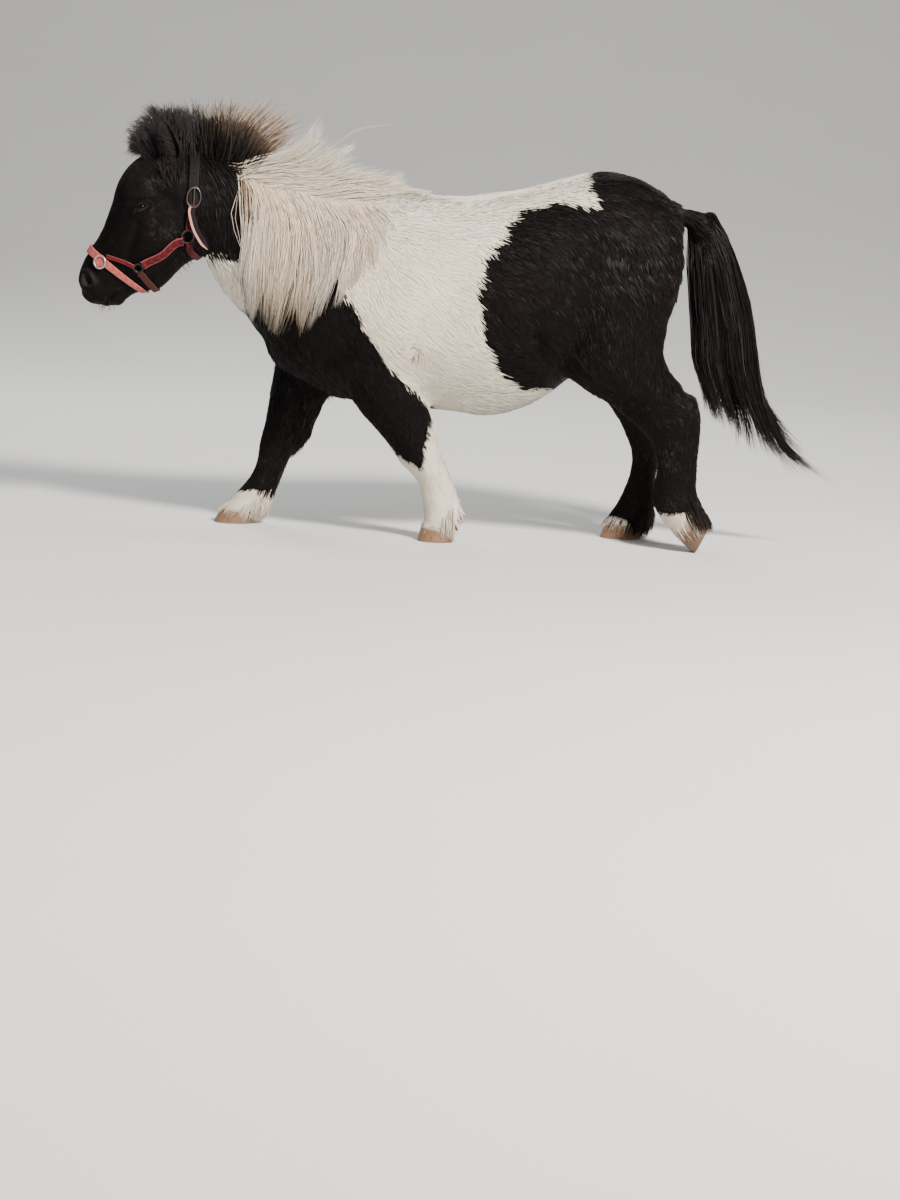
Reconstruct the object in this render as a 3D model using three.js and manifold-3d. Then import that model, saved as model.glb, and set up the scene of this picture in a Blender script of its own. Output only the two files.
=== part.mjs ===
// Life-size model of a small piebald Shetland pony, walking, wearing a head collar.
// Millimetres, +Z up. The pony faces -X and its left side is towards -Y.
import * as THREE from 'three';
import { mergeVertices } from 'three/addons/utils/BufferGeometryUtils.js';
import Module from 'manifold-3d';

const wasm = await Module();
wasm.setup();
const { Manifold, Mesh: ManifoldMesh } = wasm;

// Gaps and shared sizes
const NODE_GAP = 0.3;
const STRAP_CLEAR = 1.5;
const STRAP_THICK = 3;
const WEBBING_WIDTH = 20;
const CROWN_WIDTH = 19;
const NARROW_STRAP = 15;
const TAB_WIDTH = 9;
const LOOSE_END_WIDTH = 14;
const RING_SIDES = 4;
const RING_STEPS = 12;

// Eye: side-view place of its middle, how far the ball stands out of the face, tilt of the
// opening, half-width of the opening and bow of the lids as angles on the ball
const EYE_RADIUS = 17;
const EYE_DETAIL = [11, 7];
const EYE_PLACE = {
  x: -762, z: 758, stands: 5, back: 5, slant: -0.5, opening: 0.95, upperBow: 0.62, lowerBow: 0.5,
};
const LID_RADIUS = 3.2;
const LID_SIDES = 4;
const LID_STEPS = 5;
const LID_OVER = 0.4;
const NOSTRIL = {
  x: -889, y: 40, z: 582, length: 14, width: 9, depth: 12, slant: 0.5, turn: 0.5, detail: [8, 5],
};
const MOUTH = { x: -838, z: 538, length: 60, height: 1.6, depth: 9, slant: 0.6 };

// Ear from its foot to its tip; the hollow side faces forward and outward
const EAR = {
  base: [-692, 60, 836], tip: [-713, 76, 957], facing: [-0.6, 0.75, 0],
  width: 25, depth: 24, bend: 5, cup: 9,
};
const EAR_SIDES = 9;
const EAR_STEPS = 6;
const EAR_RIM = 1.2;
const EAR_HOLLOW = { scale: 0.84, from: 0.24, to: 0.97 };

// Locks of hair: the narrowest share of the width, the thinnest share of the thickness, the
// share of the width at the root, and how deep the roots are sunk
const LOCK_TIP = 0.12;
const LOCK_THIN = 0.3;
const LOCK_ROOT = 0.7;
const MANE_SUNK = 14;
const FINE_RING = 96;

// Head collar: places in side view
const CHEEK_RING = [-656, 699];
const LOWER_RING = [-768, 618];
const NOSE_SLIDE = [-860, 626];
const NOSEBAND = { along: 8.02, halfSpan: 0.31 };
const CHEEKPIECE = [[-672, 688], [-712, 655], [-752, 628]];
const CHEEK_TAB = [[-645, 757], [-650, 738], [-654, 719]];
const NOSE_TAB = [[-838, 643], [-810, 630], [-785, 622]];
const BUCKLE = [-641, 786];
const CHIN_STRAP = [[-763, 603], [-748, 584]];
const CHIN_MIDDLE = 7.05;
const THROAT_STRAP = [[-653, 680], [-648, 660]];
const THROAT_MIDDLE = 1.3;
const CHEEK_RING_SIZE = { radius: 15, wire: 2.6, squeeze: 1 };
const LOWER_RING_SIZE = { radius: 12, wire: 2.6, squeeze: 1 };
const NOSE_SLIDE_SIZE = { radius: 17, wire: 2.6, squeeze: 1.15 };
const BUCKLE_SIZE = { radius: 21, wire: 3, squeeze: 0.66 };
const STRAP_END = [[-646, -84, 762], [-634, -87, 715], [-617, -88, 686], [-603, -88, 668]];

const LEG_SIDES = 12;

// Where the fetlock hair grows on each lower leg, and the way it hangs
const FEATHER_PLACES = {
  foreleg_left: { at: 3.4, hangX: 0.1, hangZ: -1 },
  foreleg_right: { at: 3.2, hangX: 0.1, hangZ: -1 },
  hindleg_left: { at: 3.9, hangX: 0.9, hangZ: -0.35 },
  hindleg_right: { at: 5.2, hangX: 0.1, hangZ: -1 },
};

// Lateral places of the legs (distance from the middle plane)
const FORE_STANCE = 92;
const HIND_STANCE = 100;

const COLOURS = {
  black: { color: '#1b1714', roughness: 0.85, metalness: 0 },
  white: { color: '#e9e1d4', roughness: 0.88, metalness: 0 },
  horn: { color: '#c79a72', roughness: 0.6, metalness: 0 },
  eye: { color: '#2a1a10', roughness: 0.12, metalness: 0 },
  webbing: { color: '#c9545c', roughness: 0.9, metalness: 0 },
  leather: { color: '#221c19', roughness: 0.55, metalness: 0 },
  metal: { color: '#8c8a86', roughness: 0.3, metalness: 0.9 },
};

// A station is one cross-section of a limb or of the trunk. It is measured in side view by its
// upper (or front) edge and its lower (or rear) edge, then by its half-width and by how far up
// between the two edges it is widest. The two last numbers shape the upper and lower halves:
// 2 is an ellipse, less is more pointed and more is squarer.
function station(topX, topZ, lowX, lowZ, half, widest = 0.5, upper = 2, lower = 2, y = 0) {
  return [topX, topZ, lowX, lowZ, half, widest, upper, lower, y];
}

// Smooth value between four neighbouring numbers
function smoothBetween(before, from, to, after, t) {
  const slopeFrom = (to - before) / 2;
  const slopeTo = (after - from) / 2;
  const t2 = t * t;
  const t3 = t2 * t;
  return (2 * t3 - 3 * t2 + 1) * from + (t3 - 2 * t2 + t) * slopeFrom
    + (3 * t2 - 2 * t3) * to + (t3 - t2) * slopeTo;
}

function stationAt(stations, at) {
  const last = stations.length - 1;
  const index = Math.min(Math.floor(at), last - 1);
  const t = at - index;
  const from = stations[index];
  const to = stations[index + 1];
  const before = stations[index - 1] ?? from.map((value, k) => 2 * value - to[k]);
  const after = stations[index + 2] ?? to.map((value, k) => 2 * value - from[k]);
  return from.map((value, k) => smoothBetween(before[k], value, to[k], after[k], t));
}

// Repeatable random numbers from 0 to 1
function randomSource(seed) {
  let state = seed;
  return () => {
    state = (state + 0x6d2b79f5) | 0;
    let mixed = Math.imul(state ^ (state >>> 15), 1 | state);
    mixed = (mixed + Math.imul(mixed ^ (mixed >>> 7), 61 | mixed)) ^ mixed;
    return ((mixed ^ (mixed >>> 14)) >>> 0) / 4294967296;
  };
}

const random = randomSource(7);
const vary = (value, share) => value * (1 + share * (2 * random() - 1));

// Row of a table at a place between its rows
function tableAt(table, share) {
  const at = share * (table.length - 1);
  const index = Math.min(Math.floor(at), table.length - 2);
  return table[index].map((value, k) => value + (table[index + 1][k] - value) * (at - index));
}

function power(value, exponent) {
  return Math.sign(value) * Math.abs(value) ** (2 / exponent);
}

// One closed ring of points of a station, swollen outwards by grow and by the muscle function
function ringOf(values, around, grow = 0, muscle = null) {
  const [topX, topZ, lowX, lowZ, half, widest, upper, lower, y] = values;
  const height = Math.hypot(topX - lowX, topZ - lowZ);
  const rise = new THREE.Vector3((topX - lowX) / height, 0, (topZ - lowZ) / height);
  const centre = new THREE.Vector3(lowX, y, lowZ).addScaledVector(rise, height * widest);
  const ring = [];
  for (let k = 0; k < around; k += 1) {
    const angle = (2 * Math.PI * k) / around;
    const exponent = Math.sin(angle) > 0 ? upper : lower;
    const reach = Math.sin(angle) > 0 ? height * (1 - widest) : height * widest;
    const across = power(Math.cos(angle), exponent) * half;
    const along = power(Math.sin(angle), exponent) * reach;
    const arm = new THREE.Vector3(0, across, 0).addScaledVector(rise, along);
    const point = centre.clone().add(arm);
    const extra = grow + (muscle ? muscle(point) : 0);
    point.addScaledVector(arm.normalize(), extra);
    ring.push(point);
  }
  ring.centre = centre;
  return ring;
}

// Closed surface over a row of rings. Each end is a flat fan or runs out in a rounded nose.
function surfaceOver(rings) {
  const positions = [];
  const faces = [];
  const around = rings[0].length;
  for (const ring of rings) {
    for (const point of ring) {
      positions.push(point.x, point.y, point.z);
    }
  }
  for (let row = 0; row < rings.length - 1; row += 1) {
    for (let k = 0; k < around; k += 1) {
      const a = row * around + k;
      const b = row * around + ((k + 1) % around);
      faces.push(a, b, b + around, a, b + around, a + around);
    }
  }
  const ends = [[0, true], [rings.length - 1, false]];
  for (const [row, first] of ends) {
    const hub = positions.length / 3;
    const middle = new THREE.Vector3();
    for (const point of rings[row]) {
      middle.addScaledVector(point, 1 / around);
    }
    positions.push(middle.x, middle.y, middle.z);
    for (let k = 0; k < around; k += 1) {
      const a = row * around + k;
      const b = row * around + ((k + 1) % around);
      faces.push(hub, first ? b : a, first ? a : b);
    }
  }
  const geometry = new THREE.BufferGeometry();
  geometry.setAttribute('position', new THREE.Float32BufferAttribute(positions, 3));
  geometry.setIndex(faces);
  return faceOutward(geometry);
}

function signedVolume(geometry) {
  const position = geometry.getAttribute('position');
  const index = geometry.getIndex();
  const a = new THREE.Vector3();
  const b = new THREE.Vector3();
  const c = new THREE.Vector3();
  let volume = 0;
  for (let k = 0; k < index.count; k += 3) {
    a.fromBufferAttribute(position, index.getX(k));
    b.fromBufferAttribute(position, index.getX(k + 1));
    c.fromBufferAttribute(position, index.getX(k + 2));
    volume += a.dot(b.cross(c)) / 6;
  }
  return volume;
}

function faceOutward(geometry) {
  if (signedVolume(geometry) < 0) {
    const index = geometry.getIndex();
    for (let k = 0; k < index.count; k += 3) {
      const second = index.getX(k + 1);
      index.setX(k + 1, index.getX(k + 2));
      index.setX(k + 2, second);
    }
  }
  return geometry;
}

// Rings shrinking to a small last ring beyond an end, so that the end is rounded by length
function roundedEnd(ring, beyond, length, steps) {
  const rings = [];
  const direction = ring.centre.clone().sub(beyond).normalize();
  for (let step = 1; step <= steps; step += 1) {
    const turn = (Math.PI / 2) * (step / (steps + 0.35));
    const shrunk = ring.map((point) => point.clone()
      .sub(ring.centre)
      .multiplyScalar(Math.cos(turn))
      .add(ring.centre)
      .addScaledVector(direction, Math.sin(turn) * length));
    shrunk.centre = ring.centre;
    rings.push(shrunk);
  }
  return rings;
}

// Loft through the stations, with a number of rings between each two of them
function loft(stations, options = {}) {
  const { around = 16, between = 2, grow = 0, muscle = null, roundLast = 0, roundFirst = 0 } = options;
  const rings = [];
  const total = (stations.length - 1) * between;
  for (let step = 0; step <= total; step += 1) {
    rings.push(ringOf(stationAt(stations, step / between), around, grow, muscle));
  }
  const lastRings = roundLast > 0
    ? roundedEnd(rings.at(-1), rings.at(-2).centre, roundLast + grow, 3) : [];
  const firstRings = roundFirst > 0
    ? roundedEnd(rings[0], rings[1].centre, roundFirst + grow, 3).reverse() : [];
  return surfaceOver([...firstRings, ...rings, ...lastRings]);
}

function solidOf(geometry) {
  const bare = geometry.clone();
  bare.deleteAttribute('normal');
  bare.deleteAttribute('uv');
  const merged = mergeVertices(bare, 1e-4);
  const mesh = new ManifoldMesh({
    numProp: 3,
    vertProperties: Float32Array.from(merged.getAttribute('position').array),
    triVerts: Uint32Array.from(merged.getIndex().array),
  });
  mesh.merge();
  return new Manifold(mesh);
}

function geometryOf(solid) {
  const mesh = solid.getMesh();
  const geometry = new THREE.BufferGeometry();
  const positions = Float32Array.from(mesh.vertProperties);
  geometry.setAttribute('position', new THREE.BufferAttribute(positions, 3));
  geometry.setIndex(new THREE.BufferAttribute(Uint32Array.from(mesh.triVerts), 1));
  return geometry;
}

function largestOf(solid) {
  const bodies = solid.decompose();
  bodies.sort((one, other) => other.volume() - one.volume());
  return bodies[0];
}

// Ball squashed to three radii, turned and placed
function egg(place, radii, turn = new THREE.Euler(), detail = [16, 10]) {
  const ball = new THREE.SphereGeometry(1, detail[0], detail[1]);
  const matrix = new THREE.Matrix4().compose(
    place,
    new THREE.Quaternion().setFromEuler(turn),
    new THREE.Vector3(radii[0], radii[1], radii[2]),
  );
  return ball.applyMatrix4(matrix);
}

// Smooth swelling of the flesh around a place, the same on both sides of the middle plane
function swelling(x, y, z, reachX, reachY, reachZ, height) {
  return (point) => {
    const dx = (point.x - x) / reachX;
    const dy = (Math.abs(point.y) - y) / reachY;
    const dz = (point.z - z) / reachZ;
    return height * Math.exp(-(dx * dx + dy * dy + dz * dz));
  };
}

function together(swellings) {
  return (point) => swellings.reduce((sum, one) => sum + one(point), 0);
}

// Trunk, from the neck plane to the buttocks
const TORSO = [
  station(-190, 817, -470, 440, 140, 0.42, 1.8, 2.1),
  station(-150, 819, -440, 399, 160, 0.42, 1.85, 2.1),
  station(-110, 820, -370, 357, 176, 0.42, 1.9, 2.1),
  station(-60, 817, -290, 324, 192, 0.43, 2, 2.1),
  station(-5, 818, -170, 312, 203, 0.44, 2.1, 2.1),
  station(55, 827, -40, 304, 214, 0.45, 2.1, 2.1),
  station(110, 836, 55, 296, 219, 0.46, 2.1, 2.1),
  station(165, 850, 130, 310, 216, 0.48, 2.1, 2.1),
  station(220, 867, 200, 344, 206, 0.5, 2.1, 2.1),
  station(275, 882, 262, 392, 198, 0.5, 2.1, 2.1),
  station(330, 889, 330, 430, 192, 0.5, 2.1, 2.2),
  station(390, 880, 395, 455, 184, 0.5, 2.1, 2.2),
  station(440, 857, 450, 490, 165, 0.5, 2.1, 2.2),
  station(480, 832, 486, 560, 135, 0.5, 2, 2.2),
];

const TORSO_MUSCLES = together([
  swelling(-330, 160, 560, 90, 120, 120, 12),
  swelling(-150, 190, 640, 70, 150, 110, 6),
  swelling(-40, 215, 600, 50, 160, 150, -7),
  swelling(250, 200, 640, 60, 120, 110, -9),
  swelling(380, 150, 760, 80, 120, 90, 10),
]);

const NECK = [
  station(-190, 817, -470, 440, 140, 0.42, 1.8, 2.1),
  station(-290, 818, -495, 478, 124, 0.43, 1.75, 2.1),
  station(-380, 832, -520, 512, 107, 0.44, 1.7, 2.1),
  station(-460, 850, -553, 544, 92, 0.45, 1.7, 2.1),
  station(-540, 876, -588, 588, 80, 0.46, 1.75, 2),
  station(-600, 890, -610, 625, 73, 0.48, 1.8, 2),
  station(-643, 893, -622, 650, 72, 0.5, 1.9, 2),
];

const HEAD = [
  station(-643, 893, -622, 650, 72, 0.5, 1.9, 2),
  station(-690, 898, -629, 646, 76, 0.5, 1.95, 2),
  station(-746, 892, -637, 641, 84, 0.52, 2, 2),
  station(-797, 862, -647, 636, 91, 0.56, 2.1, 1.9),
  station(-826, 818, -660, 628, 93, 0.59, 2.3, 1.9),
  station(-841, 767, -680, 610, 86, 0.56, 2.3, 1.9),
  station(-857, 720, -703, 584, 72, 0.52, 2.2, 1.9),
  station(-873, 684, -730, 563, 60, 0.5, 2.1, 2),
  station(-891, 655, -758, 559, 53, 0.5, 2.1, 2.1),
  station(-905, 628, -784, 552, 50, 0.5, 2.2, 2.2),
  station(-915, 600, -806, 532, 51, 0.52, 2.3, 2.2),
  station(-917, 576, -836, 521, 47, 0.55, 2.3, 2.2),
  station(-908, 557, -862, 525, 36, 0.55, 2.2, 2.2),
];

const HEAD_MUSCLES = together([
  swelling(-690, 82, 680, 48, 60, 52, 9),
  swelling(-800, 70, 800, 26, 40, 26, 5),
  swelling(-790, 80, 700, 34, 30, 22, -5),
  swelling(-806, 70, 640, 60, 40, 30, -4),
  swelling(-892, 42, 585, 18, 22, 20, 5),
  swelling(-700, 80, 775, 22, 40, 30, -6),
]);

// Legs as front and rear edges in side view. The upper leg starts inside the trunk.
const FORE_LEFT_UPPER = [
  station(-300, 450, -95, 450, 56, 0.5, 2, 2, -110),
  station(-285, 395, -80, 400, 58, 0.5, 2, 2, -110),
  station(-262, 345, -70, 345, 56, 0.5, 2, 2, -108),
  station(-232, 303, -60, 300, 52, 0.5, 2, 2, -104),
  station(-195, 264, -46, 262, 47, 0.5, 2, 2, -99),
  station(-160, 222, -34, 224, 43, 0.5, 2, 2, -95),
  station(-136, 188, -21, 190, 40, 0.5, 2.2, 2.2, -FORE_STANCE),
];

const FORE_LEFT_LOWER = [
  station(-136, 188, -21, 190, 40, 0.5, 2.2, 2.2, -FORE_STANCE),
  station(-112, 165, -13, 168, 37, 0.5, 2.2, 2, -FORE_STANCE),
  station(-90, 138, -4, 142, 32, 0.5, 2, 2, -FORE_STANCE),
  station(-79, 108, 9, 111, 32, 0.5, 2, 2, -FORE_STANCE),
  station(-74, 80, 18, 82, 36, 0.5, 2, 2, -FORE_STANCE),
  station(-72, 58, 16, 54, 37, 0.5, 2, 2, -FORE_STANCE),
  station(-76, 36, 4, 27, 37, 0.5, 2, 2, -FORE_STANCE),
];

const FORE_RIGHT_UPPER = [
  station(-440, 480, -240, 450, 56, 0.5, 2, 2, 110),
  station(-446, 430, -262, 396, 58, 0.5, 2, 2, 110),
  station(-453, 385, -290, 350, 56, 0.5, 2, 2, 108),
  station(-459, 340, -318, 308, 52, 0.5, 2, 2, 103),
  station(-464, 296, -338, 272, 47, 0.5, 2, 2, 98),
  station(-470, 255, -352, 236, 43, 0.5, 2, 2, 95),
  station(-478, 215, -371, 204, 41, 0.5, 2.2, 2.2, FORE_STANCE),
];

const FORE_RIGHT_LOWER = [
  station(-478, 215, -371, 204, 41, 0.5, 2.2, 2.2, FORE_STANCE),
  station(-483, 182, -397, 178, 38, 0.5, 2.2, 2, FORE_STANCE),
  station(-488, 148, -414, 146, 33, 0.5, 2, 2, FORE_STANCE),
  station(-503, 112, -428, 112, 33, 0.5, 2, 2, FORE_STANCE),
  station(-525, 84, -439, 80, 36, 0.5, 2, 2, FORE_STANCE),
  station(-548, 58, -452, 50, 38, 0.5, 2, 2, FORE_STANCE),
  station(-567, 36, -478, 26, 38, 0.5, 2, 2, FORE_STANCE),
];

const HIND_LEFT_UPPER = [
  station(370, 765, 496, 775, 50, 0.5, 2, 2, -104),
  station(320, 700, 517, 705, 74, 0.5, 2, 2, -106),
  station(270, 610, 511, 618, 88, 0.5, 2, 2, -110),
  station(236, 510, 489, 540, 88, 0.5, 2, 2, -112),
  station(228, 428, 482, 476, 77, 0.5, 2, 2, -110),
  station(285, 383, 500, 430, 62, 0.5, 2, 2, -107),
  station(350, 347, 533, 395, 52, 0.5, 2, 2, -104),
  station(410, 303, 563, 370, 45, 0.5, 2, 2, -102),
  station(452, 264, 575, 330, 41, 0.5, 2, 2, -HIND_STANCE),
];

const HIND_LEFT_LOWER = [
  station(452, 264, 575, 330, 41, 0.5, 2, 2, -HIND_STANCE),
  station(470, 230, 576, 280, 37, 0.5, 2, 2, -HIND_STANCE),
  station(475, 195, 575, 235, 33, 0.5, 2, 2, -HIND_STANCE),
  station(471, 162, 575, 190, 31, 0.5, 2, 2, -HIND_STANCE),
  station(466, 130, 576, 150, 33, 0.5, 2, 2, -HIND_STANCE),
  station(478, 98, 585, 118, 37, 0.5, 2, 2, -HIND_STANCE),
  station(499, 68, 594, 100, 37, 0.5, 2, 2, -HIND_STANCE),
  station(522, 44, 598, 88, 36, 0.5, 2, 2, -HIND_STANCE),
];

const HIND_RIGHT_UPPER = [
  station(370, 765, 496, 775, 50, 0.5, 2, 2, 104),
  station(320, 700, 517, 705, 74, 0.5, 2, 2, 106),
  station(266, 610, 505, 618, 88, 0.5, 2, 2, 110),
  station(240, 510, 474, 540, 88, 0.5, 2, 2, 112),
  station(250, 428, 458, 476, 77, 0.5, 2, 2, 110),
  station(300, 386, 468, 430, 62, 0.5, 2, 2, 107),
  station(346, 346, 488, 392, 52, 0.5, 2, 2, 104),
  station(382, 300, 508, 356, 45, 0.5, 2, 2, 102),
  station(405, 260, 513, 312, 41, 0.5, 2, 2, HIND_STANCE),
];

const HIND_RIGHT_LOWER = [
  station(405, 260, 513, 312, 41, 0.5, 2, 2, HIND_STANCE),
  station(420, 228, 511, 264, 37, 0.5, 2, 2, HIND_STANCE),
  station(427, 198, 503, 222, 33, 0.5, 2, 2, HIND_STANCE),
  station(426, 168, 496, 184, 31, 0.5, 2, 2, HIND_STANCE),
  station(420, 141, 491, 150, 33, 0.5, 2, 2, HIND_STANCE),
  station(409, 110, 491, 116, 35, 0.5, 2, 2, HIND_STANCE),
  station(394, 79, 492, 84, 37, 0.5, 2, 2, HIND_STANCE),
  station(379, 55, 484, 51, 38, 0.5, 2, 2, HIND_STANCE),
  station(372, 36, 466, 26, 38, 0.5, 2, 2, HIND_STANCE),
];

// Hooves from the coronet down to the sole
const HOOVES = {
  fore_left: [
    station(-76, 36, 4, 27, 37, 0.5, 2.2, 2, -FORE_STANCE),
    station(-80, 18, 3, 13, 38, 0.5, 2.2, 2, -FORE_STANCE),
    station(-85, 0, 2, 0, 39, 0.52, 2.2, 2, -FORE_STANCE),
  ],
  fore_right: [
    station(-567, 36, -478, 26, 37, 0.5, 2.2, 2, FORE_STANCE),
    station(-577, 18, -484, 13, 38, 0.5, 2.2, 2, FORE_STANCE),
    station(-587, 0, -490, 0, 39, 0.52, 2.2, 2, FORE_STANCE),
  ],
  hind_left: [
    station(522, 44, 598, 88, 35, 0.5, 2.2, 2, -HIND_STANCE),
    station(546, 22, 602, 76, 36, 0.5, 2.2, 2, -HIND_STANCE),
    station(575, -3, 607, 66, 37, 0.52, 2.2, 2, -HIND_STANCE),
  ],
  hind_right: [
    station(372, 36, 466, 26, 37, 0.5, 2.2, 2, HIND_STANCE),
    station(366, 18, 463, 13, 38, 0.5, 2.2, 2, HIND_STANCE),
    station(360, 0, 460, 0, 39, 0.52, 2.2, 2, HIND_STANCE),
  ],
};

// Tail, front and rear edges in side view
const TAIL = [
  station(520, 818, 505, 770, 24, 0.5),
  station(560, 813, 520, 745, 36, 0.5),
  station(603, 779, 527, 700, 48, 0.5),
  station(648, 715, 536, 640, 56, 0.5),
  station(680, 635, 545, 570, 60, 0.5),
  station(702, 550, 552, 500, 61, 0.5),
  station(722, 470, 560, 436, 59, 0.5),
  station(737, 385, 579, 366, 52, 0.5),
  station(755, 310, 626, 298, 40, 0.5),
  station(815, 240, 692, 212, 26, 0.5),
  station(870, 196, 785, 163, 15, 0.5),
  station(938, 152, 925, 142, 6, 0.5),
];

// Outline of the hair in side view: where a lock is rooted along the crest, and where its tip
// comes to. Locks in between take their places from their neighbours.
const STANDING_MANE = [
  [-650, -664, 962], [-628, -638, 990], [-600, -603, 1020], [-572, -556, 1036], [-542, -509, 1035],
  [-508, -473, 1025], [-474, -425, 1006], [-438, -388, 983], [-400, -345, 948], [-360, -296, 913],
  [-322, -240, 920], [-290, -200, 886], [-262, -158, 880], [-235, -128, 860], [-215, -94, 824],
];
const FALLING_MANE = [
  [-535, -516, 560], [-505, -492, 500], [-470, -463, 473], [-430, -420, 484], [-395, -378, 503],
  [-355, -330, 495], [-315, -296, 531], [-275, -268, 575], [-240, -240, 640],
];
const FORELOCK = [
  [-800, 922], [-792, 948], [-776, 968], [-757, 984], [-735, 986], [-712, 978], [-690, 964],
];
const FORELOCK_ROOT = { x: -704, z: 884, spread: 24 };

// Sizes of the locks: how many, how wide and how thick at the root
const STANDING = { count: 23, width: 58, thickness: 9, spread: 13 };
const MANE_CORE = { share: 0.4, half: 18 };
const LEFT_FALL = { count: 14, width: 47, thickness: 8, lift: 7, layer: 8 };
const RIGHT_FALL = { count: 8, width: 68, thickness: 8, lift: 7, layer: 8, shorter: 90 };
const FALL_ROOT = { below: 3, inside: 9, shoulder: 16 };
const FORELOCK_SIZE = { count: 9, width: 42, thickness: 10, bow: 14 };
const TAIL_TIERS = [
  { count: 8, start: 0.7, end: 6, width: 54 },
  { count: 9, start: 2.4, end: 8.6, width: 50 },
  { count: 8, start: 4.4, end: 11, width: 46 },
];
const TAIL_LOCK = { thickness: 11, rootShare: 0.5, tipShare: 0.97 };
const FEATHER = { count: 4, width: 24, thickness: 5, length: 1.9, stands: 9 };

const LEGS = {
  foreleg_left: [FORE_LEFT_UPPER, FORE_LEFT_LOWER, 'fore_left'],
  foreleg_right: [FORE_RIGHT_UPPER, FORE_RIGHT_LOWER, 'fore_right'],
  hindleg_left: [HIND_LEFT_UPPER, HIND_LEFT_LOWER, 'hind_left'],
  hindleg_right: [HIND_RIGHT_UPPER, HIND_RIGHT_LOWER, 'hind_right'],
};

// Dense inner hair of the tail, narrower than the outline and ending half way down
const TAIL_CORE_SHARES = [0.8, 0.8, 0.74, 0.7, 0.66, 0.56, 0.3];
const TAIL_CORE = TAIL_CORE_SHARES.map((share, k) => {
  const [topX, topZ, lowX, lowZ, half, widest] = TAIL[k];
  const keep = (1 - share) / 2;
  return station(
    topX + (lowX - topX) * keep,
    topZ + (lowZ - topZ) * keep,
    lowX + (topX - lowX) * keep,
    lowZ + (topZ - lowZ) * keep,
    half * share,
    widest,
  );
});

const part = new THREE.Group();
part.name = 'shetland_pony';
const solids = {};

function addNode(name, solid, look) {
  const material = new THREE.MeshStandardMaterial(COLOURS[look]);
  const mesh = new THREE.Mesh(geometryOf(solid), material);
  mesh.name = name;
  part.add(mesh);
  solids[name] = solid;
  return mesh;
}

// Half-space below or above the floor, for flats on the soles
function floorBlock() {
  const block = new THREE.BoxGeometry(3000, 1000, 200);
  block.translate(0, 0, -100);
  return solidOf(block);
}

const torsoShape = (grow) => solidOf(loft(TORSO, {
  around: 22, grow, muscle: TORSO_MUSCLES, roundLast: 36,
}));
const neckShape = (grow) => solidOf(loft(NECK, { around: 20, between: 1, grow }));
const headShape = (grow, around = 20, between = 2) => solidOf(loft(HEAD, {
  around, between, grow, muscle: HEAD_MUSCLES, roundLast: 14,
}));

// Slab between two nodes that share a station, which leaves the gap between them
function gapAt(values) {
  const [topX, topZ, lowX, lowZ] = values;
  const length = Math.hypot(topX - lowX, topZ - lowZ);
  const slab = new THREE.BoxGeometry(NODE_GAP, 800, length + 200);
  const tilt = Math.atan2(topX - lowX, topZ - lowZ);
  slab.rotateY(tilt);
  slab.translate((topX + lowX) / 2, 0, (topZ + lowZ) / 2);
  return solidOf(slab);
}

const torso = torsoShape(0);
const torsoGrown = torsoShape(NODE_GAP);
const headGrown = headShape(NODE_GAP);
const neckPlane = gapAt(TORSO[0]);
const headPlane = gapAt(HEAD[0]);

// Point and outward normal on the head: how far along the stations, and the angle around the
// section, where a quarter turn is the forehead and a half turn is the left cheek
function onHead(along, angle, lift = 0) {
  const place = (s, turn) => {
    const values = stationAt(HEAD, Math.max(s, 0));
    const ring = ringOf(values, FINE_RING, lift, HEAD_MUSCLES);
    const exact = ((turn / (2 * Math.PI)) * FINE_RING + FINE_RING) % FINE_RING;
    const index = Math.floor(exact);
    const next = ring[(index + 1) % FINE_RING];
    return ring[index].clone().lerp(next, exact - index);
  };
  const point = place(along, angle);
  const forward = place(along + 0.05, angle).sub(point);
  const onward = place(along, angle + 0.05).sub(point);
  const normal = forward.cross(onward).normalize();
  const outward = point.clone().sub(ringOf(stationAt(HEAD, along), 4).centre);
  if (normal.dot(outward) < 0) {
    normal.negate();
  }
  return { point, normal };
}

// Where on the head's left cheek a place of the side view lies
function cheekPlace(x, z) {
  let best = { along: 0, angle: Math.PI, distance: Infinity };
  for (let along = 0; along < HEAD.length - 1; along += 0.1) {
    for (let angle = Math.PI / 2; angle < 1.5 * Math.PI; angle += 0.05) {
      const values = stationAt(HEAD, along);
      const [topX, topZ, lowX, lowZ, , widest] = values;
      const height = Math.hypot(topX - lowX, topZ - lowZ);
      const upper = Math.sin(angle) > 0;
      const reach = upper ? height * (1 - widest) : height * widest;
      const up = power(Math.sin(angle), upper ? values[6] : values[7]) * reach + height * widest;
      const px = lowX + ((topX - lowX) / height) * up;
      const pz = lowZ + ((topZ - lowZ) / height) * up;
      const distance = Math.hypot(px - x, pz - z);
      if (distance < best.distance) {
        best = { along, angle, distance };
      }
    }
  }
  return best;
}

// Row of points and normals over the head through side-view places on the cheek
function overCheek(places, side, steps, lift) {
  const marks = places.map(([x, z]) => {
    const { along, angle } = cheekPlace(x, z);
    return new THREE.Vector3(along, angle, 0);
  });
  return overHead(marks, side, steps, lift);
}

function overHead(marks, side, steps, lift) {
  const curve = new THREE.CatmullRomCurve3(marks, false, 'centripetal');
  const row = [];
  for (let step = 0; step <= steps; step += 1) {
    const mark = curve.getPoint(step / steps);
    const { point, normal } = onHead(mark.x, mark.y, lift);
    if (side > 0) {
      point.y *= -1;
      normal.y *= -1;
    }
    row.push({ point, normal });
  }
  return row;
}

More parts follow.
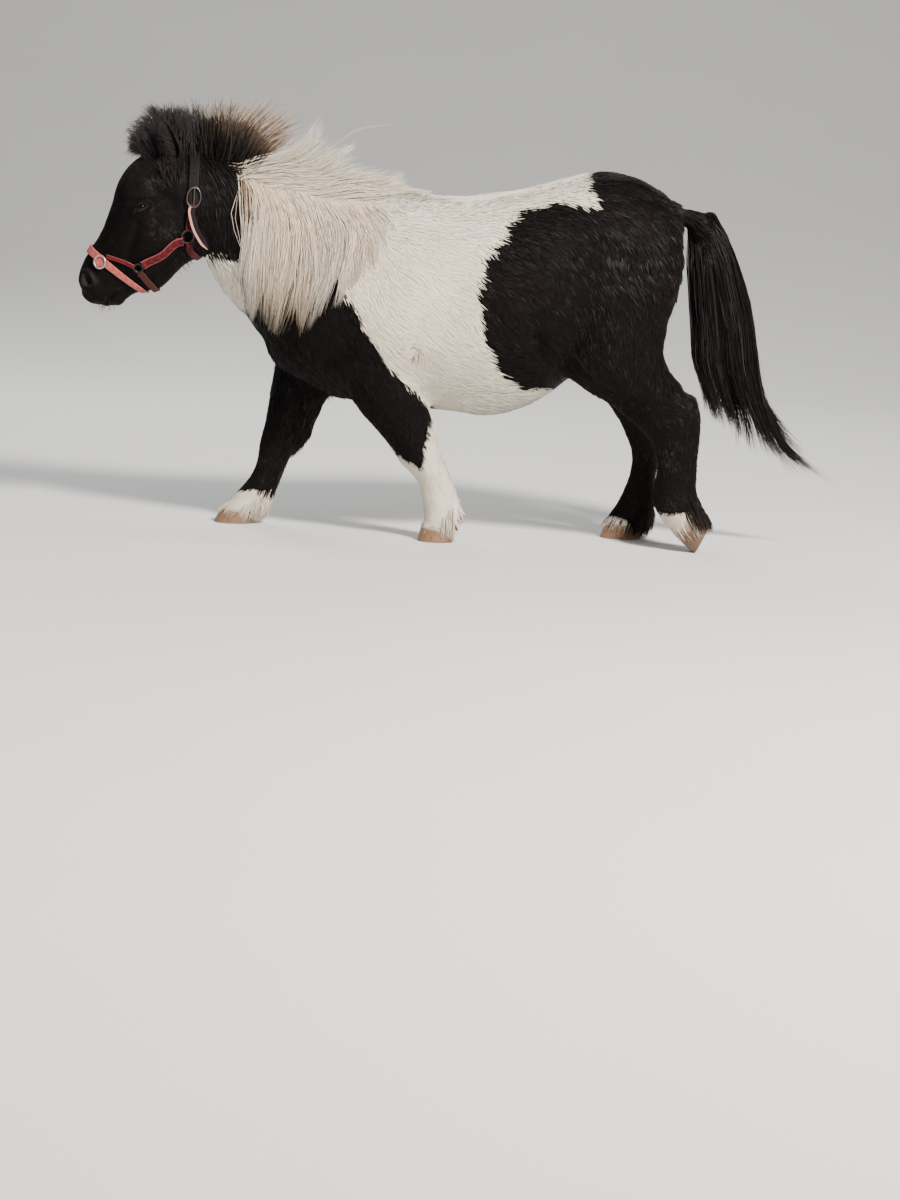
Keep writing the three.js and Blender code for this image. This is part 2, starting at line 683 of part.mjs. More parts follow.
// Flat strap along a row of surface points: its inner face clears the surface
function strap(row, width, thickness) {
  const rings = row.map(({ point, normal }, k) => {
    const before = row[Math.max(k - 1, 0)].point;
    const after = row[Math.min(k + 1, row.length - 1)].point;
    const along = after.clone().sub(before).normalize();
    const across = along.clone().cross(normal).normalize().multiplyScalar(width / 2);
    const outer = normal.clone().multiplyScalar(thickness);
    return [
      point.clone().sub(across),
      point.clone().add(across),
      point.clone().add(across).add(outer),
      point.clone().sub(across).add(outer),
    ];
  });
  return solidOf(surfaceOver(rings));
}

// Ring of round wire lying on the surface
function wireRing({ point, normal }, radius, wire, squeeze = 1) {
  const torus = new THREE.TorusGeometry(radius, wire, RING_SIDES, RING_STEPS);
  torus.scale(squeeze, 1, 1);
  const turn = new THREE.Quaternion().setFromUnitVectors(new THREE.Vector3(0, 0, 1), normal);
  torus.applyQuaternion(turn);
  torus.translate(point.x, point.y, point.z);
  return solidOf(torus);
}

// Sides of the animal: the left is -Y and the right is +Y
const SIDES = [['left', -1], ['right', 1]];

function eyePlace(side, sunk) {
  const { along, angle } = cheekPlace(EYE_PLACE.x, EYE_PLACE.z);
  const { point, normal } = onHead(along, angle);
  const centre = point.clone().addScaledVector(normal, sunk - EYE_RADIUS);
  if (side > 0) {
    centre.y *= -1;
    normal.y *= -1;
  }
  return { centre, normal };
}

function eyeball(side, grow) {
  const { centre, normal } = eyePlace(side, EYE_PLACE.stands);
  const radius = EYE_RADIUS + grow;
  const ball = solidOf(egg(centre, [radius, radius, radius], new THREE.Euler(), EYE_DETAIL));
  const behind = centre.dot(normal) - EYE_PLACE.back - grow;
  return ball.trimByPlane(normal.toArray(), behind);
}

// Eyelid: a tube that bows over the ball from the inner to the outer corner
function eyelid(side, bow, thickness) {
  const { centre, normal } = eyePlace(side, EYE_PLACE.stands);
  const front = new THREE.Vector3(-Math.cos(EYE_PLACE.slant), 0, Math.sin(EYE_PLACE.slant));
  front.addScaledVector(normal, -front.dot(normal)).normalize();
  const up = normal.clone().cross(front).normalize();
  if (up.z < 0) {
    up.negate();
  }
  const rings = [];
  for (let step = 0; step <= LID_STEPS; step += 1) {
    const t = (step / LID_STEPS) * 2 - 1;
    const aside = t * EYE_PLACE.opening;
    const rise = bow * Math.cos((t * Math.PI) / 2);
    const arm = normal.clone()
      .multiplyScalar(Math.cos(aside) * Math.cos(rise))
      .addScaledVector(front, -Math.sin(aside) * Math.cos(rise))
      .addScaledVector(up, Math.sin(rise));
    const middle = centre.clone().addScaledVector(arm, EYE_RADIUS + LID_OVER);
    const radius = thickness * (0.55 + 0.45 * Math.cos((t * Math.PI) / 2));
    const sideways = front.clone().multiplyScalar(Math.cos(aside)).addScaledVector(normal, Math.sin(aside));
    const outward = arm.clone();
    const lift = outward.clone().cross(sideways).normalize();
    const ring = [];
    for (let k = 0; k < LID_SIDES; k += 1) {
      const turn = (k / LID_SIDES) * 2 * Math.PI;
      ring.push(middle.clone()
        .addScaledVector(outward, Math.cos(turn) * radius)
        .addScaledVector(lift, Math.sin(turn) * radius));
    }
    rings.push(ring);
  }
  return solidOf(surfaceOver(rings));
}

// Ear: a hairy leaf, rolled at the foot, hollowed from the front
function earRings(side, scale, shift, from, to) {
  const base = new THREE.Vector3(EAR.base[0], side * EAR.base[1], EAR.base[2]);
  const tip = new THREE.Vector3(EAR.tip[0], side * EAR.tip[1], EAR.tip[2]);
  const along = tip.clone().sub(base);
  const facing = new THREE.Vector3(EAR.facing[0], side * EAR.facing[1], EAR.facing[2]);
  facing.addScaledVector(along, -facing.dot(along) / along.lengthSq()).normalize();
  const across = along.clone().cross(facing).normalize();
  const rings = [];
  for (let step = 0; step <= EAR_STEPS; step += 1) {
    const t = from + ((to - from) * step) / EAR_STEPS;
    const leaf = Math.sin(Math.PI * Math.min(1, 0.16 + 0.84 * t) ** 0.85) ** 0.75;
    const width = EAR.width * leaf * scale + EAR_RIM;
    const depth = EAR.depth * (1 - 0.75 * t) * scale + EAR_RIM;
    const bend = EAR.bend * Math.sin(Math.PI * t);
    const centre = base.clone().addScaledVector(along, t).addScaledVector(facing, shift - bend);
    const ring = [];
    for (let k = 0; k < EAR_SIDES; k += 1) {
      const turn = (k / EAR_SIDES) * 2 * Math.PI;
      ring.push(centre.clone()
        .addScaledVector(across, Math.cos(turn) * width)
        .addScaledVector(facing, Math.sin(turn) * depth));
    }
    rings.push(ring);
  }
  return solidOf(surfaceOver(rings));
}

// Flat tapered lock of hair along a curve: a ridge runs down its outer face, which looks
// towards the given normals
function lock(points, normals, width, thickness, segments = 4) {
  const curve = new THREE.CatmullRomCurve3(points, false, 'centripetal');
  const rings = [];
  for (let step = 0; step <= segments; step += 1) {
    const t = step / segments;
    const point = curve.getPoint(t);
    const along = curve.getTangent(t);
    const place = t * (normals.length - 1);
    const index = Math.min(Math.floor(place), normals.length - 2);
    const normal = normals[index].clone().lerp(normals[index + 1], place - index);
    normal.addScaledVector(along, -normal.dot(along)).normalize();
    const across = along.clone().cross(normal);
    const taper = Math.max(1 - t ** 3, LOCK_TIP);
    const half = (width / 2) * taper * (t === 0 ? LOCK_ROOT : 1);
    const thick = thickness * Math.max(taper, LOCK_THIN);
    rings.push([
      point.clone().addScaledVector(across, -half).addScaledVector(normal, -thick / 3),
      point.clone().addScaledVector(across, half).addScaledVector(normal, -thick / 3),
      point.clone().addScaledVector(normal, (thick * 2) / 3),
    ]);
  }
  return solidOf(surfaceOver(rings));
}

const torsoMesh = new THREE.Mesh(geometryOf(torso), new THREE.MeshStandardMaterial());
const neckMesh = new THREE.Mesh(geometryOf(neckShape(0)), new THREE.MeshStandardMaterial());
torsoMesh.material.side = THREE.DoubleSide;
neckMesh.material.side = THREE.DoubleSide;
torsoMesh.updateMatrixWorld();
neckMesh.updateMatrixWorld();
const OUTSIDE = 1500;
const ray = new THREE.Raycaster();

// Distance of the flesh of neck and trunk from the middle plane at a place of the side view
function flankAt(x, z) {
  ray.set(new THREE.Vector3(x, -OUTSIDE, z), new THREE.Vector3(0, 1, 0));
  const hits = ray.intersectObjects([torsoMesh, neckMesh]);
  return hits.length > 0 ? OUTSIDE - hits[0].distance : 0;
}

// Height of the crest of the neck and of the withers
function crestAt(x) {
  ray.set(new THREE.Vector3(x, 0, OUTSIDE), new THREE.Vector3(0, 0, -1));
  const hits = ray.intersectObjects([torsoMesh, neckMesh]);
  return hits.length > 0 ? OUTSIDE - hits[0].distance : 0;
}

// Mane that falls down one side of the neck
function fallingLock(side, rootX, tipX, tipZ, sway, lift, width, thickness) {
  const rootZ = crestAt(rootX) - FALL_ROOT.below;
  const shoulderZ = rootZ - FALL_ROOT.shoulder;
  const shoulderOut = flankAt(rootX, shoulderZ);
  const points = [
    new THREE.Vector3(rootX, side * (shoulderOut - FALL_ROOT.inside), rootZ),
    new THREE.Vector3(rootX, side * (shoulderOut + lift * 0.7), shoulderZ),
  ];
  const normals = [new THREE.Vector3(0, side, 0.8), new THREE.Vector3(0, side, 0.5)];
  const drops = 3;
  for (let drop = 1; drop <= drops; drop += 1) {
    const t = drop / drops;
    const x = rootX + (tipX - rootX) * t ** 1.25 + sway * Math.sin(t * 4);
    const z = shoulderZ + (tipZ - shoulderZ) * t;
    points.push(new THREE.Vector3(x, side * (flankAt(x, z) + lift), z));
    normals.push(new THREE.Vector3(0, side, 0.15));
  }
  return lock(points, normals, width, thickness, 4);
}

// Mane that stands on the crest or is blown back over it
function standingLock(rootX, tipX, tipZ, lean, bow, width, thickness) {
  const rootZ = crestAt(rootX);
  const root = new THREE.Vector3(rootX, lean * 0.7, rootZ - MANE_SUNK);
  const tip = new THREE.Vector3(tipX, lean, tipZ);
  const middle = root.clone().lerp(tip, 0.5);
  middle.z += bow;
  middle.x -= bow * 0.4;
  const normals = [new THREE.Vector3(0, 1, 0), new THREE.Vector3(0, 1, 0.1)];
  return lock([root, middle, tip], normals, width, thickness, 3);
}

// Straps that cross the middle plane: marks on the left cheek, over the top or under the
// throat, then the same marks on the right
function aroundHead(leftPlaces, middle, steps, lift) {
  const left = leftPlaces.map(([x, z]) => {
    const { along, angle } = cheekPlace(x, z);
    return new THREE.Vector3(along, angle, 0);
  });
  const centre = new THREE.Vector3(middle.along, middle.angle, 0);
  const right = left.map((mark) => {
    const mirrored = middle.angle < Math.PI ? Math.PI - mark.y : 3 * Math.PI - mark.y;
    return new THREE.Vector3(mark.x, mirrored, 0);
  }).reverse();
  return overHead([...left, centre, ...right], -1, steps, lift);
}

const TOP = Math.PI / 2;
const UNDER = 1.5 * Math.PI;
const crownRow = (lift) => aroundHead([[-642, 792], [-644, 850]], { along: 0.1, angle: TOP }, 16, lift);
const crownStrap = strap(crownRow(STRAP_CLEAR), CROWN_WIDTH, STRAP_THICK);
const crownRoom = strap(
  crownRow(STRAP_CLEAR - NODE_GAP),
  CROWN_WIDTH + 2 * NODE_GAP,
  STRAP_THICK + 2 * NODE_GAP,
);

addNode('torso', largestOf(torso.subtract(neckPlane)), 'white');

const maneLocks = [];
for (let k = 0; k < STANDING.count; k += 1) {
  const [rootX, tipX, tipZ] = tableAt(STANDING_MANE, (k + 0.5) / STANDING.count);
  const lean = STANDING.spread * (((k * 2) % 3) - 1);
  const short = 0.9 + 0.14 * random();
  const rise = crestAt(rootX);
  maneLocks.push(standingLock(
    rootX,
    rootX + (tipX - rootX) * short + vary(4, 1),
    rise + (tipZ - rise) * (k % 3 === 1 ? 1 : short),
    lean,
    5 + 5 * random(),
    vary(STANDING.width, 0.15),
    STANDING.thickness,
  ));
}
for (const [side, fall] of [[-1, LEFT_FALL], [1, RIGHT_FALL]]) {
  for (let k = 0; k < fall.count; k += 1) {
    const [rootX, tipX, tipZ] = tableAt(FALLING_MANE, (k + 0.5) / fall.count);
    const under = k % 2 === 0;
    maneLocks.push(fallingLock(
      side,
      rootX,
      tipX + 10 * (random() - 0.5),
      tipZ + (fall.shorter ?? 0) + (under ? 0 : 45 * random()),
      18 * (random() - 0.5),
      fall.lift + (under ? 0 : fall.layer),
      vary(fall.width, 0.15),
      fall.thickness,
    ));
  }
}

// Dense inner hair of the standing mane, less than half as high as its tips
const maneCore = solidOf(loft(STANDING_MANE.slice(1, -1).map(([rootX, tipX, tipZ]) => {
  const rootZ = crestAt(rootX);
  const share = MANE_CORE.share;
  return station(
    rootX + (tipX - rootX) * share,
    rootZ + (tipZ - rootZ) * share,
    rootX,
    rootZ - MANE_SUNK,
    MANE_CORE.half,
    0.2,
    1.3,
    2,
  );
}), { around: 8, between: 1 }));
const neckFlesh = neckShape(0).subtract(neckPlane);
const neckAndMane = Manifold.union([neckFlesh, maneCore, ...maneLocks])
  .subtract(headPlane)
  .subtract(headGrown)
  .subtract(crownRoom)
  .subtract(torsoGrown);
addNode('neck', largestOf(neckAndMane), 'white');

let head = headShape(0).subtract(headPlane);
for (const [, side] of SIDES) {
  head = head.add(eyelid(side, EYE_PLACE.upperBow, LID_RADIUS));
  head = head.add(eyelid(side, -EYE_PLACE.lowerBow, LID_RADIUS * 0.8));
  head = head.subtract(eyeball(side, NODE_GAP));
  const nostril = egg(
    new THREE.Vector3(NOSTRIL.x, side * NOSTRIL.y, NOSTRIL.z),
    [NOSTRIL.width, NOSTRIL.depth, NOSTRIL.length],
    new THREE.Euler(0, NOSTRIL.slant, side * NOSTRIL.turn),
    NOSTRIL.detail,
  );
  head = head.subtract(solidOf(nostril));
}
const mouthSlot = new THREE.BoxGeometry(MOUTH.height, 200, MOUTH.length);
mouthSlot.rotateY(MOUTH.slant);
mouthSlot.translate(MOUTH.x, 0, MOUTH.z);
const mouth = solidOf(mouthSlot).subtract(headShape(-MOUTH.depth, 8, 1));
head = head.subtract(mouth);

const forelockLocks = [];
for (let k = 0; k < FORELOCK_SIZE.count; k += 1) {
  const [tipX, tipZ] = tableAt(FORELOCK, (k + 0.5) / FORELOCK_SIZE.count);
  const lean = ((k * 2) % 3 - 1) * (14 + 8 * random());
  const root = new THREE.Vector3(FORELOCK_ROOT.x, lean * 0.5, FORELOCK_ROOT.z - MANE_SUNK);
  const tip = new THREE.Vector3(tipX, lean, tipZ).lerp(root, 0.08 * random());
  const middle = root.clone().lerp(tip, 0.5);
  middle.z += FORELOCK_SIZE.bow;
  const flat = new THREE.Vector3(0, 1, 0);
  forelockLocks.push(lock(
    [root, middle, tip],
    [flat, flat],
    vary(FORELOCK_SIZE.width, 0.15),
    FORELOCK_SIZE.thickness,
    3,
  ));
}
head = Manifold.union([head, ...forelockLocks]).subtract(crownRoom);

for (const [name, side] of SIDES) {
  const hollow = earRings(side, EAR_HOLLOW.scale, EAR.cup, EAR_HOLLOW.from, EAR_HOLLOW.to);
  const ear = earRings(side, 1, 0, 0, 1).subtract(hollow);
  addNode(`eye_${name}`, eyeball(side, 0), 'eye');
  const earBody = largestOf(ear.subtract(headGrown));
  addNode(`ear_${name}`, earBody, 'black');
  const earRoom = earRings(side, 1 + NODE_GAP / EAR.depth, 0, -0.02, 1.01);
  head = head.subtract(earRoom.subtract(headShape(0)));
}
addNode('head', largestOf(head.subtract(headPlane)), 'black');

// Long hair at the back of the fetlock, lying down over the heel
function feathers(stations, { at, hangX, hangZ }) {
  const locks = [];
  const hang = new THREE.Vector3(hangX, 0, hangZ);
  for (let k = 0; k < FEATHER.count; k += 1) {
    const angle = 1.5 * Math.PI + ((k + 0.5) / FEATHER.count - 0.5) * 2.6;
    const index = Math.round((angle / (2 * Math.PI)) * FINE_RING) % FINE_RING;
    const marks = [[0, -6], [0.5, 2], [1, FEATHER.stands]];
    const points = marks.map(([share, out]) => {
      const along = Math.min(at + share * FEATHER.length, stations.length - 1);
      return ringOf(stationAt(stations, along), FINE_RING, out)[index];
    });
    points[2].addScaledVector(hang, vary(10, 0.5));
    const ring = ringOf(stationAt(stations, at), FINE_RING);
    const out = ring[index].clone().sub(ring.centre).normalize();
    locks.push(lock(points, [out, out], FEATHER.width, FEATHER.thickness, 3));
  }
  return locks;
}

function hoofRoom(hoofName) {
  return solidOf(loft(HOOVES[hoofName], { around: LEG_SIDES, between: 1, grow: NODE_GAP }));
}

for (const [name, [upperStations, lowerStations, hoofName]] of Object.entries(LEGS)) {
  const joint = gapAt(lowerStations[0]);
  const upper = solidOf(loft(upperStations, { around: LEG_SIDES, between: 1, roundFirst: 30 }));
  const lower = solidOf(loft(lowerStations, { around: LEG_SIDES, between: 1 }));
  const coronet = gapAt(HOOVES[hoofName][0]);
  const hoof = solidOf(loft(HOOVES[hoofName], { around: LEG_SIDES, between: 1 }));
  addNode(`${name}_upper`, largestOf(upper.subtract(torsoGrown).subtract(joint)), 'black');
  const featherLocks = feathers(lowerStations, FEATHER_PLACES[name]);
  const hairyLower = Manifold.union([lower, ...featherLocks]).subtract(joint).subtract(coronet)
    .subtract(hoofRoom(hoofName)).subtract(floorBlock());
  addNode(`${name}_lower`, largestOf(hairyLower), 'black');
  addNode(`hoof_${hoofName}`, largestOf(hoof.subtract(coronet).subtract(floorBlock())), 'horn');
}

// Place on the outside of the tail: how far down its stations and the angle around them
function onTail(along, angle, share) {
  const values = stationAt(TAIL, along);
  const [topX, topZ, lowX, lowZ, half, widest, , , y] = values;
  const height = Math.hypot(topX - lowX, topZ - lowZ);
  const rise = new THREE.Vector3((topX - lowX) / height, 0, (topZ - lowZ) / height);
  const centre = new THREE.Vector3(lowX, y, lowZ).addScaledVector(rise, height * widest);
  const arm = new THREE.Vector3(0, Math.cos(angle) * half, 0)
    .addScaledVector(rise, (Math.sin(angle) * height) / 2);
  const point = centre.addScaledVector(arm, share);
  return { point, normal: arm.normalize() };
}

const tailLocks = [];
for (const tier of TAIL_TIERS) {
  for (let k = 0; k < tier.count; k += 1) {
    const angle = ((k + random() * 0.35) / tier.count) * 2 * Math.PI;
    const start = tier.start + 0.8 * random();
    const end = tier.end - 1.1 * random();
    const twist = 0.4 * (random() - 0.5);
    const points = [];
    const normals = [];
    const marks = 6;
    for (let mark = 0; mark <= marks; mark += 1) {
      const t = mark / marks;
      const rise = t * t * (3 - 2 * t);
      const share = TAIL_LOCK.rootShare + (TAIL_LOCK.tipShare - TAIL_LOCK.rootShare) * rise;
      const { point, normal } = onTail(start + (end - start) * t, angle + twist * t, share);
      points.push(point);
      normals.push(normal);
    }
    tailLocks.push(lock(points, normals, vary(tier.width, 0.12), TAIL_LOCK.thickness, 5));
  }
}
const tailCore = solidOf(loft(TAIL_CORE, { around: 12, between: 1 }));
addNode('tail', largestOf(Manifold.union([tailCore, ...tailLocks]).subtract(torsoGrown)), 'black');

// Head collar
const noseRow = (along, lift) => ringOf(stationAt(HEAD, along), 22, lift, HEAD_MUSCLES);
function closedBand(along, halfSpan, thickness) {
  const corners = [
    noseRow(along - halfSpan, STRAP_CLEAR),
    noseRow(along + halfSpan, STRAP_CLEAR),
    noseRow(along + halfSpan, STRAP_CLEAR + thickness),
    noseRow(along - halfSpan, STRAP_CLEAR + thickness),
  ];
  const positions = corners.flat().flatMap((point) => [point.x, point.y, point.z]);
  const count = corners[0].length;
  const faces = [];
  for (let row = 0; row < 4; row += 1) {
    const next = (row + 1) % 4;
    for (let k = 0; k < count; k += 1) {
      const onward = (k + 1) % count;
      const a = row * count + k;
      const b = row * count + onward;
      const c = next * count + onward;
      const d = next * count + k;
      faces.push(a, b, c, a, c, d);
    }
  }
  const geometry = new THREE.BufferGeometry();
  geometry.setAttribute('position', new THREE.Float32BufferAttribute(positions, 3));
  geometry.setIndex(faces);
  return solidOf(faceOutward(geometry));
}

const ON_TOP = STRAP_CLEAR + STRAP_THICK + NODE_GAP;
const ringRooms = [];

// Ring of the head collar at a place on the cheek, with room kept free around its wire
function fitting(name, place, side, lift, { radius, wire, squeeze }) {
  const mark = overCheek([place, place], side, 1, lift + wire)[0];
  ringRooms.push(wireRing(mark, radius, wire + NODE_GAP, squeeze));
  addNode(name, wireRing(mark, radius, wire, squeeze), 'metal');
}

for (const [name, side] of SIDES) {
  fitting(`halter_cheek_ring_${name}`, CHEEK_RING, side, STRAP_CLEAR + 1, CHEEK_RING_SIZE);
  fitting(`halter_lower_ring_${name}`, LOWER_RING, side, STRAP_CLEAR + 1, LOWER_RING_SIZE);
  fitting(`halter_nose_slide_${name}`, NOSE_SLIDE, side, ON_TOP, NOSE_SLIDE_SIZE);
  fitting(`halter_buckle_${name}`, BUCKLE, side, ON_TOP, BUCKLE_SIZE);
}
const ringRoom = Manifold.union(ringRooms);

function addStrap(name, shape, look) {
  addNode(name, largestOf(shape.subtract(ringRoom)), look);
}

addStrap('halter_noseband', closedBand(NOSEBAND.along, NOSEBAND.halfSpan, STRAP_THICK), 'webbing');
addStrap('halter_crown_strap', crownStrap, 'leather');
const chinRow = aroundHead(CHIN_STRAP, { along: CHIN_MIDDLE, angle: UNDER }, 12, STRAP_CLEAR);
addStrap('halter_chin_strap', strap(chinRow, NARROW_STRAP, STRAP_THICK), 'webbing');
const throatRow = aroundHead(THROAT_STRAP, { along: THROAT_MIDDLE, angle: UNDER }, 12, STRAP_CLEAR);
addStrap('halter_throat_strap', strap(throatRow, NARROW_STRAP, STRAP_THICK), 'webbing');

for (const [name, side] of SIDES) {
  const straps = [
    ['cheekpiece', CHEEKPIECE, 8, WEBBING_WIDTH],
    ['cheek_tab', CHEEK_TAB, 3, NARROW_STRAP],
    ['nose_tab', NOSE_TAB, 4, TAB_WIDTH],
  ];
  for (const [title, places, steps, width] of straps) {
    const row = overCheek(places, side, steps, STRAP_CLEAR);
    addStrap(`halter_${title}_${name}`, strap(row, width, STRAP_THICK), 'webbing');
  }
}

const strapEndCurve = new THREE.CatmullRomCurve3(STRAP_END.map((place) => new THREE.Vector3(...place)));
const strapEndRow = strapEndCurve.getPoints(8).map((point) => ({
  point,
  normal: new THREE.Vector3(0.15, -1, 0).normalize(),
}));
addStrap('halter_strap_end', strap(strapEndRow, LOOSE_END_WIDTH, STRAP_THICK), 'leather');

part.updateMatrixWorld(true);
const bounds = new THREE.Box3().setFromObject(part);
const shift = new THREE.Vector3(
  -(bounds.min.x + bounds.max.x) / 2,
  -(bounds.min.y + bounds.max.y) / 2,
  -bounds.min.z,
);
for (const mesh of part.children) {
  mesh.geometry.translate(shift.x, shift.y, shift.z);
}

export default part;
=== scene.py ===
# Life-size piebald Shetland pony, walking, in a webbing head collar. It faces -X and its left
# side is towards -Y. Sizes in the tables are millimetres.
import math

import bpy
import bmesh
import numpy as np
from mathutils import Matrix, Vector
from mathutils.bvhtree import BVHTree
from mathutils.kdtree import KDTree


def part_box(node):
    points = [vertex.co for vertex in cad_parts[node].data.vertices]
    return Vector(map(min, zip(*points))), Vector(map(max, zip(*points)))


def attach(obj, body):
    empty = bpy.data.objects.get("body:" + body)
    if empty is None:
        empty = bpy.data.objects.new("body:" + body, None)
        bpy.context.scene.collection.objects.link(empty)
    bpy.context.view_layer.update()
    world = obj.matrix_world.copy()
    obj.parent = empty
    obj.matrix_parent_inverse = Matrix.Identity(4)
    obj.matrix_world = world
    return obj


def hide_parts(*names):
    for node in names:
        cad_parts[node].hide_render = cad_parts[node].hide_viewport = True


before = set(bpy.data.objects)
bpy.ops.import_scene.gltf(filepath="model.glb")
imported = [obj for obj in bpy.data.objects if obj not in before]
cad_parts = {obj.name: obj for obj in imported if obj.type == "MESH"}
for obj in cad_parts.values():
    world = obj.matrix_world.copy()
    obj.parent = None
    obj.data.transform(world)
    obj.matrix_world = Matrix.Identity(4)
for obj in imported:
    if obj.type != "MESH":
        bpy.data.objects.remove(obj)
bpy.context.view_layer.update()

MM = 0.001
rng = np.random.default_rng(11)
ROOT = "root"

# The tables are measured from the middle of the trunk. The far fore toe shows where the frame
# has put the model.
TOE_X, TOE_Y = -587, 131
toe_low, toe_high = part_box("hoof_fore_right")
SHIFT = np.array([toe_low[0] / MM - TOE_X, toe_high[1] / MM - TOE_Y, 0.0])


def deselect_all():
    if bpy.context.object and bpy.context.object.mode != "OBJECT":
        bpy.ops.object.mode_set(mode="OBJECT")
    bpy.ops.object.select_all(action="DESELECT")


# Camera at the photograph's angle: it looks down a little on the feet, rolled a little, with a
# long lens. Lens and shift are pixels of the picture.
CAMERA_FAR = 6.9
CAMERA_ANGLE = math.radians(8)
CAMERA_UP = CAMERA_FAR * math.tan(CAMERA_ANGLE)
PICTURE_HEIGHT, LENS_PIXELS, SHIFT_PIXELS = 1200, 2880, 64
SENSOR = 36
PITCH = CAMERA_ANGLE + math.atan(SHIFT_PIXELS / LENS_PIXELS)
ROLL = math.radians(2.4)


def add_camera():
    data = bpy.data.cameras.new("camera")
    camera = bpy.data.objects.new("camera", data)
    bpy.context.collection.objects.link(camera)
    forward = Vector((0, math.cos(PITCH), -math.sin(PITCH)))
    right = Vector((1, 0, 0))
    up = right.cross(forward)
    side = right * math.cos(ROLL) + up * math.sin(ROLL)
    top = up * math.cos(ROLL) - right * math.sin(ROLL)
    turn = Matrix((side, top, -forward)).transposed().to_4x4()
    place = Vector((SHIFT[0] * MM, -CAMERA_FAR + SHIFT[1] * MM, CAMERA_UP))
    camera.matrix_world = Matrix.Translation(place) @ turn
    data.sensor_fit = "VERTICAL"
    data.sensor_height = SENSOR
    data.lens = LENS_PIXELS / PICTURE_HEIGHT * SENSOR
    data.clip_end = 60
    bpy.context.scene.camera = camera


FLOOR_SIZE = 18
SWEEP_STEPS, SWEEP_STEP = 30, .45


def add_floor():
    """Pale floor that sweeps up into a backdrop far behind."""
    deselect_all()
    bpy.ops.mesh.primitive_plane_add(size=FLOOR_SIZE, location=(0, -5, 0))
    floor = bpy.context.object
    floor.name = "floor"
    bpy.ops.object.transform_apply(location=True)
    bpy.ops.object.mode_set(mode="EDIT")
    mesh = bmesh.from_edit_mesh(floor.data)
    for face in mesh.faces:
        face.select_set(False)
    for edge in mesh.edges:
        if all(vertex.co.y > 1 for vertex in edge.verts):
            edge.select_set(True)
    bmesh.update_edit_mesh(floor.data)
    for k in range(SWEEP_STEPS):
        turn = math.pi / 2 * (k + .5) / SWEEP_STEPS
        step = (0, SWEEP_STEP * math.cos(turn), SWEEP_STEP * math.sin(turn))
        bpy.ops.mesh.extrude_region_move(TRANSFORM_OT_translate={"value": step})
    bpy.ops.mesh.extrude_region_move(TRANSFORM_OT_translate={"value": (0, 0, 5)})
    bpy.ops.object.mode_set(mode="OBJECT")
    bpy.ops.object.shade_smooth()
    floor.data.materials.append(floor_finish())


def add_light(name, place, target, size, power, colour=(1, 1, 1)):
    data = bpy.data.lights.new(name, "AREA")
    data.shape = "DISK"
    data.size = size
    data.energy = power
    data.color = colour
    light = bpy.data.objects.new(name, data)
    bpy.context.collection.objects.link(light)
    light.location = place
    way = Vector(target) - Vector(place)
    light.rotation_euler = way.to_track_quat("-Z", "Y").to_euler()


def add_lights():
    add_light("key_light", (2.6, -4.2, 4.4), (0, 0, 0.5), 1.2, 900, (1.0, 0.955, 0.89))
    add_light("fill_light", (-3.4, -4.0, 2.2), (-0.2, 0, 0.5), 3.0, 34, (0.93, 0.96, 1.0))
    add_light("rim_light", (-1.5, 4.0, 3.6), (0, 0, 0.6), 2.4, 110)
    add_light("backdrop_light", (0, 1.8, 6.5), (0, 9, 1.5), 5.0, 170)
    world = bpy.data.worlds.new("studio")
    world.use_nodes = True
    background = world.node_tree.nodes["Background"]
    background.inputs["Color"].default_value = (0.86, 0.88, 0.9, 1)
    background.inputs["Strength"].default_value = 0.26
    bpy.context.scene.world = world


# Shape of the flesh. A station is one cross-section in side view, in millimetres: upper (or front)
# edge, lower (or rear) edge, half-width, how far up it is widest, and how square its upper and
# lower halves are.
TRUNK = [
    (-190, 817, -470, 440, 140, .42, 1.8, 2.1), (-150, 819, -440, 399, 160, .42, 1.85, 2.1),
    (-110, 820, -370, 357, 176, .42, 1.9, 2.1), (-60, 817, -290, 324, 192, .43, 2, 2.1),
    (-5, 818, -170, 312, 203, .44, 2.1, 2.1), (55, 827, -40, 304, 214, .45, 2.1, 2.1),
    (110, 836, 55, 296, 219, .46, 2.1, 2.1), (165, 850, 130, 310, 216, .48, 2.1, 2.1),
    (220, 867, 200, 344, 206, .5, 2.1, 2.1), (275, 882, 262, 392, 198, .5, 2.1, 2.1),
    (330, 889, 330, 430, 192, .5, 2.1, 2.2), (390, 880, 395, 455, 184, .5, 2.1, 2.2),
    (440, 857, 450, 490, 165, .5, 2.1, 2.2), (480, 832, 486, 560, 135, .5, 2, 2.2),
]
NECK = [
    (-190, 817, -470, 440, 140, .42, 1.8, 2.1), (-290, 818, -495, 478, 124, .43, 1.75, 2.1),
    (-380, 832, -520, 512, 107, .44, 1.7, 2.1), (-460, 850, -553, 544, 92, .45, 1.7, 2.1),
    (-540, 876, -588, 588, 80, .46, 1.75, 2), (-600, 890, -610, 625, 73, .48, 1.8, 2),
    (-643, 893, -622, 650, 72, .5, 1.9, 2),
]
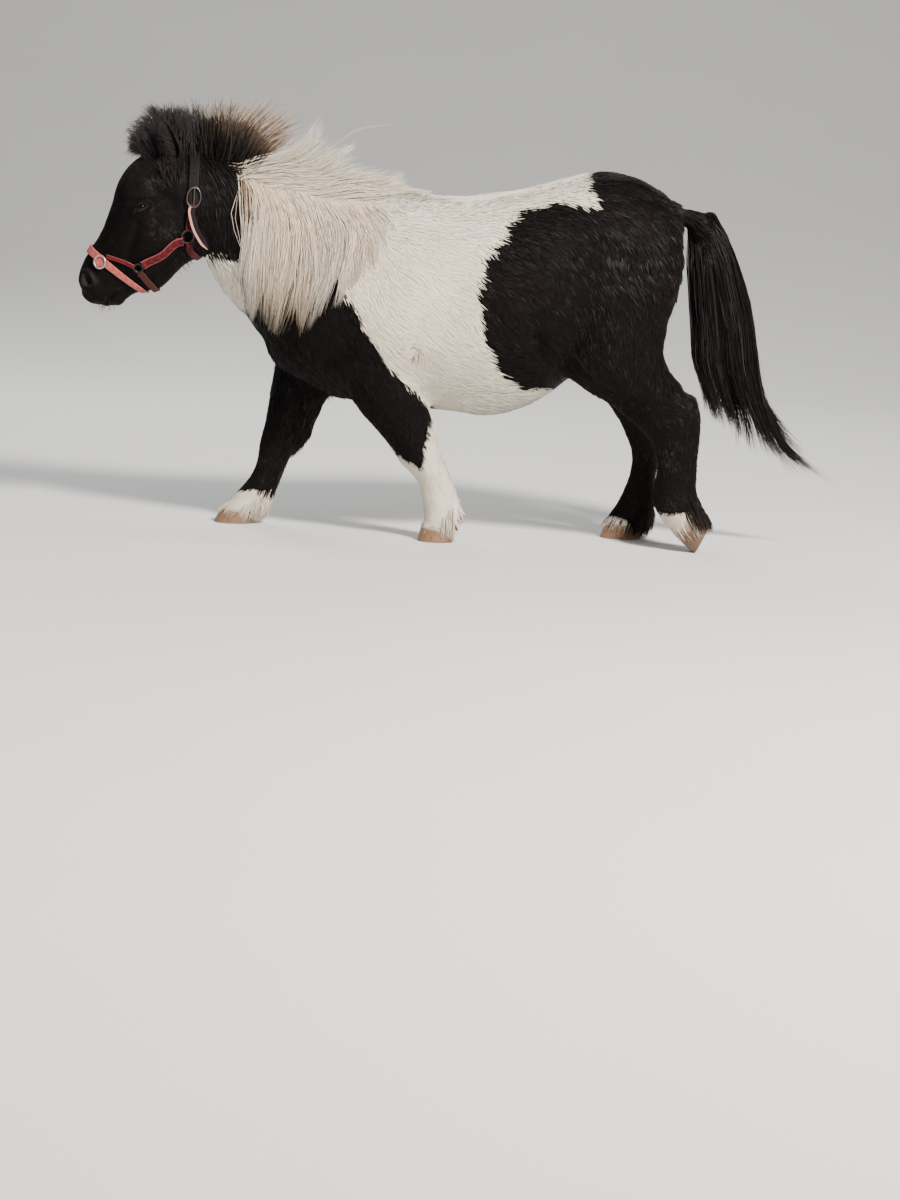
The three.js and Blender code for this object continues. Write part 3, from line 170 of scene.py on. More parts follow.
HEAD = [
    (-643, 893, -622, 650, 72, .5, 1.9, 2), (-690, 898, -629, 646, 76, .5, 1.95, 2),
    (-746, 892, -637, 641, 84, .52, 2, 2), (-797, 862, -647, 636, 91, .56, 2.1, 1.9),
    (-826, 818, -660, 628, 93, .59, 2.3, 1.9), (-841, 767, -680, 610, 86, .56, 2.3, 1.9),
    (-857, 720, -703, 584, 72, .52, 2.2, 1.9), (-873, 684, -730, 563, 60, .5, 2.1, 2),
    (-891, 655, -758, 559, 53, .5, 2.1, 2.1), (-905, 628, -784, 552, 50, .5, 2.2, 2.2),
    (-915, 600, -806, 532, 51, .52, 2.3, 2.2), (-917, 576, -836, 521, 47, .55, 2.3, 2.2),
    (-908, 557, -862, 525, 36, .55, 2.2, 2.2),
]
# Legs: front edge, rear edge, half-width and distance from the middle plane
LEGS = {
    "fore_left": [
        (-300, 450, -95, 450, 56, 110), (-285, 395, -80, 400, 58, 110), (-262, 345, -70, 345, 56, 108),
        (-232, 303, -60, 300, 52, 104), (-195, 264, -46, 262, 47, 99), (-160, 222, -34, 224, 43, 95),
        (-136, 188, -21, 190, 40, 92), (-112, 165, -13, 168, 37, 92), (-90, 138, -4, 142, 32, 92),
        (-79, 108, 9, 111, 32, 92), (-74, 80, 18, 82, 36, 92), (-72, 58, 16, 54, 37, 92),
        (-76, 36, 4, 27, 37, 92),
    ],
    "fore_right": [
        (-440, 480, -240, 450, 56, 110), (-446, 430, -262, 396, 58, 110), (-453, 385, -290, 350, 56, 108),
        (-459, 340, -318, 308, 52, 103), (-464, 296, -338, 272, 47, 98), (-470, 255, -352, 236, 43, 95),
        (-478, 215, -371, 204, 41, 92), (-483, 182, -397, 178, 38, 92), (-488, 148, -414, 146, 33, 92),
        (-503, 112, -428, 112, 33, 92), (-525, 84, -439, 80, 36, 92), (-548, 58, -452, 50, 38, 92),
        (-567, 36, -478, 26, 38, 92),
    ],
    "hind_left": [
        (370, 765, 496, 775, 50, 104), (320, 700, 517, 705, 74, 106), (270, 610, 511, 618, 88, 110),
        (236, 510, 489, 540, 88, 112), (228, 428, 482, 476, 77, 110), (285, 383, 500, 430, 62, 107),
        (350, 347, 533, 395, 52, 104), (410, 303, 563, 370, 45, 102), (452, 264, 575, 330, 41, 100),
        (470, 230, 576, 280, 37, 100), (475, 195, 575, 235, 33, 100), (471, 162, 575, 190, 31, 100),
        (466, 130, 576, 150, 33, 100), (478, 98, 585, 118, 37, 100), (499, 68, 594, 100, 37, 100),
        (522, 44, 598, 88, 36, 100),
    ],
    "hind_right": [
        (370, 765, 496, 775, 50, 104), (320, 700, 517, 705, 74, 106), (266, 610, 505, 618, 88, 110),
        (240, 510, 474, 540, 88, 112), (250, 428, 458, 476, 77, 110), (300, 386, 468, 430, 62, 107),
        (346, 346, 488, 392, 52, 104), (382, 300, 508, 356, 45, 102), (405, 260, 513, 312, 41, 100),
        (420, 228, 511, 264, 37, 100), (427, 198, 503, 222, 33, 100), (426, 168, 496, 184, 31, 100),
        (420, 141, 491, 150, 33, 100), (409, 110, 491, 116, 35, 100), (394, 79, 492, 84, 37, 100),
        (379, 55, 484, 51, 38, 100), (372, 36, 466, 26, 38, 100),
    ],
}
TAIL = [
    (520, 818, 505, 770, 24), (560, 813, 520, 745, 36), (603, 779, 527, 700, 48),
    (648, 715, 536, 640, 56), (680, 635, 545, 570, 60), (702, 550, 552, 500, 61),
    (722, 470, 560, 436, 59), (737, 385, 579, 366, 52), (755, 310, 626, 298, 40),
    (815, 240, 692, 212, 26), (870, 196, 785, 163, 15), (938, 152, 925, 142, 6),
]
# Swellings of the flesh: place, reach and height, alike on both sides
TRUNK_MUSCLES = [
    (-330, 160, 560, 90, 120, 120, 12), (-150, 190, 640, 70, 150, 110, 6),
    (-40, 215, 600, 50, 160, 150, -7), (250, 200, 640, 60, 120, 110, -9),
    (380, 150, 760, 80, 120, 90, 10),
]
HEAD_MUSCLES = [
    (-690, 82, 680, 48, 60, 52, 9), (-800, 70, 800, 26, 40, 26, 5), (-790, 80, 700, 34, 30, 22, -5),
    (-806, 70, 640, 60, 40, 30, -4), (-892, 42, 585, 18, 22, 20, 5), (-700, 80, 775, 22, 40, 30, -6),
]


def full_rows(rows, side=0):
    """Stations of one length: nine numbers each, with the side's distance last."""
    out = []
    for row in rows:
        if len(row) == 6:
            out.append((*row[:5], .5, 2, 2, side * row[5]))
        elif len(row) == 5:
            out.append((*row, .5, 2, 2, 0))
        else:
            out.append((*row, 0))
    return np.array(out, float)


def station_at(rows, at):
    """Smooth cross-section between the given ones; at may be an array."""
    at = np.atleast_1d(np.asarray(at, float))
    index = np.clip(np.floor(at).astype(int), 0, len(rows) - 2)
    t = (at - index)[:, None]
    padded = np.vstack([2 * rows[0] - rows[1], rows, 2 * rows[-1] - rows[-2]])
    before, start, end, after = (padded[index + k] for k in range(4))
    slope_start = (end - before) / 2
    slope_end = (after - start) / 2
    return ((2 * t**3 - 3 * t**2 + 1) * start + (t**3 - 2 * t**2 + t) * slope_start
            + (3 * t**2 - 2 * t**3) * end + (t**3 - t**2) * slope_end)


def swell(points, muscles):
    height = np.zeros(len(points))
    for x, y, z, reach_x, reach_y, reach_z, amount in muscles:
        dx = (points[:, 0] - x) / reach_x
        dy = (np.abs(points[:, 1]) - y) / reach_y
        dz = (points[:, 2] - z) / reach_z
        height += amount * np.exp(-(dx * dx + dy * dy + dz * dz))
    return height


def on_rows(rows, at, angle, grow=0.0, muscles=()):
    """Points on the skin: how far along the stations, and the angle round them (a quarter
    turn is the upper edge, a half turn the left side)."""
    values = station_at(rows, at)
    angle = np.broadcast_to(np.asarray(angle, float), (len(values),))
    top_x, top_z, low_x, low_z, half, widest, upper, lower, side = values.T
    height = np.hypot(top_x - low_x, top_z - low_z)
    rise_x, rise_z = (top_x - low_x) / height, (top_z - low_z) / height
    above = np.sin(angle) > 0
    exponent = np.where(above, upper, lower)
    reach = np.where(above, height * (1 - widest), height * widest)
    across = np.sign(np.cos(angle)) * np.abs(np.cos(angle)) ** (2 / exponent) * half
    along = np.sign(np.sin(angle)) * np.abs(np.sin(angle)) ** (2 / exponent) * reach
    centre = np.stack([low_x + rise_x * height * widest, side, low_z + rise_z * height * widest], 1)
    arm = np.stack([rise_x * along, across, rise_z * along], 1)
    points = centre + arm
    arm /= np.linalg.norm(arm, axis=1, keepdims=True)
    out = -grow(points) if callable(grow) else grow
    return points + arm * (out + swell(points, muscles))[:, None]


def ring_faces(rings, around, closed=False):
    """Quads between neighbouring rings of points; closed joins the last ring to the first."""
    row, k = np.indices((rings if closed else rings - 1, around)).reshape(2, -1)
    n, s = (k + 1) % around, (row + 1) % rings
    return np.stack([row * around + k, row * around + n, s * around + n, s * around + k], 1)


def loft(rows, around, between, grow=0.0, muscles=(), round_first=0, round_last=0):
    """Closed surface through the stations: points and triangles."""
    steps = (len(rows) - 1) * between + 1
    at = np.arange(steps) / between
    angles = np.arange(around) * 2 * math.pi / around
    rings = [on_rows(rows, np.full(around, s), angles, grow, muscles) for s in at]
    for first, length in ((True, round_first), (False, round_last)):
        if not length:
            continue
        ring, beyond = (rings[0], rings[1]) if first else (rings[-1], rings[-2])
        centre = ring.mean(0)
        way = centre - beyond.mean(0)
        way /= np.linalg.norm(way)
        caps = []
        for turn in np.linspace(0, math.pi / 2, 6)[1:-1]:
            caps.append(centre + (ring - centre) * math.cos(turn) + way * math.sin(turn) * length)
        rings = caps[::-1] + rings if first else rings + caps
    points = np.concatenate(rings + [rings[0].mean(0)[None], rings[-1].mean(0)[None]])
    count = len(rings)
    triangles = []
    k = np.arange(around)
    n = (k + 1) % around
    for row in range(count - 1):
        a, b = row * around + k, row * around + n
        triangles += [np.stack([a, b, b + around], 1), np.stack([a, b + around, a + around], 1)]
    last = (count - 1) * around
    triangles.append(np.stack([np.full(around, count * around), n, k], 1))
    triangles.append(np.stack([np.full(around, count * around + 1), last + k, last + n], 1))
    triangles = np.concatenate(triangles)
    p = points[triangles]
    if np.einsum("ij,ij->i", p[:, 0], np.cross(p[:, 1], p[:, 2])).sum() < 0:
        triangles = triangles[:, ::-1]
    return points, triangles


HEAD_ROWS = full_rows(HEAD)
DOCK_SHARES = [.62, .62, .56, .5, .4, .25]
DOCK_ROWS = full_rows([
    (
        top_x + (low_x - top_x) * (1 - share) / 2, top_z + (low_z - top_z) * (1 - share) / 2,
        low_x + (top_x - low_x) * (1 - share) / 2, low_z + (top_z - low_z) * (1 - share) / 2, half * share,
    )
    for share, (top_x, top_z, low_x, low_z, half) in zip(DOCK_SHARES, TAIL)
])


def lattice_noise(points, scale, seed=0):
    """Even random field between -1 and 1 that changes over about one scale."""
    place = np.asarray(points, float) / scale + seed * 17.31
    cell = np.floor(place).astype(np.int64)
    part = place - cell
    part = part * part * (3 - 2 * part)
    total = np.zeros(len(place))
    for corner in range(8):
        offset = np.array([(corner >> axis) & 1 for axis in range(3)])
        c = cell + offset
        mixed = (c[:, 0] * 73856093) ^ (c[:, 1] * 19349663) ^ (c[:, 2] * 83492791)
        mixed = ((mixed ^ (mixed >> 13)) * 1274126177) & 0x7FFFFFFF
        value = (mixed % 10007) / 5003.5 - 1
        total += value * np.prod(np.where(offset == 1, part, 1 - part), axis=1)
    return total


def ramp(value, low, high):
    """0 below low, 1 above high, smooth between."""
    t = np.clip((value - low) / (high - low), 0, 1)
    return t * t * (3 - 2 * t)


def unit(vectors):
    return vectors / np.maximum(np.linalg.norm(vectors, axis=-1, keepdims=True), 1e-9)


def along_surface(vectors, normals):
    return unit(vectors - normals * np.sum(vectors * normals, axis=-1, keepdims=True))


def one_sided(points):
    """Places with those of the far side folded over onto the near one."""
    out = points.copy()
    out[:, 1] = np.abs(out[:, 1])
    return out


def from_segment(points, start, end):
    """The way to each point from its nearest place on a segment."""
    way = end - start
    t = np.clip((points - start) @ way / max(way @ way, 1e-9), 0, 1)
    return points - start - t[:, None] * way


def edge_distance(points, outline):
    """Signed distance from an outline in side view, positive inside it."""
    outline = np.asarray(outline, float)
    best = np.full(len(points), 1e9)
    inside = np.zeros(len(points), bool)
    for start, end in zip(outline, np.roll(outline, -1, axis=0)):
        way = end - start
        best = np.minimum(best, np.linalg.norm(from_segment(points, start, end), axis=1))
        crosses = (start[1] > points[:, 1]) != (end[1] > points[:, 1])
        slope = way[1] if abs(way[1]) > 1e-9 else 1e-9
        at = start[0] + (points[:, 1] - start[1]) * way[0] / slope
        inside ^= crosses & (points[:, 0] < at)
    return np.where(inside, best, -best)


def store_numbers(mesh, numbers):
    for title, values in numbers.items():
        layer = mesh.attributes.new(title, "FLOAT", "POINT")
        layer.data.foreach_set("value", np.asarray(values, np.float32))


def new_mesh(name, points, faces, numbers=None, uv=None):
    """Object from points in table millimetres and triangles or quads, with its point numbers
    as attributes and one UV pair for each corner."""
    mesh = bpy.data.meshes.new(name)
    points = (np.asarray(points, float) + SHIFT) * MM
    faces = np.asarray(faces, np.int32)
    mesh.vertices.add(len(points))
    mesh.vertices.foreach_set("co", points.astype(np.float32).ravel())
    mesh.loops.add(faces.size)
    mesh.loops.foreach_set("vertex_index", faces.ravel())
    mesh.polygons.add(len(faces))
    mesh.polygons.foreach_set("loop_start", np.arange(len(faces), dtype=np.int32) * faces.shape[1])
    mesh.polygons.foreach_set("use_smooth", np.ones(len(faces), bool))
    store_numbers(mesh, numbers or {})
    if uv is not None:
        layer = mesh.uv_layers.new(name="OFBake")
        layer.data.foreach_set("uv", np.asarray(uv, np.float32).ravel())
    mesh.update(calc_edges=True)
    piece = bpy.data.objects.new(name, mesh)
    bpy.context.collection.objects.link(piece)
    return piece


def finish_piece(piece, finish, replaced=()):
    """Gives a piece its finish, lets it ride on the body and hides the nodes it stands for."""
    piece.data.materials.clear()
    piece.data.materials.append(finish)
    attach(piece, ROOT)
    if replaced:
        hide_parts(*replaced)


def mesh_points(piece):
    """Points of a piece in table millimetres."""
    co = np.empty(len(piece.data.vertices) * 3, np.float32)
    piece.data.vertices.foreach_get("co", co)
    return co.reshape(-1, 3).astype(float) / MM - SHIFT


def set_points(piece, points):
    co = ((points + SHIFT) * MM).astype(np.float32)
    piece.data.vertices.foreach_set("co", co.ravel())
    piece.data.update()


def mesh_normals(piece):
    out = np.empty(len(piece.data.vertices) * 3, np.float32)
    piece.data.vertices.foreach_get("normal", out)
    return out.reshape(-1, 3).astype(float)


def mesh_edges(piece):
    out = np.empty(len(piece.data.edges) * 2, np.int32)
    piece.data.edges.foreach_get("vertices", out)
    return out.reshape(-1, 2)


def relax(points, edges, weight, rounds):
    """Moves each point towards its neighbours' middle, by its weight."""
    count = np.bincount(edges.ravel(), minlength=len(points))[:, None]
    for _ in range(rounds):
        total = np.zeros_like(points)
        for axis in range(3):
            total[:, axis] = np.bincount(edges[:, 0], points[edges[:, 1], axis], len(points))
            total[:, axis] += np.bincount(edges[:, 1], points[edges[:, 0], axis], len(points))
        points = points + (total / np.maximum(count, 1) - points) * weight[:, None]
    return points


# Finishes

def put(tree, kind, inputs=None, **settings):
    """Adds a node; an input is either a number or colour, or the socket that feeds it."""
    node = tree.nodes.new(kind)
    for key, value in settings.items():
        setattr(node, key, value)
    for key, value in (inputs or {}).items():
        if isinstance(value, bpy.types.NodeSocket):
            tree.links.new(value, node.inputs[key])
        else:
            node.inputs[key].default_value = value
    return node


def maths(tree, operation, first, second=0.0):
    return put(tree, "ShaderNodeMath", {0: first, 1: second}, operation=operation).outputs[0]


def times(tree, first, second):
    return maths(tree, "MULTIPLY", first, second)


def plus(tree, first, second):
    return maths(tree, "ADD", first, second)


def minus(tree, first, second):
    return maths(tree, "SUBTRACT", first, second)


def mixed(tree, share, first, second):
    return put(tree, "ShaderNodeMix", {0: share, 6: first, 7: second}, data_type="RGBA").outputs[2]


def spread(tree, value, low, high, to_low=0.0, to_high=1.0):
    """A value between two marks, spread smoothly over a new range."""
    inputs = {"Value": value, "From Min": low, "From Max": high, "To Min": to_low, "To Max": to_high}
    return put(tree, "ShaderNodeMapRange", inputs, interpolation_type="SMOOTHSTEP").outputs[0]


def number(tree, name):
    return put(tree, "ShaderNodeAttribute", attribute_name=name).outputs["Fac"]


def noise(tree, scale, detail=3.0, place=None, stretch=None):
    """Noise over the object's own coordinates, or over a given place."""
    if place is None:
        place = put(tree, "ShaderNodeTexCoord").outputs["Object"]
    if stretch:
        place = put(tree, "ShaderNodeMapping", {"Vector": place, "Scale": stretch}).outputs[0]
    inputs = {"Vector": place, "Scale": scale, "Detail": detail, "Roughness": .55}
    return put(tree, "ShaderNodeTexNoise", inputs).outputs["Fac"]


def new_group(name, inputs, outputs):
    group = bpy.data.node_groups.new(name, "ShaderNodeTree")
    for title, value in inputs.items():
        kind = "NodeSocketColor" if isinstance(value, tuple) else "NodeSocketFloat"
        group.interface.new_socket(name=title, in_out="INPUT", socket_type=kind).default_value = value
    for title, kind in outputs.items():
        group.interface.new_socket(name=title, in_out="OUTPUT", socket_type=kind)
    return group, put(group, "NodeGroupInput").outputs, put(group, "NodeGroupOutput").inputs


def place_group(tree, group, inputs):
    return put(tree, "ShaderNodeGroup", inputs, node_tree=group).outputs


BLACK_ROOT, BLACK_TIP = (.0028, .0023, .0024, 1), (.0095, .0078, .0078, 1)
WHITE_ROOT, WHITE_TIP = (.68, .57, .45, 1), (.91, .83, .70, 1)
TAN, DUSTY = (.29, .185, .12, 1), (.30, .25, .20, 1)


def make_hair_colour():
    """Colour of hair from how white it is, how far out along it, its tone (its own, with painted shade and
    sheen) and its tan.
    """
    group, given, out = new_group(
        "hair_colour",
        {"Whiteness": .5, "Tip": .5, "Tone": .5, "Tan": 0.0, "Dark root": BLACK_ROOT, "Dark tip": BLACK_TIP},
        {"Colour": "NodeSocketColor", "Height": "NodeSocketFloat"},
    )
    place = put(group, "ShaderNodeTexCoord").outputs["Object"]
    patches = noise(group, 5.5, 4.0, place)
    fine = noise(group, 420.0, 3.0, place, (1, 1, .5))
    reach = plus(group, given["Tip"], times(group, minus(group, fine, .5), .6))
    dark = mixed(group, spread(group, reach, -.1, 1.0), given["Dark root"], given["Dark tip"])
    # A high tone lightens black hair to grey: its own tone, and painted sheen where the tone is raised
    dark = mixed(group, spread(group, given["Tone"], .45, 1.15, 0, .9), dark, (.072, .064, .069, 1))
    dark = mixed(group, spread(group, patches, .5, .75, 0, .4), dark, (.014, .0085, .0065, 1))
    dark = mixed(group, given["Tan"], dark, TAN)
    pale = mixed(group, spread(group, reach, -.2, .7), WHITE_ROOT, WHITE_TIP)
    # A high tone greys white hair: its own tone, and painted shade on the under layers of the mane
    pale = mixed(group, spread(group, given["Tone"], .4, 1.1, 0, .75), pale, (.36, .32, .33, 1))
    pale = mixed(group, spread(group, patches, .45, .7, 0, .6), pale, (.80, .66, .53, 1))
    pale = mixed(group, times(group, given["Tan"], .8), pale, (.66, .45, .25, 1))
    both = mixed(group, spread(group, given["Whiteness"], .42, .58), dark, pale)
    group.links.new(both, out["Colour"])
    group.links.new(plus(group, fine, given["Tone"]), out["Height"])
    return group


def make_wear():
    """Mask and height of small scuffs and dust."""
    group, given, out = new_group(
        "wear", {"Scale": 60.0, "Amount": .5}, {"Mask": "NodeSocketFloat", "Height": "NodeSocketFloat"}
    )
    broad = noise(group, 9.0, 4.0)
    small = put(group, "ShaderNodeTexNoise", {"Scale": given["Scale"], "Detail": 5.0}).outputs["Fac"]
    scuffs = spread(group, times(group, small, plus(group, broad, .5)), .45, .75)
    group.links.new(times(group, scuffs, given["Amount"]), out["Mask"])
    group.links.new(small, out["Height"])
    return group


def make_weave():
    """Diagonal weave of a strap from its width and length: mask between threads and height."""
    group, given, out = new_group(
        "weave", {"Across": 0.0, "Length": 0.0, "Threads": 900.0},
        {"Height": "NodeSocketFloat", "Chevrons": "NodeSocketFloat"},
    )
    way = times(group, given["Length"], given["Threads"])
    side = times(group, given["Across"], 13.0)
    first = maths(group, "SINE", plus(group, way, side))
    second = maths(group, "SINE", minus(group, way, side))
    group.links.new(maths(group, "MAXIMUM", first, second), out["Height"])
    slope = times(group, maths(group, "ABSOLUTE", given["Across"]), 5.0)
    chevron = maths(group, "SINE", plus(group, times(group, given["Length"], 340.0), slope))
    group.links.new(chevron, out["Chevrons"])
    return group


HAIR_COLOUR, WEAR, WEAVE = make_hair_colour(), make_wear(), make_weave()


def new_finish(name, **constants):
    material = bpy.data.materials.new(name)
    material.use_nodes = True
    shader = material.node_tree.nodes["Principled BSDF"]
    for key, value in constants.items():
        shader.inputs[key.replace("_", " ")].default_value = value
    return material, material.node_tree, shader.inputs


def bump(tree, height, strength, distance):
    inputs = {"Height": height, "Strength": strength, "Distance": distance}
    return put(tree, "ShaderNodeBump", inputs).outputs[0]


def hair_finish(name, streaked=False, roughness=.42, gloss=.13, **colours):
    """Finish of the coat and of the long hair, from the numbers stored at the points."""
    material, tree, shader = new_finish(
        name, Sheen_Weight=.03, Sheen_Roughness=.4, Specular_IOR_Level=gloss
    )
    shader["Sheen Tint"].default_value = (.9, .88, .86, 1)
    given = {title.capitalize(): number(tree, title) for title in ("whiteness", "tip", "tone", "tan")}
    if streaked:
        # Each modelled strand of the long hair shows several fine hairs side by side
        place = put(tree, "ShaderNodeUVMap", uv_map="OFBake").outputs[0]
        hairs = spread(tree, noise(tree, 1.0, 2.0, place, (620, 34, 1)), .3, .7, -.3, .3)
        given["Tone"] = plus(tree, given["Tone"], hairs)
        given["Tip"] = minus(tree, given["Tip"], hairs)
    given.update({key.replace("_", " "): value for key, value in colours.items()})
    hair = place_group(tree, HAIR_COLOUR, given)
    tree.links.new(hair["Colour"], shader["Base Color"])
    rough = spread(tree, hair["Height"], .3, 1.4, roughness - .1, roughness + .15)
    tree.links.new(rough, shader["Roughness"])
    height = plus(tree, hair["Height"], hairs) if streaked else hair["Height"]
    tree.links.new(bump(tree, height, .35, .0012), shader["Normal"])
    return material


def skin_finish():
    """Short lying hair under the tufts: streaks along the body's own unwrap."""
    material, tree, shader = new_finish(
        "short_coat", Sheen_Weight=.02, Sheen_Roughness=.5, Specular_IOR_Level=.06
    )
    streaks = put(tree, "ShaderNodeUVMap", uv_map="OFBake").outputs[0]
    lines = noise(tree, 1.0, 3.0, streaks, (1500, 1500, 1))
    long_lines = noise(tree, 1.0, 4.0, streaks, (700, 160, 1))
    ragged = times(tree, minus(tree, lines, .5), .3)
    white = plus(tree, number(tree, "whiteness"), ragged)
    given = {"Whiteness": white, "Tip": spread(tree, lines, .3, .7, .15, .75), "Tone": long_lines}
    given["Tan"] = number(tree, "tan")
    hair = place_group(tree, HAIR_COLOUR, given)
    bare = number(tree, "bare")
    pink_grey = mixed(tree, noise(tree, 60.0), (.030, .025, .026, 1), (.008, .0065, .007, 1))
    tree.links.new(mixed(tree, bare, hair["Colour"], pink_grey), shader["Base Color"])
    tree.links.new(spread(tree, bare, 0, 1, .72, .42), shader["Roughness"])
    pores = noise(tree, 900.0, 2.0)
    height = plus(tree, lines, times(tree, pores, bare))
    tree.links.new(bump(tree, height, .5, .0015), shader["Normal"])
    return material


def ear_inner_finish():
    """Dark brown skin of the ears, paler in the cup."""
    material, tree, shader = new_finish("ear_skin", Specular_IOR_Level=.2, Roughness=.6)
    lines = noise(tree, 260.0, 4.0, None, (1, 1, .3))
    skin = mixed(tree, lines, (.005, .0035, .0035, 1), (.018, .012, .011, 1))
    tree.links.new(mixed(tree, number(tree, "bare"), (.007, .006, .006, 1), skin), shader["Base Color"])
    tree.links.new(bump(tree, lines, .5, .001), shader["Normal"])
    return material


def eye_finish():
    """Dark brown eye: level oval pupil, streaked iris and a dark rim, under a wet clear coat."""
    material, tree, shader = new_finish(
        "eye_wet", Coat_Roughness=.05, Coat_IOR=1.38, Specular_IOR_Level=.12, IOR=1.38
    )
    aside, rise = number(tree, "aside"), number(tree, "rise")
    oval = put(tree, "ShaderNodeCombineXYZ", {"X": times(tree, aside, .62), "Y": rise}).outputs[0]
    pupil = put(tree, "ShaderNodeVectorMath", {0: oval}, operation="LENGTH").outputs["Value"]
    circle = put(tree, "ShaderNodeCombineXYZ", {"X": aside, "Y": rise}).outputs[0]
    away = put(tree, "ShaderNodeVectorMath", {0: circle}, operation="LENGTH").outputs["Value"]
    turn = maths(tree, "ARCTAN2", rise, aside)
    rays = put(tree, "ShaderNodeCombineXYZ", {"X": times(tree, turn, 9.0), "Y": away}).outputs[0]
    streaks = noise(tree, 2.6, 4.0, rays)
    iris = mixed(tree, streaks, (.003, .0018, .0015, 1), (.009, .0045, .003, 1))
    iris = mixed(tree, spread(tree, away, .5, .78), iris, (.005, .003, .0025, 1))
    iris = mixed(tree, spread(tree, pupil, .26, .2), iris, (.002, .002, .0025, 1))
    white = mixed(tree, noise(tree, 300.0), (.012, .008, .0075, 1), (.006, .0045, .0045, 1))
    tree.links.new(mixed(tree, spread(tree, away, .78, .84), iris, white), shader["Base Color"])
    tree.links.new(spread(tree, away, .7, .9, .04, .16), shader["Roughness"])
    tree.links.new(spread(tree, away, .9, .7, .05, .3), shader["Coat Weight"])
    return material


def hoof_finish(name, pale, dark):
    """Horn with growth rings round it and fine streaks down it, dusty at the ground."""
    material, tree, shader = new_finish(name, Specular_IOR_Level=.4)
    down, around, sole = number(tree, "down"), number(tree, "around"), number(tree, "sole")
    place = put(tree, "ShaderNodeCombineXYZ", {"X": times(tree, around, 60.0), "Y": down}).outputs[0]
    streaks = noise(tree, 2.2, 4.0, place)
    wobble = times(tree, noise(tree, 30.0), 7.0)
    rings = maths(tree, "SINE", plus(tree, times(tree, down, 58.0), wobble))
    horn = mixed(tree, spread(tree, streaks, .3, .7), pale, dark)
    horn = mixed(tree, spread(tree, rings, .1, 1, 0, .35), horn, dark)
    horn = mixed(tree, spread(tree, down, .16, .02, 0, .8), horn, (.42, .34, .27, 1))
    wear = place_group(tree, WEAR, {"Scale": 120.0, "Amount": .75})
    horn = mixed(tree, times(tree, wear["Mask"], spread(tree, down, .3, 1.0)), horn, DUSTY)
    bottom = mixed(tree, noise(tree, 90.0, 5.0), (.10, .085, .07, 1), (.26, .22, .17, 1))
    tree.links.new(mixed(tree, sole, horn, bottom), shader["Base Color"])
    tree.links.new(spread(tree, wear["Mask"], 0, .6, .38, .8), shader["Roughness"])
    ridge = plus(tree, times(tree, rings, .6), streaks)
    tree.links.new(bump(tree, plus(tree, ridge, wear["Height"]), .45, .0011), shader["Normal"])
    return material


def stitches(tree, side, length, place, reach, spacing, gap):
    """Mask of a row of stitches along a strap, at a share of its half-width."""
    dashes = spread(tree, maths(tree, "SINE", times(tree, length, spacing)), -.2, gap)
    from_row = maths(tree, "ABSOLUTE", minus(tree, side, place))
    return times(tree, spread(tree, from_row, reach, .02), dashes)


def webbing_finish(name, main, second, edge, stripe):
    """Woven strap: threads, chevrons of a second colour, a border, stitches and dirt."""
    material, tree, shader = new_finish(name, Sheen_Weight=.05, Specular_IOR_Level=.15)
    across, length = number(tree, "across"), number(tree, "length")
    weave = place_group(tree, WEAVE, {"Across": across, "Length": length, "Threads": 2600.0})
    side = maths(tree, "ABSOLUTE", across)
    colour = mixed(tree, spread(tree, weave["Chevrons"], .1, .35, 0, stripe), main, second)
    colour = mixed(tree, spread(tree, side, .78, .84), colour, edge)
    seam = stitches(tree, side, length, .68, .05, 1500.0, .1)
    colour = mixed(tree, times(tree, seam, .4), colour, edge)
    wear = place_group(tree, WEAR, {"Scale": 90.0, "Amount": .45})
    colour = mixed(tree, wear["Mask"], colour, mixed(tree, .5, second, (.10, .05, .04, 1)))
    # Darker where the weave sinks between the threads: painted shade in the gaps
    colour = mixed(tree, spread(tree, weave["Height"], .2, -.6, 0, .5), colour, (.05, .012, .012, 1))
    tree.links.new(colour, shader["Base Color"])
    tree.links.new(spread(tree, wear["Mask"], 0, .5, .62, .85), shader["Roughness"])
    height = plus(tree, weave["Height"], times(tree, seam, 1.6))
    tree.links.new(bump(tree, height, .6, .0006), shader["Normal"])
    return material


def leather_finish(name, pale_edge, pale_from=.86):
    """Old dark leather, creased, with a pale edge and a row of stitches."""
    material, tree, shader = new_finish(name, Specular_IOR_Level=.13)
    across, length = number(tree, "across"), number(tree, "length")
    side = maths(tree, "ABSOLUTE", across)
    cells = put(tree, "ShaderNodeTexVoronoi", {"Scale": 900.0}, feature="DISTANCE_TO_EDGE")
    cracks = noise(tree, 240.0, 4.0)
    colour = mixed(tree, cracks, (.0028, .0025, .0030, 1), (.0085, .0075, .0080, 1))
    wear = place_group(tree, WEAR, {"Scale": 70.0, "Amount": .3})
    colour = mixed(tree, wear["Mask"], colour, (.035, .027, .025, 1))
    edge = times(tree, spread(tree, across, pale_from, pale_from + .12), pale_edge)
    colour = mixed(tree, edge, colour, (.60, .27, .23, 1))
    aside = times(tree, across, .0115)
    behind = minus(tree, maths(tree, "MODULO", length, .03), .015)
    squares = plus(tree, times(tree, aside, aside), times(tree, behind, behind))
    punched = spread(tree, maths(tree, "SQRT", squares), .0028, .0022)
    colour = mixed(tree, punched, colour, (.0006, .0005, .0005, 1))
    tree.links.new(colour, shader["Base Color"])
    tree.links.new(spread(tree, cracks, .3, .7, .52, .75), shader["Roughness"])
    seam = stitches(tree, side, length, .7, .07, 1300.0, .2)
    height = plus(tree, plus(tree, cells.outputs["Distance"], cracks), times(tree, seam, -.8))
    height = minus(tree, height, times(tree, punched, 1.5))
    tree.links.new(bump(tree, height, .35, .0007), shader["Normal"])
    return material


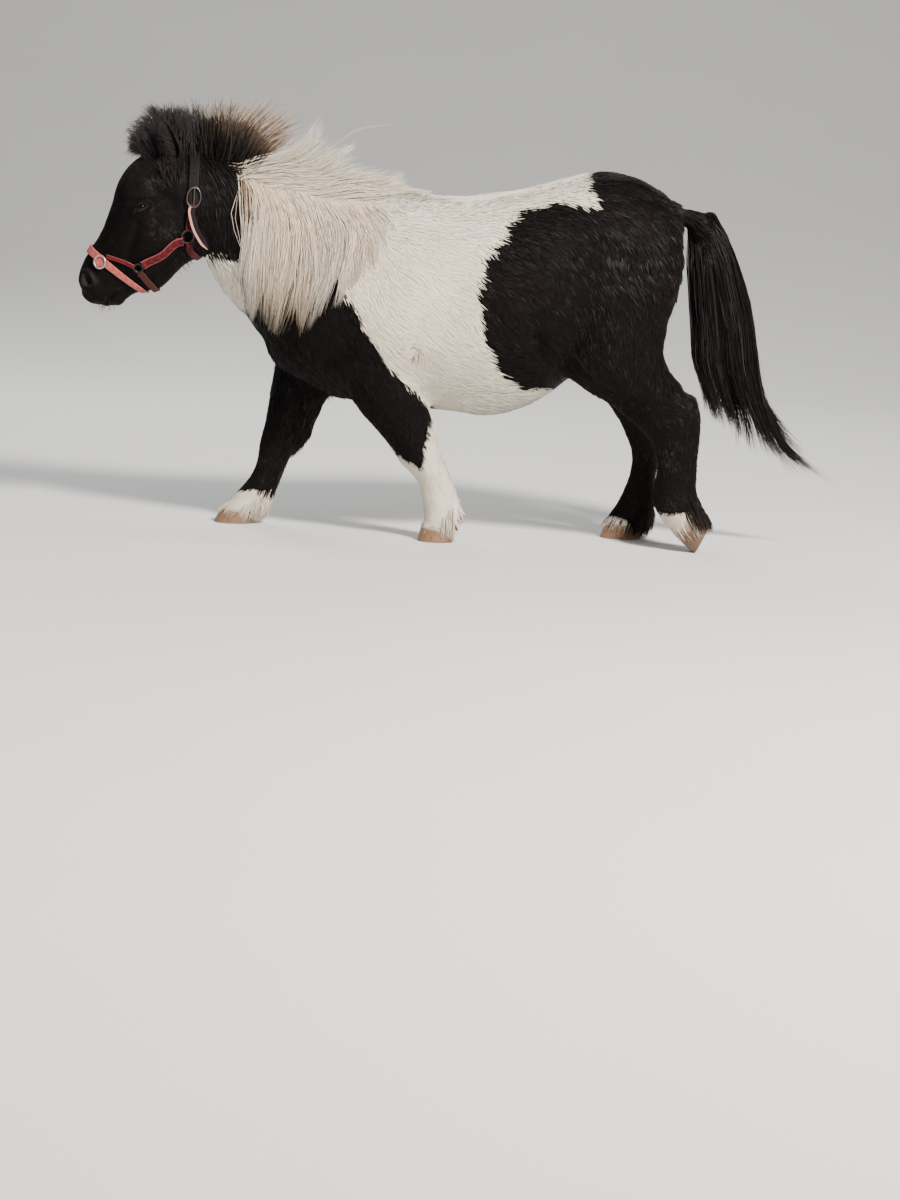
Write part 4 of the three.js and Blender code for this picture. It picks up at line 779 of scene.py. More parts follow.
def metal_finish(name, dark, pale):
    """Dull plated ring metal, darker and rusty in the scuffs."""
    material, tree, shader = new_finish(name, Specular_IOR_Level=.5)
    shader["Metallic"].default_value = .85
    wear = place_group(tree, WEAR, {"Scale": 160.0, "Amount": .9})
    colour = mixed(tree, noise(tree, 70.0, 4.0), dark, pale)
    colour = mixed(tree, wear["Mask"], colour, (.14, .085, .05, 1))
    tree.links.new(colour, shader["Base Color"])
    tree.links.new(spread(tree, wear["Mask"], 0, .6, .28, .6), shader["Roughness"])
    tree.links.new(bump(tree, wear["Height"], .3, .0004), shader["Normal"])
    return material


def floor_finish():
    material, tree, shader = new_finish("studio_floor", Specular_IOR_Level=.2, Roughness=.85)
    tint = mixed(tree, noise(tree, 1.2, 4.0), (.74, .735, .72, 1), (.79, .785, .775, 1))
    tree.links.new(tint, shader["Base Color"])
    tree.links.new(bump(tree, noise(tree, 300.0), .08, .0006), shader["Normal"])
    return material


# How deep the coat is: from the skin to the tips of the lying hair
TRUNK_DEPTH, HEAD_DEPTH, MUZZLE_DEPTH, LEG_DEPTH, FOOT_DEPTH = 6.5, 3.0, 1.5, 5.0, 3.0


def coat_depth(points):
    x, z = points[:, 0], points[:, 2]
    depth = TRUNK_DEPTH + (HEAD_DEPTH - TRUNK_DEPTH) * ramp(-x, 560, 680)
    depth += (MUZZLE_DEPTH - HEAD_DEPTH) * ramp(-x - z * .5, 505, 575)
    leg = LEG_DEPTH + (FOOT_DEPTH - LEG_DEPTH) * ramp(-z, -260, -90)
    return depth + (leg - depth) * ramp(-z, -400, -300)


# Folds and ridges: from, to, reach and height along the outward direction, alike on both sides
BODY_FOLDS = [
    ((150, 196, 600), (176, 192, 500), 18, -8), ((176, 192, 500), (206, 168, 405), 17, -12),
    ((262, 196, 480), (262, 190, 420), 34, 9), ((330, 190, 600), (300, 190, 520), 60, 6),
    ((420, 170, 640), (470, 150, 560), 26, -5), ((-118, 168, 570), (-92, 160, 420), 34, -6),
    ((-200, 150, 520), (-180, 130, 400), 40, 6), ((-250, 160, 470), (-300, 120, 420), 30, 6),
    ((-330, 140, 640), (-280, 150, 500), 40, -4), ((528, 104, 392), (548, 102, 350), 15, -8),
    ((505, 100, 372), (518, 100, 335), 13, -5), ((330, 150, 400), (400, 140, 340), 22, -4),
    ((-95, 112, 172), (-88, 112, 150), 10, -3), ((-455, 112, 172), (-448, 112, 150), 10, -3),
    ((-330, 0, 600), (-470, 0, 470), 26, -9), ((-390, 60, 470), (-360, 90, 430), 18, -5),
    ((560, 92, 300), (566, 92, 250), 12, 3), ((-60, 130, 265), (-40, 110, 225), 14, -3),
]
HEAD_FOLDS = [
    ((-786, 82, 714), (-842, 58, 660), 8, 3.5), ((-792, 86, 783), (-752, 92, 790), 8, 4.5),
    ((-738, 84, 812), (-722, 82, 796), 13, -5), ((-850, 30, 735), (-903, 22, 645), 8, 2.2),
    ((-664, 62, 655), (-745, 50, 600), 10, 3), ((-642, 74, 745), (-640, 66, 690), 11, -4),
    ((-806, 0, 545), (-806, 26, 548), 8, -4), ((-822, 0, 531), (-822, 16, 531), 11, 3),
    ((-852, 20, 520), (-838, 30, 532), 6, 2.6), ((-884, 18, 540), (-864, 34, 546), 8, 2.6),
    ((-902, 30, 600), (-882, 46, 606), 7, 2.6), ((-820, 44, 566), (-812, 45, 574), 6, -2.5),
    ((-732, 90, 768), (-704, 84, 784), 16, -9), ((-770, 84, 718), (-800, 66, 640), 11, -6),
    ((-868, 46, 590), (-850, 47, 575), 9, -2), ((-790, 74, 735), (-768, 82, 728), 5, -1.6),
    ((-796, 70, 722), (-772, 80, 715), 5, 1.2), ((-905, 0, 590), (-898, 0, 555), 5, -1.6),
]
MOUTH_LINE = [(-866, 0, 520), (-861, 18, 519), (-850, 33, 524), (-836, 41, 541), (-822, 44, 562)]
NOSTRIL_PLACE = np.array([-888.0, 40.0, 583.0])
NOSTRIL_SIZE = (17.0, 12.0, 14.5)

EYE_RADIUS = 17
EYE_SIDE_VIEW = (-762, 758)
EYE_STANDS = 5
EYE_SLANT = -.5
EYE_OPENING, UPPER_BOW, LOWER_BOW = .96, .42, .32


def cheek_place(x, z):
    """Station and angle of a place of the side view on the left of the head."""
    at, angle = np.meshgrid(np.arange(0, 12, .05), np.arange(math.pi / 2, 1.5 * math.pi, .02))
    points = on_rows(HEAD_ROWS, at.ravel(), angle.ravel())
    nearest = np.argmin(np.hypot(points[:, 0] - x, points[:, 2] - z))
    return at.ravel()[nearest], angle.ravel()[nearest]


def on_head(at, angle, lift=0.0):
    """Points and outward normals on the coat of the head."""
    at, angle = np.broadcast_arrays(np.atleast_1d(np.asarray(at, float)), angle)
    point = on_rows(HEAD_ROWS, at, angle, lift, HEAD_MUSCLES)
    forward = on_rows(HEAD_ROWS, at + .05, angle, lift, HEAD_MUSCLES) - point
    onward = on_rows(HEAD_ROWS, at, angle + .05, lift, HEAD_MUSCLES) - point
    normal = unit(np.cross(forward, onward))
    middle = station_at(HEAD_ROWS, at)
    centre = np.stack([(middle[:, 0] + middle[:, 2]) / 2, 0 * at, (middle[:, 1] + middle[:, 3]) / 2], 1)
    flip = np.sum(normal * (point - centre), axis=1) < 0
    normal[flip] *= -1
    return point, normal


def eye_frame(side):
    """Middle of the eyeball and its outward, forward and upward directions."""
    point, normal = on_head(*cheek_place(*EYE_SIDE_VIEW))
    point, normal = point[0], normal[0]
    centre = point + normal * (EYE_STANDS - EYE_RADIUS)
    forward = np.array([-math.cos(EYE_SLANT), 0, math.sin(EYE_SLANT)])
    forward = along_surface(forward, normal)
    upward = np.cross(normal, forward)
    upward *= np.sign(upward[2])
    mirror = np.array([1, -side, 1])
    return centre * mirror, normal * mirror, forward * mirror, upward * mirror


def add_lofts():
    """All parts of the flesh inside the coat, in one mesh."""
    parts = [
        loft(full_rows(TRUNK), 64, 5, coat_depth, TRUNK_MUSCLES, round_last=36),
        loft(full_rows(NECK), 56, 5, coat_depth, round_first=24, round_last=10),
        loft(HEAD_ROWS, 56, 5, coat_depth, HEAD_MUSCLES, round_first=30, round_last=14),
        loft(DOCK_ROWS, 24, 4, round_first=20, round_last=10),
    ]
    for name, rows in LEGS.items():
        side = -1 if "left" in name else 1
        parts.append(loft(full_rows(rows, side), 40, 4, coat_depth, round_first=30))
    points, faces, start = [], [], 0
    for part_points, part_faces in parts:
        points.append(part_points)
        faces.append(part_faces + start)
        start += len(part_points)
    return new_mesh("skin", np.concatenate(points), np.concatenate(faces))


def fold(points, normals, folds):
    """Height of the folds at the points, the same on both sides."""
    folded = one_sided(points)
    height = np.zeros(len(points))
    for start, end, reach, amount in folds:
        away = np.linalg.norm(from_segment(folded, np.array(start, float), np.array(end, float)), axis=1)
        height += amount * np.exp(-((away / reach) ** 2))
    return points + normals * height[:, None]


JOINS = [
    (-190, 150, 440, 90), (-330, 130, 470, 80), (-120, 150, 420, 70), (-640, 0, 760, 90),
    (-640, 60, 700, 60), (-340, 0, 560, 90), (-420, 60, 520, 70), (-190, 100, 800, 60),
    (300, 190, 620, 110), (330, 180, 740, 100), (250, 170, 440, 90), (450, 120, 760, 70),
    (500, 60, 700, 80), (430, 30, 520, 90), (515, 0, 790, 40), (-60, 90, 330, 60), (240, 100, 400, 80),
    (480, 90, 620, 70),
]


def refine(piece, test):
    """Splits the faces whose middle passes the test."""
    mesh = bmesh.new()
    mesh.from_mesh(piece.data)
    faces = [f for f in mesh.faces if test(np.array(f.calc_center_median()) / MM - SHIFT)]
    edges = list({edge for face in faces for edge in face.edges})
    bmesh.ops.subdivide_edges(mesh, edges=edges, cuts=1, use_grid_fill=True)
    bmesh.ops.triangulate(mesh, faces=[f for f in mesh.faces if len(f.verts) > 4])
    mesh.to_mesh(piece.data)
    mesh.free()


def in_head(place):
    return place[0] < -648 and place[2] > 505


def in_fine_head(place):
    aside, rise = place[0] - EYE_SIDE_VIEW[0], place[2] - EYE_SIDE_VIEW[1]
    eye = abs(aside) < 34 and abs(rise) < 30 and abs(place[1]) > 50
    muzzle = place[0] < -806 and place[2] < 612
    return eye or muzzle


def open_eyes(points):
    """Sinks the skin behind each eyeball, so that the ball lies in its socket."""
    for side in (-1, 1):
        centre, normal, forward, upward = eye_frame(side)
        arm = points - centre
        depth = arm @ normal
        aside, rise = arm @ forward, arm @ upward
        bow = np.where(rise > 0, UPPER_BOW, LOWER_BOW)
        wide = math.sin(EYE_OPENING) * EYE_RADIUS + 3
        high = np.sin(bow) * EYE_RADIUS + 3.5
        inside = np.hypot(aside / wide, rise / high)
        near = (depth > -6) & (inside < 2.2)
        target = 2 + 10 * ramp(inside, .75, 1.5)
        sunk = np.minimum(depth, target)
        points = points + np.where(near, sunk - depth, 0)[:, None] * normal
    return points


def open_nostrils(points):
    for side in (-1, 1):
        place = NOSTRIL_PLACE * np.array([1, side, 1])
        outward = unit(np.array([-.62, side * .78, .05]))
        long_way = along_surface(np.array([-.42, 0, .9]), outward)
        short_way = np.cross(outward, long_way)
        arm = points - place
        along, across = arm @ long_way, arm @ short_way
        along = along + .03 * across**2
        away = np.hypot(along / NOSTRIL_SIZE[0], across / NOSTRIL_SIZE[1])
        near = (np.abs(arm @ outward) < 22) & (away < 3)
        pit = -NOSTRIL_SIZE[2] * (1 - ramp(away, .45, 1.0))
        rim = 3.4 * np.exp(-(((away - 1.3) / .3) ** 2))
        points = points + np.where(near, pit + rim, 0)[:, None] * outward
    return points


def cut_mouth(points, normals):
    line = np.array(MOUTH_LINE, float)
    folded = one_sided(points)
    away = np.full(len(points), 1e9)
    for start, end in zip(line[:-1], line[1:]):
        arm = from_segment(folded, start, end) * (1, .55, 1)
        away = np.minimum(away, np.linalg.norm(arm, axis=1))
    groove = 4.2 * np.exp(-((away / 2.2) ** 2))
    lips = 1.4 * np.exp(-(((away - 5) / 2.6) ** 2))
    return points - normals * (groove - lips)[:, None]


def add_skin():
    skin = add_lofts()
    deselect_all()
    bpy.context.view_layer.objects.active = skin
    skin.select_set(True)
    skin.data.remesh_voxel_size = .0071
    bpy.ops.object.voxel_remesh()
    points = mesh_points(skin)
    edges = mesh_edges(skin)
    weight = np.zeros(len(points))
    for x, y, z, reach in JOINS:
        away = np.linalg.norm((points - (x, 0, z)) * (1, 0, 1), axis=1)
        away = np.hypot(away, np.abs(points[:, 1]) - y)
        weight = np.maximum(weight, np.exp(-((away / reach) ** 2)))
    points = relax(points, edges, .55 * weight, 16)
    points = relax(points, edges, np.full(len(points), .3), 3)
    set_points(skin, points)
    set_points(skin, fold(points, mesh_normals(skin), BODY_FOLDS))
    refine(skin, in_head)
    points = mesh_points(skin)
    head = ramp(-points[:, 0], 640, 670) * (points[:, 2] > 500)
    points = relax(points, mesh_edges(skin), .5 * head, 3)
    set_points(skin, points)
    set_points(skin, fold(points, mesh_normals(skin), HEAD_FOLDS))
    refine(skin, in_fine_head)
    points = mesh_points(skin)
    fine = ramp(-points[:, 0], 700, 720) * (points[:, 2] > 500)
    points = relax(points, mesh_edges(skin), .5 * fine, 2)
    set_points(skin, points)
    points = cut_mouth(points, mesh_normals(skin))
    points = open_nostrils(points)
    set_points(skin, open_eyes(points))
    return skin


# Unwrap of the body's own shape: one chart along trunk, neck and head, and one for each leg
CHART_SCALE = .00045
SPINE_ROWS = TRUNK[::-1] + NECK[1:] + HEAD[1:]
LEG_CHARTS = {name: (.84, .02 + .25 * k) for k, name in enumerate(LEGS)}


def middle_line(rows):
    rows = np.array([row[:4] for row in rows], float)
    return np.stack([(rows[:, 0] + rows[:, 2]) / 2, (rows[:, 1] + rows[:, 3]) / 2], 1)


def along_line(points, rows, y=0.0):
    """Length along the middle line of the rows, the angle round it and the size there."""
    line = middle_line(rows)
    size = np.array([math.hypot(r[0] - r[2], r[1] - r[3]) / 4 + r[4] / 2 for r in rows])
    flat = points[:, [0, 2]]
    best = np.full(len(points), 1e9)
    length = np.zeros(len(points))
    rise = np.zeros(len(points))
    radius = np.zeros(len(points))
    start_length = 0.0
    for k in range(len(rows) - 1):
        way = line[k + 1] - line[k]
        span = np.linalg.norm(way)
        t = np.clip((flat - line[k]) @ way / span**2, 0, 1)
        away = np.linalg.norm(flat - line[k] - t[:, None] * way, axis=1)
        closer = away < best
        best = np.where(closer, away, best)
        length = np.where(closer, start_length + t * span, length)
        normal = np.array([-way[1], way[0]]) / span
        offset = (flat - line[k] - t[:, None] * way) @ normal
        rise = np.where(closer, offset, rise)
        radius = np.where(closer, size[k] + (size[k + 1] - size[k]) * t, radius)
        start_length += span
    return length, np.arctan2(rise, points[:, 1] - y), radius


def leg_of(points):
    """Name index of the leg that each place belongs to, or -1 for trunk, neck and head."""
    x, y, z = points.T
    out = np.full(len(points), -1)
    fore = (z < 375 + .25 * (x + 150)) & (x < 0) & (x > -640) & (z < 400)
    hind = (z < 400) & (x > 170) & (x < 640)
    out[fore & (y < 0)] = 0
    out[fore & (y >= 0)] = 1
    out[hind & (y < 0)] = 2
    out[hind & (y >= 0)] = 3
    return out


def chart_places(points, charts):
    """UV of points, each in the chart that it is given."""
    uv = np.zeros((len(points), 2))
    turn = np.zeros(len(points))
    for index, name in enumerate([None, *LEG_CHARTS]):
        rows = SPINE_ROWS if name is None else LEGS[name]
        side = 0 if name is None else rows[-1][5] * (-1 if "left" in name else 1)
        mask = charts == index - 1
        if not mask.any():
            continue
        length, angle, radius = along_line(points[mask], rows, side)
        # The seam runs along the belly, and down the inner side of each leg
        seam = -math.pi / 2 if name is None else (0 if "left" in name else math.pi)
        share = ((angle - seam) / (2 * math.pi)) % 1 - .5
        centre_u, start_v = (.39, .02) if name is None else LEG_CHARTS[name]
        turn[mask] = 2 * math.pi * radius * CHART_SCALE
        uv[mask, 0] = centre_u + share * turn[mask]
        uv[mask, 1] = start_v + length * CHART_SCALE
    return uv, turn


def unwrap(points, faces):
    """UV of each corner of each face, with no face torn by a seam."""
    charts = leg_of(points[faces].mean(1))
    corners = points[faces].reshape(-1, 3)
    uv, turn = chart_places(corners, np.repeat(charts, faces.shape[1]))
    uv = uv.reshape(len(faces), -1, 2)
    turn = turn.reshape(len(faces), -1)
    torn = uv[:, :, 0].max(1) - uv[:, :, 0].min(1) > turn.mean(1) * .5
    low = uv[:, :, 0] < uv[:, :, 0].mean(1, keepdims=True)
    uv[:, :, 0] += np.where(torn[:, None] & low, turn, 0)
    return uv


# Markings, as outlines drawn in side view
LEFT_FRONT = [
    (-1000, 1200), (-400, 1200), (-400, 850), (-313, 653), (-296, 602), (-273, 575), (-257, 569),
    (-249, 546), (-236, 512), (-211, 479), (-187, 444), (-163, 414), (-143, 391), (-127, 379),
    (-96, 358), (-79, 339), (-66, 314), (-61, 302), (-71, 268), (-77, 233), (-78, 197), (-84, 177),
    (-103, 191), (-125, 198), (-145, 216), (-165, 239), (-1000, 239),
]
RIGHT_FRONT = [
    (-1000, 1200), (-385, 1200), (-380, 850), (-322, 700), (-270, 640), (-243, 588), (-222, 560),
    (-214, 505), (-240, 470), (-228, 420), (-225, 84), (-1000, 82),
]
THROAT_PATCH = [
    (-660, 625), (-640, 648), (-614, 650), (-588, 661), (-556, 659), (-527, 651), (-520, 642),
    (-531, 622), (-526, 587), (-519, 551), (-560, 520), (-620, 560),
]
LEFT_HAUNCH = [
    (272, 1200), (272, 854), (284, 838), (300, 812), (285, 803), (263, 807), (240, 812), (217, 812),
    (171, 802), (148, 796), (125, 787), (107, 772), (91, 754), (81, 731), (63, 712), (50, 693),
    (39, 670), (31, 640), (28, 606), (34, 572), (40, 537), (46, 503), (59, 468), (75, 433), (90, 409),
    (107, 393), (132, 378), (163, 373), (203, 376), (225, 372), (225, -50), (1000, -50), (1000, 1200),
]
RIGHT_HAUNCH = [
    (262, 1200), (262, 862), (238, 832), (196, 824), (160, 806), (128, 768), (98, 716), (84, 662),
    (100, 610), (92, 560), (110, 506), (128, 462), (150, 428), (188, 400), (222, 388), (225, -50),
    (1000, -50), (1000, 1200),
]
LEFT_PASTERN = [
    (470, 104), (488, 94), (507, 91), (535, 98), (556, 104), (572, 88), (584, 66), (610, 0), (530, -20),
    (480, 40),
]
RIGHT_PASTERN = [
    (350, 64), (382, 56), (401, 52), (426, 46), (440, 34), (452, 20), (455, -20), (340, -20),
]


def whiteness(points):
    """Distance into the white hair, in millimetres; negative in the black."""
    flat = points[:, [0, 2]]
    right = ramp(points[:, 1], -45, 45)
    leg = leg_of(points)
    side = np.where(leg >= 0, leg % 2, right)
    front = edge_distance(flat, RIGHT_FRONT) * side + edge_distance(flat, LEFT_FRONT) * (1 - side)
    haunch = edge_distance(flat, RIGHT_HAUNCH) * side + edge_distance(flat, LEFT_HAUNCH) * (1 - side)
    patch = edge_distance(flat, THROAT_PATCH) - 14 * right
    head = -(points[:, 0] + 628) - .35 * (points[:, 2] - 640)
    patch = np.minimum(patch, -head + 12)
    pastern = np.where(leg == 2, edge_distance(flat, LEFT_PASTERN), -900)
    pastern = np.where(leg == 3, edge_distance(flat, RIGHT_PASTERN), pastern)
    black = np.maximum(front, haunch)
    white = np.maximum.reduce([-black, patch, pastern])
    return white + 5 * lattice_noise(points, 26, 3) + 2.5 * lattice_noise(points, 9, 5)


def bare_skin(points):
    """Share of bare skin: round the eyes and nostrils, on the lips."""
    x, y, z = points[:, 0], np.abs(points[:, 1]), points[:, 2]
    nostril = np.linalg.norm((one_sided(points) - NOSTRIL_PLACE) / (23, 16, 20), axis=1)
    bare = 1 - ramp(nostril, .6, 1.5)
    lips = 1 - ramp(np.abs(z - 522 - .35 * (x + 870)), 5, 16)
    bare = np.maximum(bare, lips * ramp(-x, 846, 872) * .8)
    eye = np.hypot((x - EYE_SIDE_VIEW[0]) / 19, (z - EYE_SIDE_VIEW[1]) / 14)
    return np.maximum(bare, (1 - ramp(eye, .7, 1.3)) * (y > 40))


# Long hair: guide locks from the root to the tip in side view, from the front of a row to its back
FAN_MANE = [
    [(-650, 913), (-666, 952), (-682, 998)], [(-631, 911), (-645, 967), (-656, 1018)],
    [(-612, 910), (-619, 973), (-619, 1030)], [(-595, 906), (-589, 974), (-576, 1034)],
    [(-579, 902), (-563, 970), (-534, 1035)], [(-565, 900), (-536, 962), (-489, 1035)],
    [(-554, 898), (-512, 954), (-446, 1024)], [(-544, 896), (-493, 940), (-405, 1009)],
    [(-535, 894), (-481, 927), (-395, 982)], [(-526, 890), (-471, 913), (-403, 951)],
    [(-518, 883), (-470, 899), (-424, 920)],
]
SWEPT_MANE = [
    [(-556, 891), (-510, 879), (-445, 910), (-393, 968)],
    [(-553, 889), (-482, 869), (-411, 893), (-350, 976)],
    [(-539, 883), (-458, 863), (-378, 892), (-318, 957)],
    [(-515, 874), (-427, 855), (-350, 886), (-284, 944)],
    [(-486, 868), (-396, 847), (-312, 876), (-228, 935)],
    [(-455, 863), (-362, 839), (-273, 856), (-178, 916)],
    [(-420, 855), (-324, 831), (-235, 846), (-138, 892)],
    [(-384, 847), (-291, 825), (-202, 834), (-108, 858)],
    [(-343, 837), (-253, 820), (-173, 821), (-100, 830)],
    [(-301, 827), (-219, 805), (-148, 801), (-86, 803)],
]
STRAY_LOCK = [(-486, 876), (-397, 880), (-327, 915), (-281, 949), (-235, 967), (-170, 977)]
FALLING_MANE = [
    [(-535, 883), (-527, 842), (-522, 752), (-517, 671), (-515, 589), (-508, 505)],
    [(-519, 877), (-501, 834), (-489, 753), (-487, 672), (-491, 578), (-496, 485)],
    [(-495, 871), (-473, 831), (-456, 755), (-449, 674), (-456, 580), (-474, 474)],
    [(-471, 865), (-442, 827), (-419, 756), (-409, 675), (-420, 570), (-445, 468)],
    [(-448, 862), (-412, 824), (-386, 758), (-374, 677), (-385, 571), (-412, 465)],
    [(-420, 854), (-381, 816), (-353, 759), (-339, 678), (-350, 584), (-379, 471)],
    [(-391, 846), (-350, 806), (-323, 749), (-311, 679), (-322, 585), (-350, 484)],
    [(-358, 838), (-320, 800), (-294, 745), (-283, 681), (-289, 599), (-312, 500)],
    [(-325, 832), (-289, 797), (-266, 739), (-255, 682), (-261, 611), (-284, 528)],
    [(-293, 827), (-261, 793), (-238, 741), (-227, 695), (-230, 641), (-242, 585)],
    [(-255, 819), (-226, 788), (-205, 749), (-195, 712), (-191, 684), (-195, 652)],
    [(-212, 811), (-188, 787), (-171, 764), (-158, 742), (-153, 728), (-150, 712)],
]
FORELOCK = [
    [(-752, 890), (-784, 888), (-800, 866)], [(-746, 893), (-788, 905), (-812, 892)],
    [(-738, 896), (-784, 930), (-808, 925)], [(-726, 902), (-768, 955), (-796, 958)],
    [(-712, 908), (-744, 972), (-768, 984)], [(-696, 913), (-719, 978), (-733, 998)],
    [(-686, 914), (-694, 972), (-698, 1000)], [(-674, 914), (-676, 960), (-674, 992)],
    [(-658, 914), (-656, 950), (-652, 985)],
]
TAIL_LOCKS = [
    [(532, 780), (536, 710), (541, 616), (548, 521), (560, 438), (576, 366), (586, 325)],
    [(541, 784), (552, 711), (562, 617), (570, 522), (584, 431), (606, 356), (624, 290)],
    [(548, 788), (566, 712), (581, 617), (594, 523), (609, 428), (632, 345), (654, 265)],
    [(555, 791), (581, 712), (600, 618), (615, 524), (633, 417), (660, 322), (690, 230)],
    [(562, 796), (592, 717), (617, 619), (637, 524), (657, 418), (687, 311), (728, 200)],
    [(569, 799), (604, 723), (634, 620), (656, 525), (679, 407), (712, 300), (775, 180)],
    [(576, 802), (616, 723), (650, 620), (676, 514), (699, 395), (742, 277), (850, 165)],
    [(580, 802), (628, 719), (665, 621), (692, 515), (716, 389), (772, 262), (938, 152)],
    [(583, 798), (634, 703), (673, 598), (699, 491), (722, 372), (786, 240), (915, 166)],
]


def between_rows(table, share):
    """Values of a table at shares from 0 to 1 of its length."""
    table = np.array(table, float)
    at = np.clip(share, 0, 1) * (len(table) - 1)
    index = np.minimum(at.astype(int), len(table) - 2)
    t = (at - index)[:, None]
    return table[index] * (1 - t) + table[index + 1] * t


def along_guides(table, share):
    """Marks (x, z) of a lock at each share of the way along a row of guide locks."""
    table = np.array(table, float)
    return between_rows(table.reshape(len(table), -1), share).reshape(len(share), -1, 2)


def cut(paths, start, end, rings):
    """Part of each path between two shares of its length, with evenly stepped points."""
    start, end = (np.broadcast_to(share, (len(paths),))[:, None] for share in (start, end))
    at = np.clip(start + (end - start) * np.linspace(0, 1, rings)[None], 0, 1) * (paths.shape[1] - 1)
    index = np.minimum(at.astype(int), paths.shape[1] - 2)
    t = (at - index)[:, :, None]
    row = np.arange(len(paths))[:, None]
    return paths[row, index] * (1 - t) + paths[row, index + 1] * t


class Body:
    """Finds places on the skin by rays from outside."""

    def __init__(self, points, faces):
        self.tree = BVHTree.FromPolygons(points.tolist(), faces.tolist())

    def flank(self, x, z, side):
        """Distance of the skin from the middle plane, at places of the side view."""
        out = np.empty(len(x))
        for k in range(len(x)):
            hit = self.tree.ray_cast((x[k], side * 700, z[k]), (0, -side, 0), 1400)[0]
            out[k] = abs(hit[1]) if hit and hit[1] * side > -30 else 60
        return out

    def crest(self, x, y):
        out = np.empty(len(x))
        for k in range(len(x)):
            hit = self.tree.ray_cast((x[k], y[k], 1500), (0, 0, -1), 1500)[0]
            out[k] = hit[2] if hit else 850
        return out


def smooth_paths(marks, rings):
    """Paths of evenly stepped points through each path's marks (paths, marks, 3)."""
    count = marks.shape[1]
    before, beyond = 2 * marks[:, :1] - marks[:, 1:2], 2 * marks[:, -1:] - marks[:, -2:-1]
    padded = np.concatenate([before, marks, beyond], 1)
    at = np.linspace(0, count - 1, rings)
    index = np.minimum(at.astype(int), count - 2)
    t = (at - index)[None, :, None]
    a, b, c, d = (padded[:, index + k] for k in range(4))
    return .5 * (2 * b + (c - a) * t + (2 * a - 5 * b + 4 * c - d) * t**2 + (3 * b - a - 3 * c + d) * t**3)


def gather(paths, reach, strength, fine=0.0, late=1.3):
    """Draws neighbouring paths together towards their tips, as locks of hair do; fine adds
    smaller locks within them, and late draws them together nearer the tips."""
    if fine:
        paths = gather(paths, reach / 5, fine)[0]
    chosen = rng.permutation(len(paths))[: max(4, int(len(paths) / reach))]
    tree = KDTree(len(chosen))
    for k, leader in enumerate(chosen):
        tree.insert(paths[leader, paths.shape[1] // 3], k)
    tree.balance()
    owner = np.array([chosen[tree.find(path[paths.shape[1] // 3])[1]] for path in paths])
    share = np.linspace(0, 1, paths.shape[1])[None, :, None] ** late * strength
    share = share * (.55 + .45 * rng.random((len(paths), 1, 1)))
    return paths + (paths[owner] - paths) * share, owner


def wave(paths, size, length):
    """Soft uneven waves that grow towards the tips."""
    share = np.linspace(0, 1, paths.shape[1])[None, :]
    out = paths.copy()
    for axis in range(3):
        field = lattice_noise(paths.reshape(-1, 3) + axis * 999.0, length).reshape(paths.shape[:2])
        own = np.sin(share * 9 + rng.random((len(paths), 1)) * 6.28) * .35
        out[:, :, axis] += (field + own) * size * share**1.2
    return out


STRAND_FLATNESS = .55


def strands(name, paths, width, finish, numbers, replaced=()):
    """Tapered three-cornered strands along the paths, closed at both ends."""
    count, rings = paths.shape[:2]
    along = unit(np.gradient(paths, axis=1))
    spin = unit(rng.normal(size=(count, 1, 3)) + np.array([0, 1.2, 0]))
    across = unit(np.cross(along, spin))
    lift = np.cross(across, along)
    share = np.linspace(0, 1, rings)
    taper = np.minimum(1, .3 + 4 * share) * (1 - share**2.2) + .04
    half = (np.asarray(width).reshape(-1, 1) * taper[None, :] / 2)[:, :, None]
    corners = []
    for turn in (math.pi / 2, math.pi * 7 / 6, math.pi * 11 / 6):
        aside, rise = across * half * math.cos(turn), lift * half * STRAND_FLATNESS * math.sin(turn)
        corners.append(paths + aside + rise)
    points = np.stack(corners, 2).reshape(-1, 3)
    ring = []
    for row in range(rings - 1):
        for k in range(3):
            a, b = row * 3 + k, row * 3 + (k + 1) % 3
            ring += [(a, b, b + 3), (a, b + 3, a + 3)]
    last = (rings - 1) * 3
    ring += [(0, 2, 1), (last, last + 1, last + 2)]
    ring = np.array(ring)
    faces = (ring[None] + np.arange(count)[:, None, None] * rings * 3).reshape(-1, 3)
    data = {"tip": np.repeat(np.tile(share, count), 3)}
    for title, value in numbers.items():
        value = np.asarray(value, float)
        value = np.repeat(value[:, None], rings, 1) if value.ndim == 1 else value
        data[title] = np.repeat(value.ravel(), 3)
    # One narrow patch for each strand, side by side
    per_row = math.ceil(math.sqrt(count * 3))
    cell = .96 / per_row
    k = np.arange(count)
    corner_u = .02 + (k % per_row)[:, None] * cell + np.tile([0, .4, .8], rings)[None] * cell
    rows_needed = math.ceil(count / per_row)
    corner_v = .02 + ((k // per_row)[:, None] + np.repeat(share, 3)[None] * .85) * .96 / rows_needed
    uv = np.stack([corner_u, corner_v], -1).reshape(-1, 2)[faces.ravel()]
    a, b, c = points[faces[0]]
    if np.cross(b - a, c - a) @ ((a + b + c) / 3 - paths[0, :2].mean(0)) < 0:
        faces = faces[:, ::-1]
        uv = uv.reshape(-1, 3, 2)[:, ::-1].reshape(-1, 2)
    piece = new_mesh(name, points, faces, data, uv)
    finish_piece(piece, finish, replaced)


def tones(owner, amount=.5):
    """Tone of each strand: mostly its lock's own, so that locks differ from each other."""
    lock = rng.random(owner.max() + 1)
    return np.clip(lock[owner] * amount + rng.random(len(owner)) * (1 - amount), 0, 1)


def black_hair(tone):
    """Numbers of strands that are black all along."""
    return {"whiteness": np.zeros(len(tone)), "tan": np.zeros(len(tone)), "tone": tone}


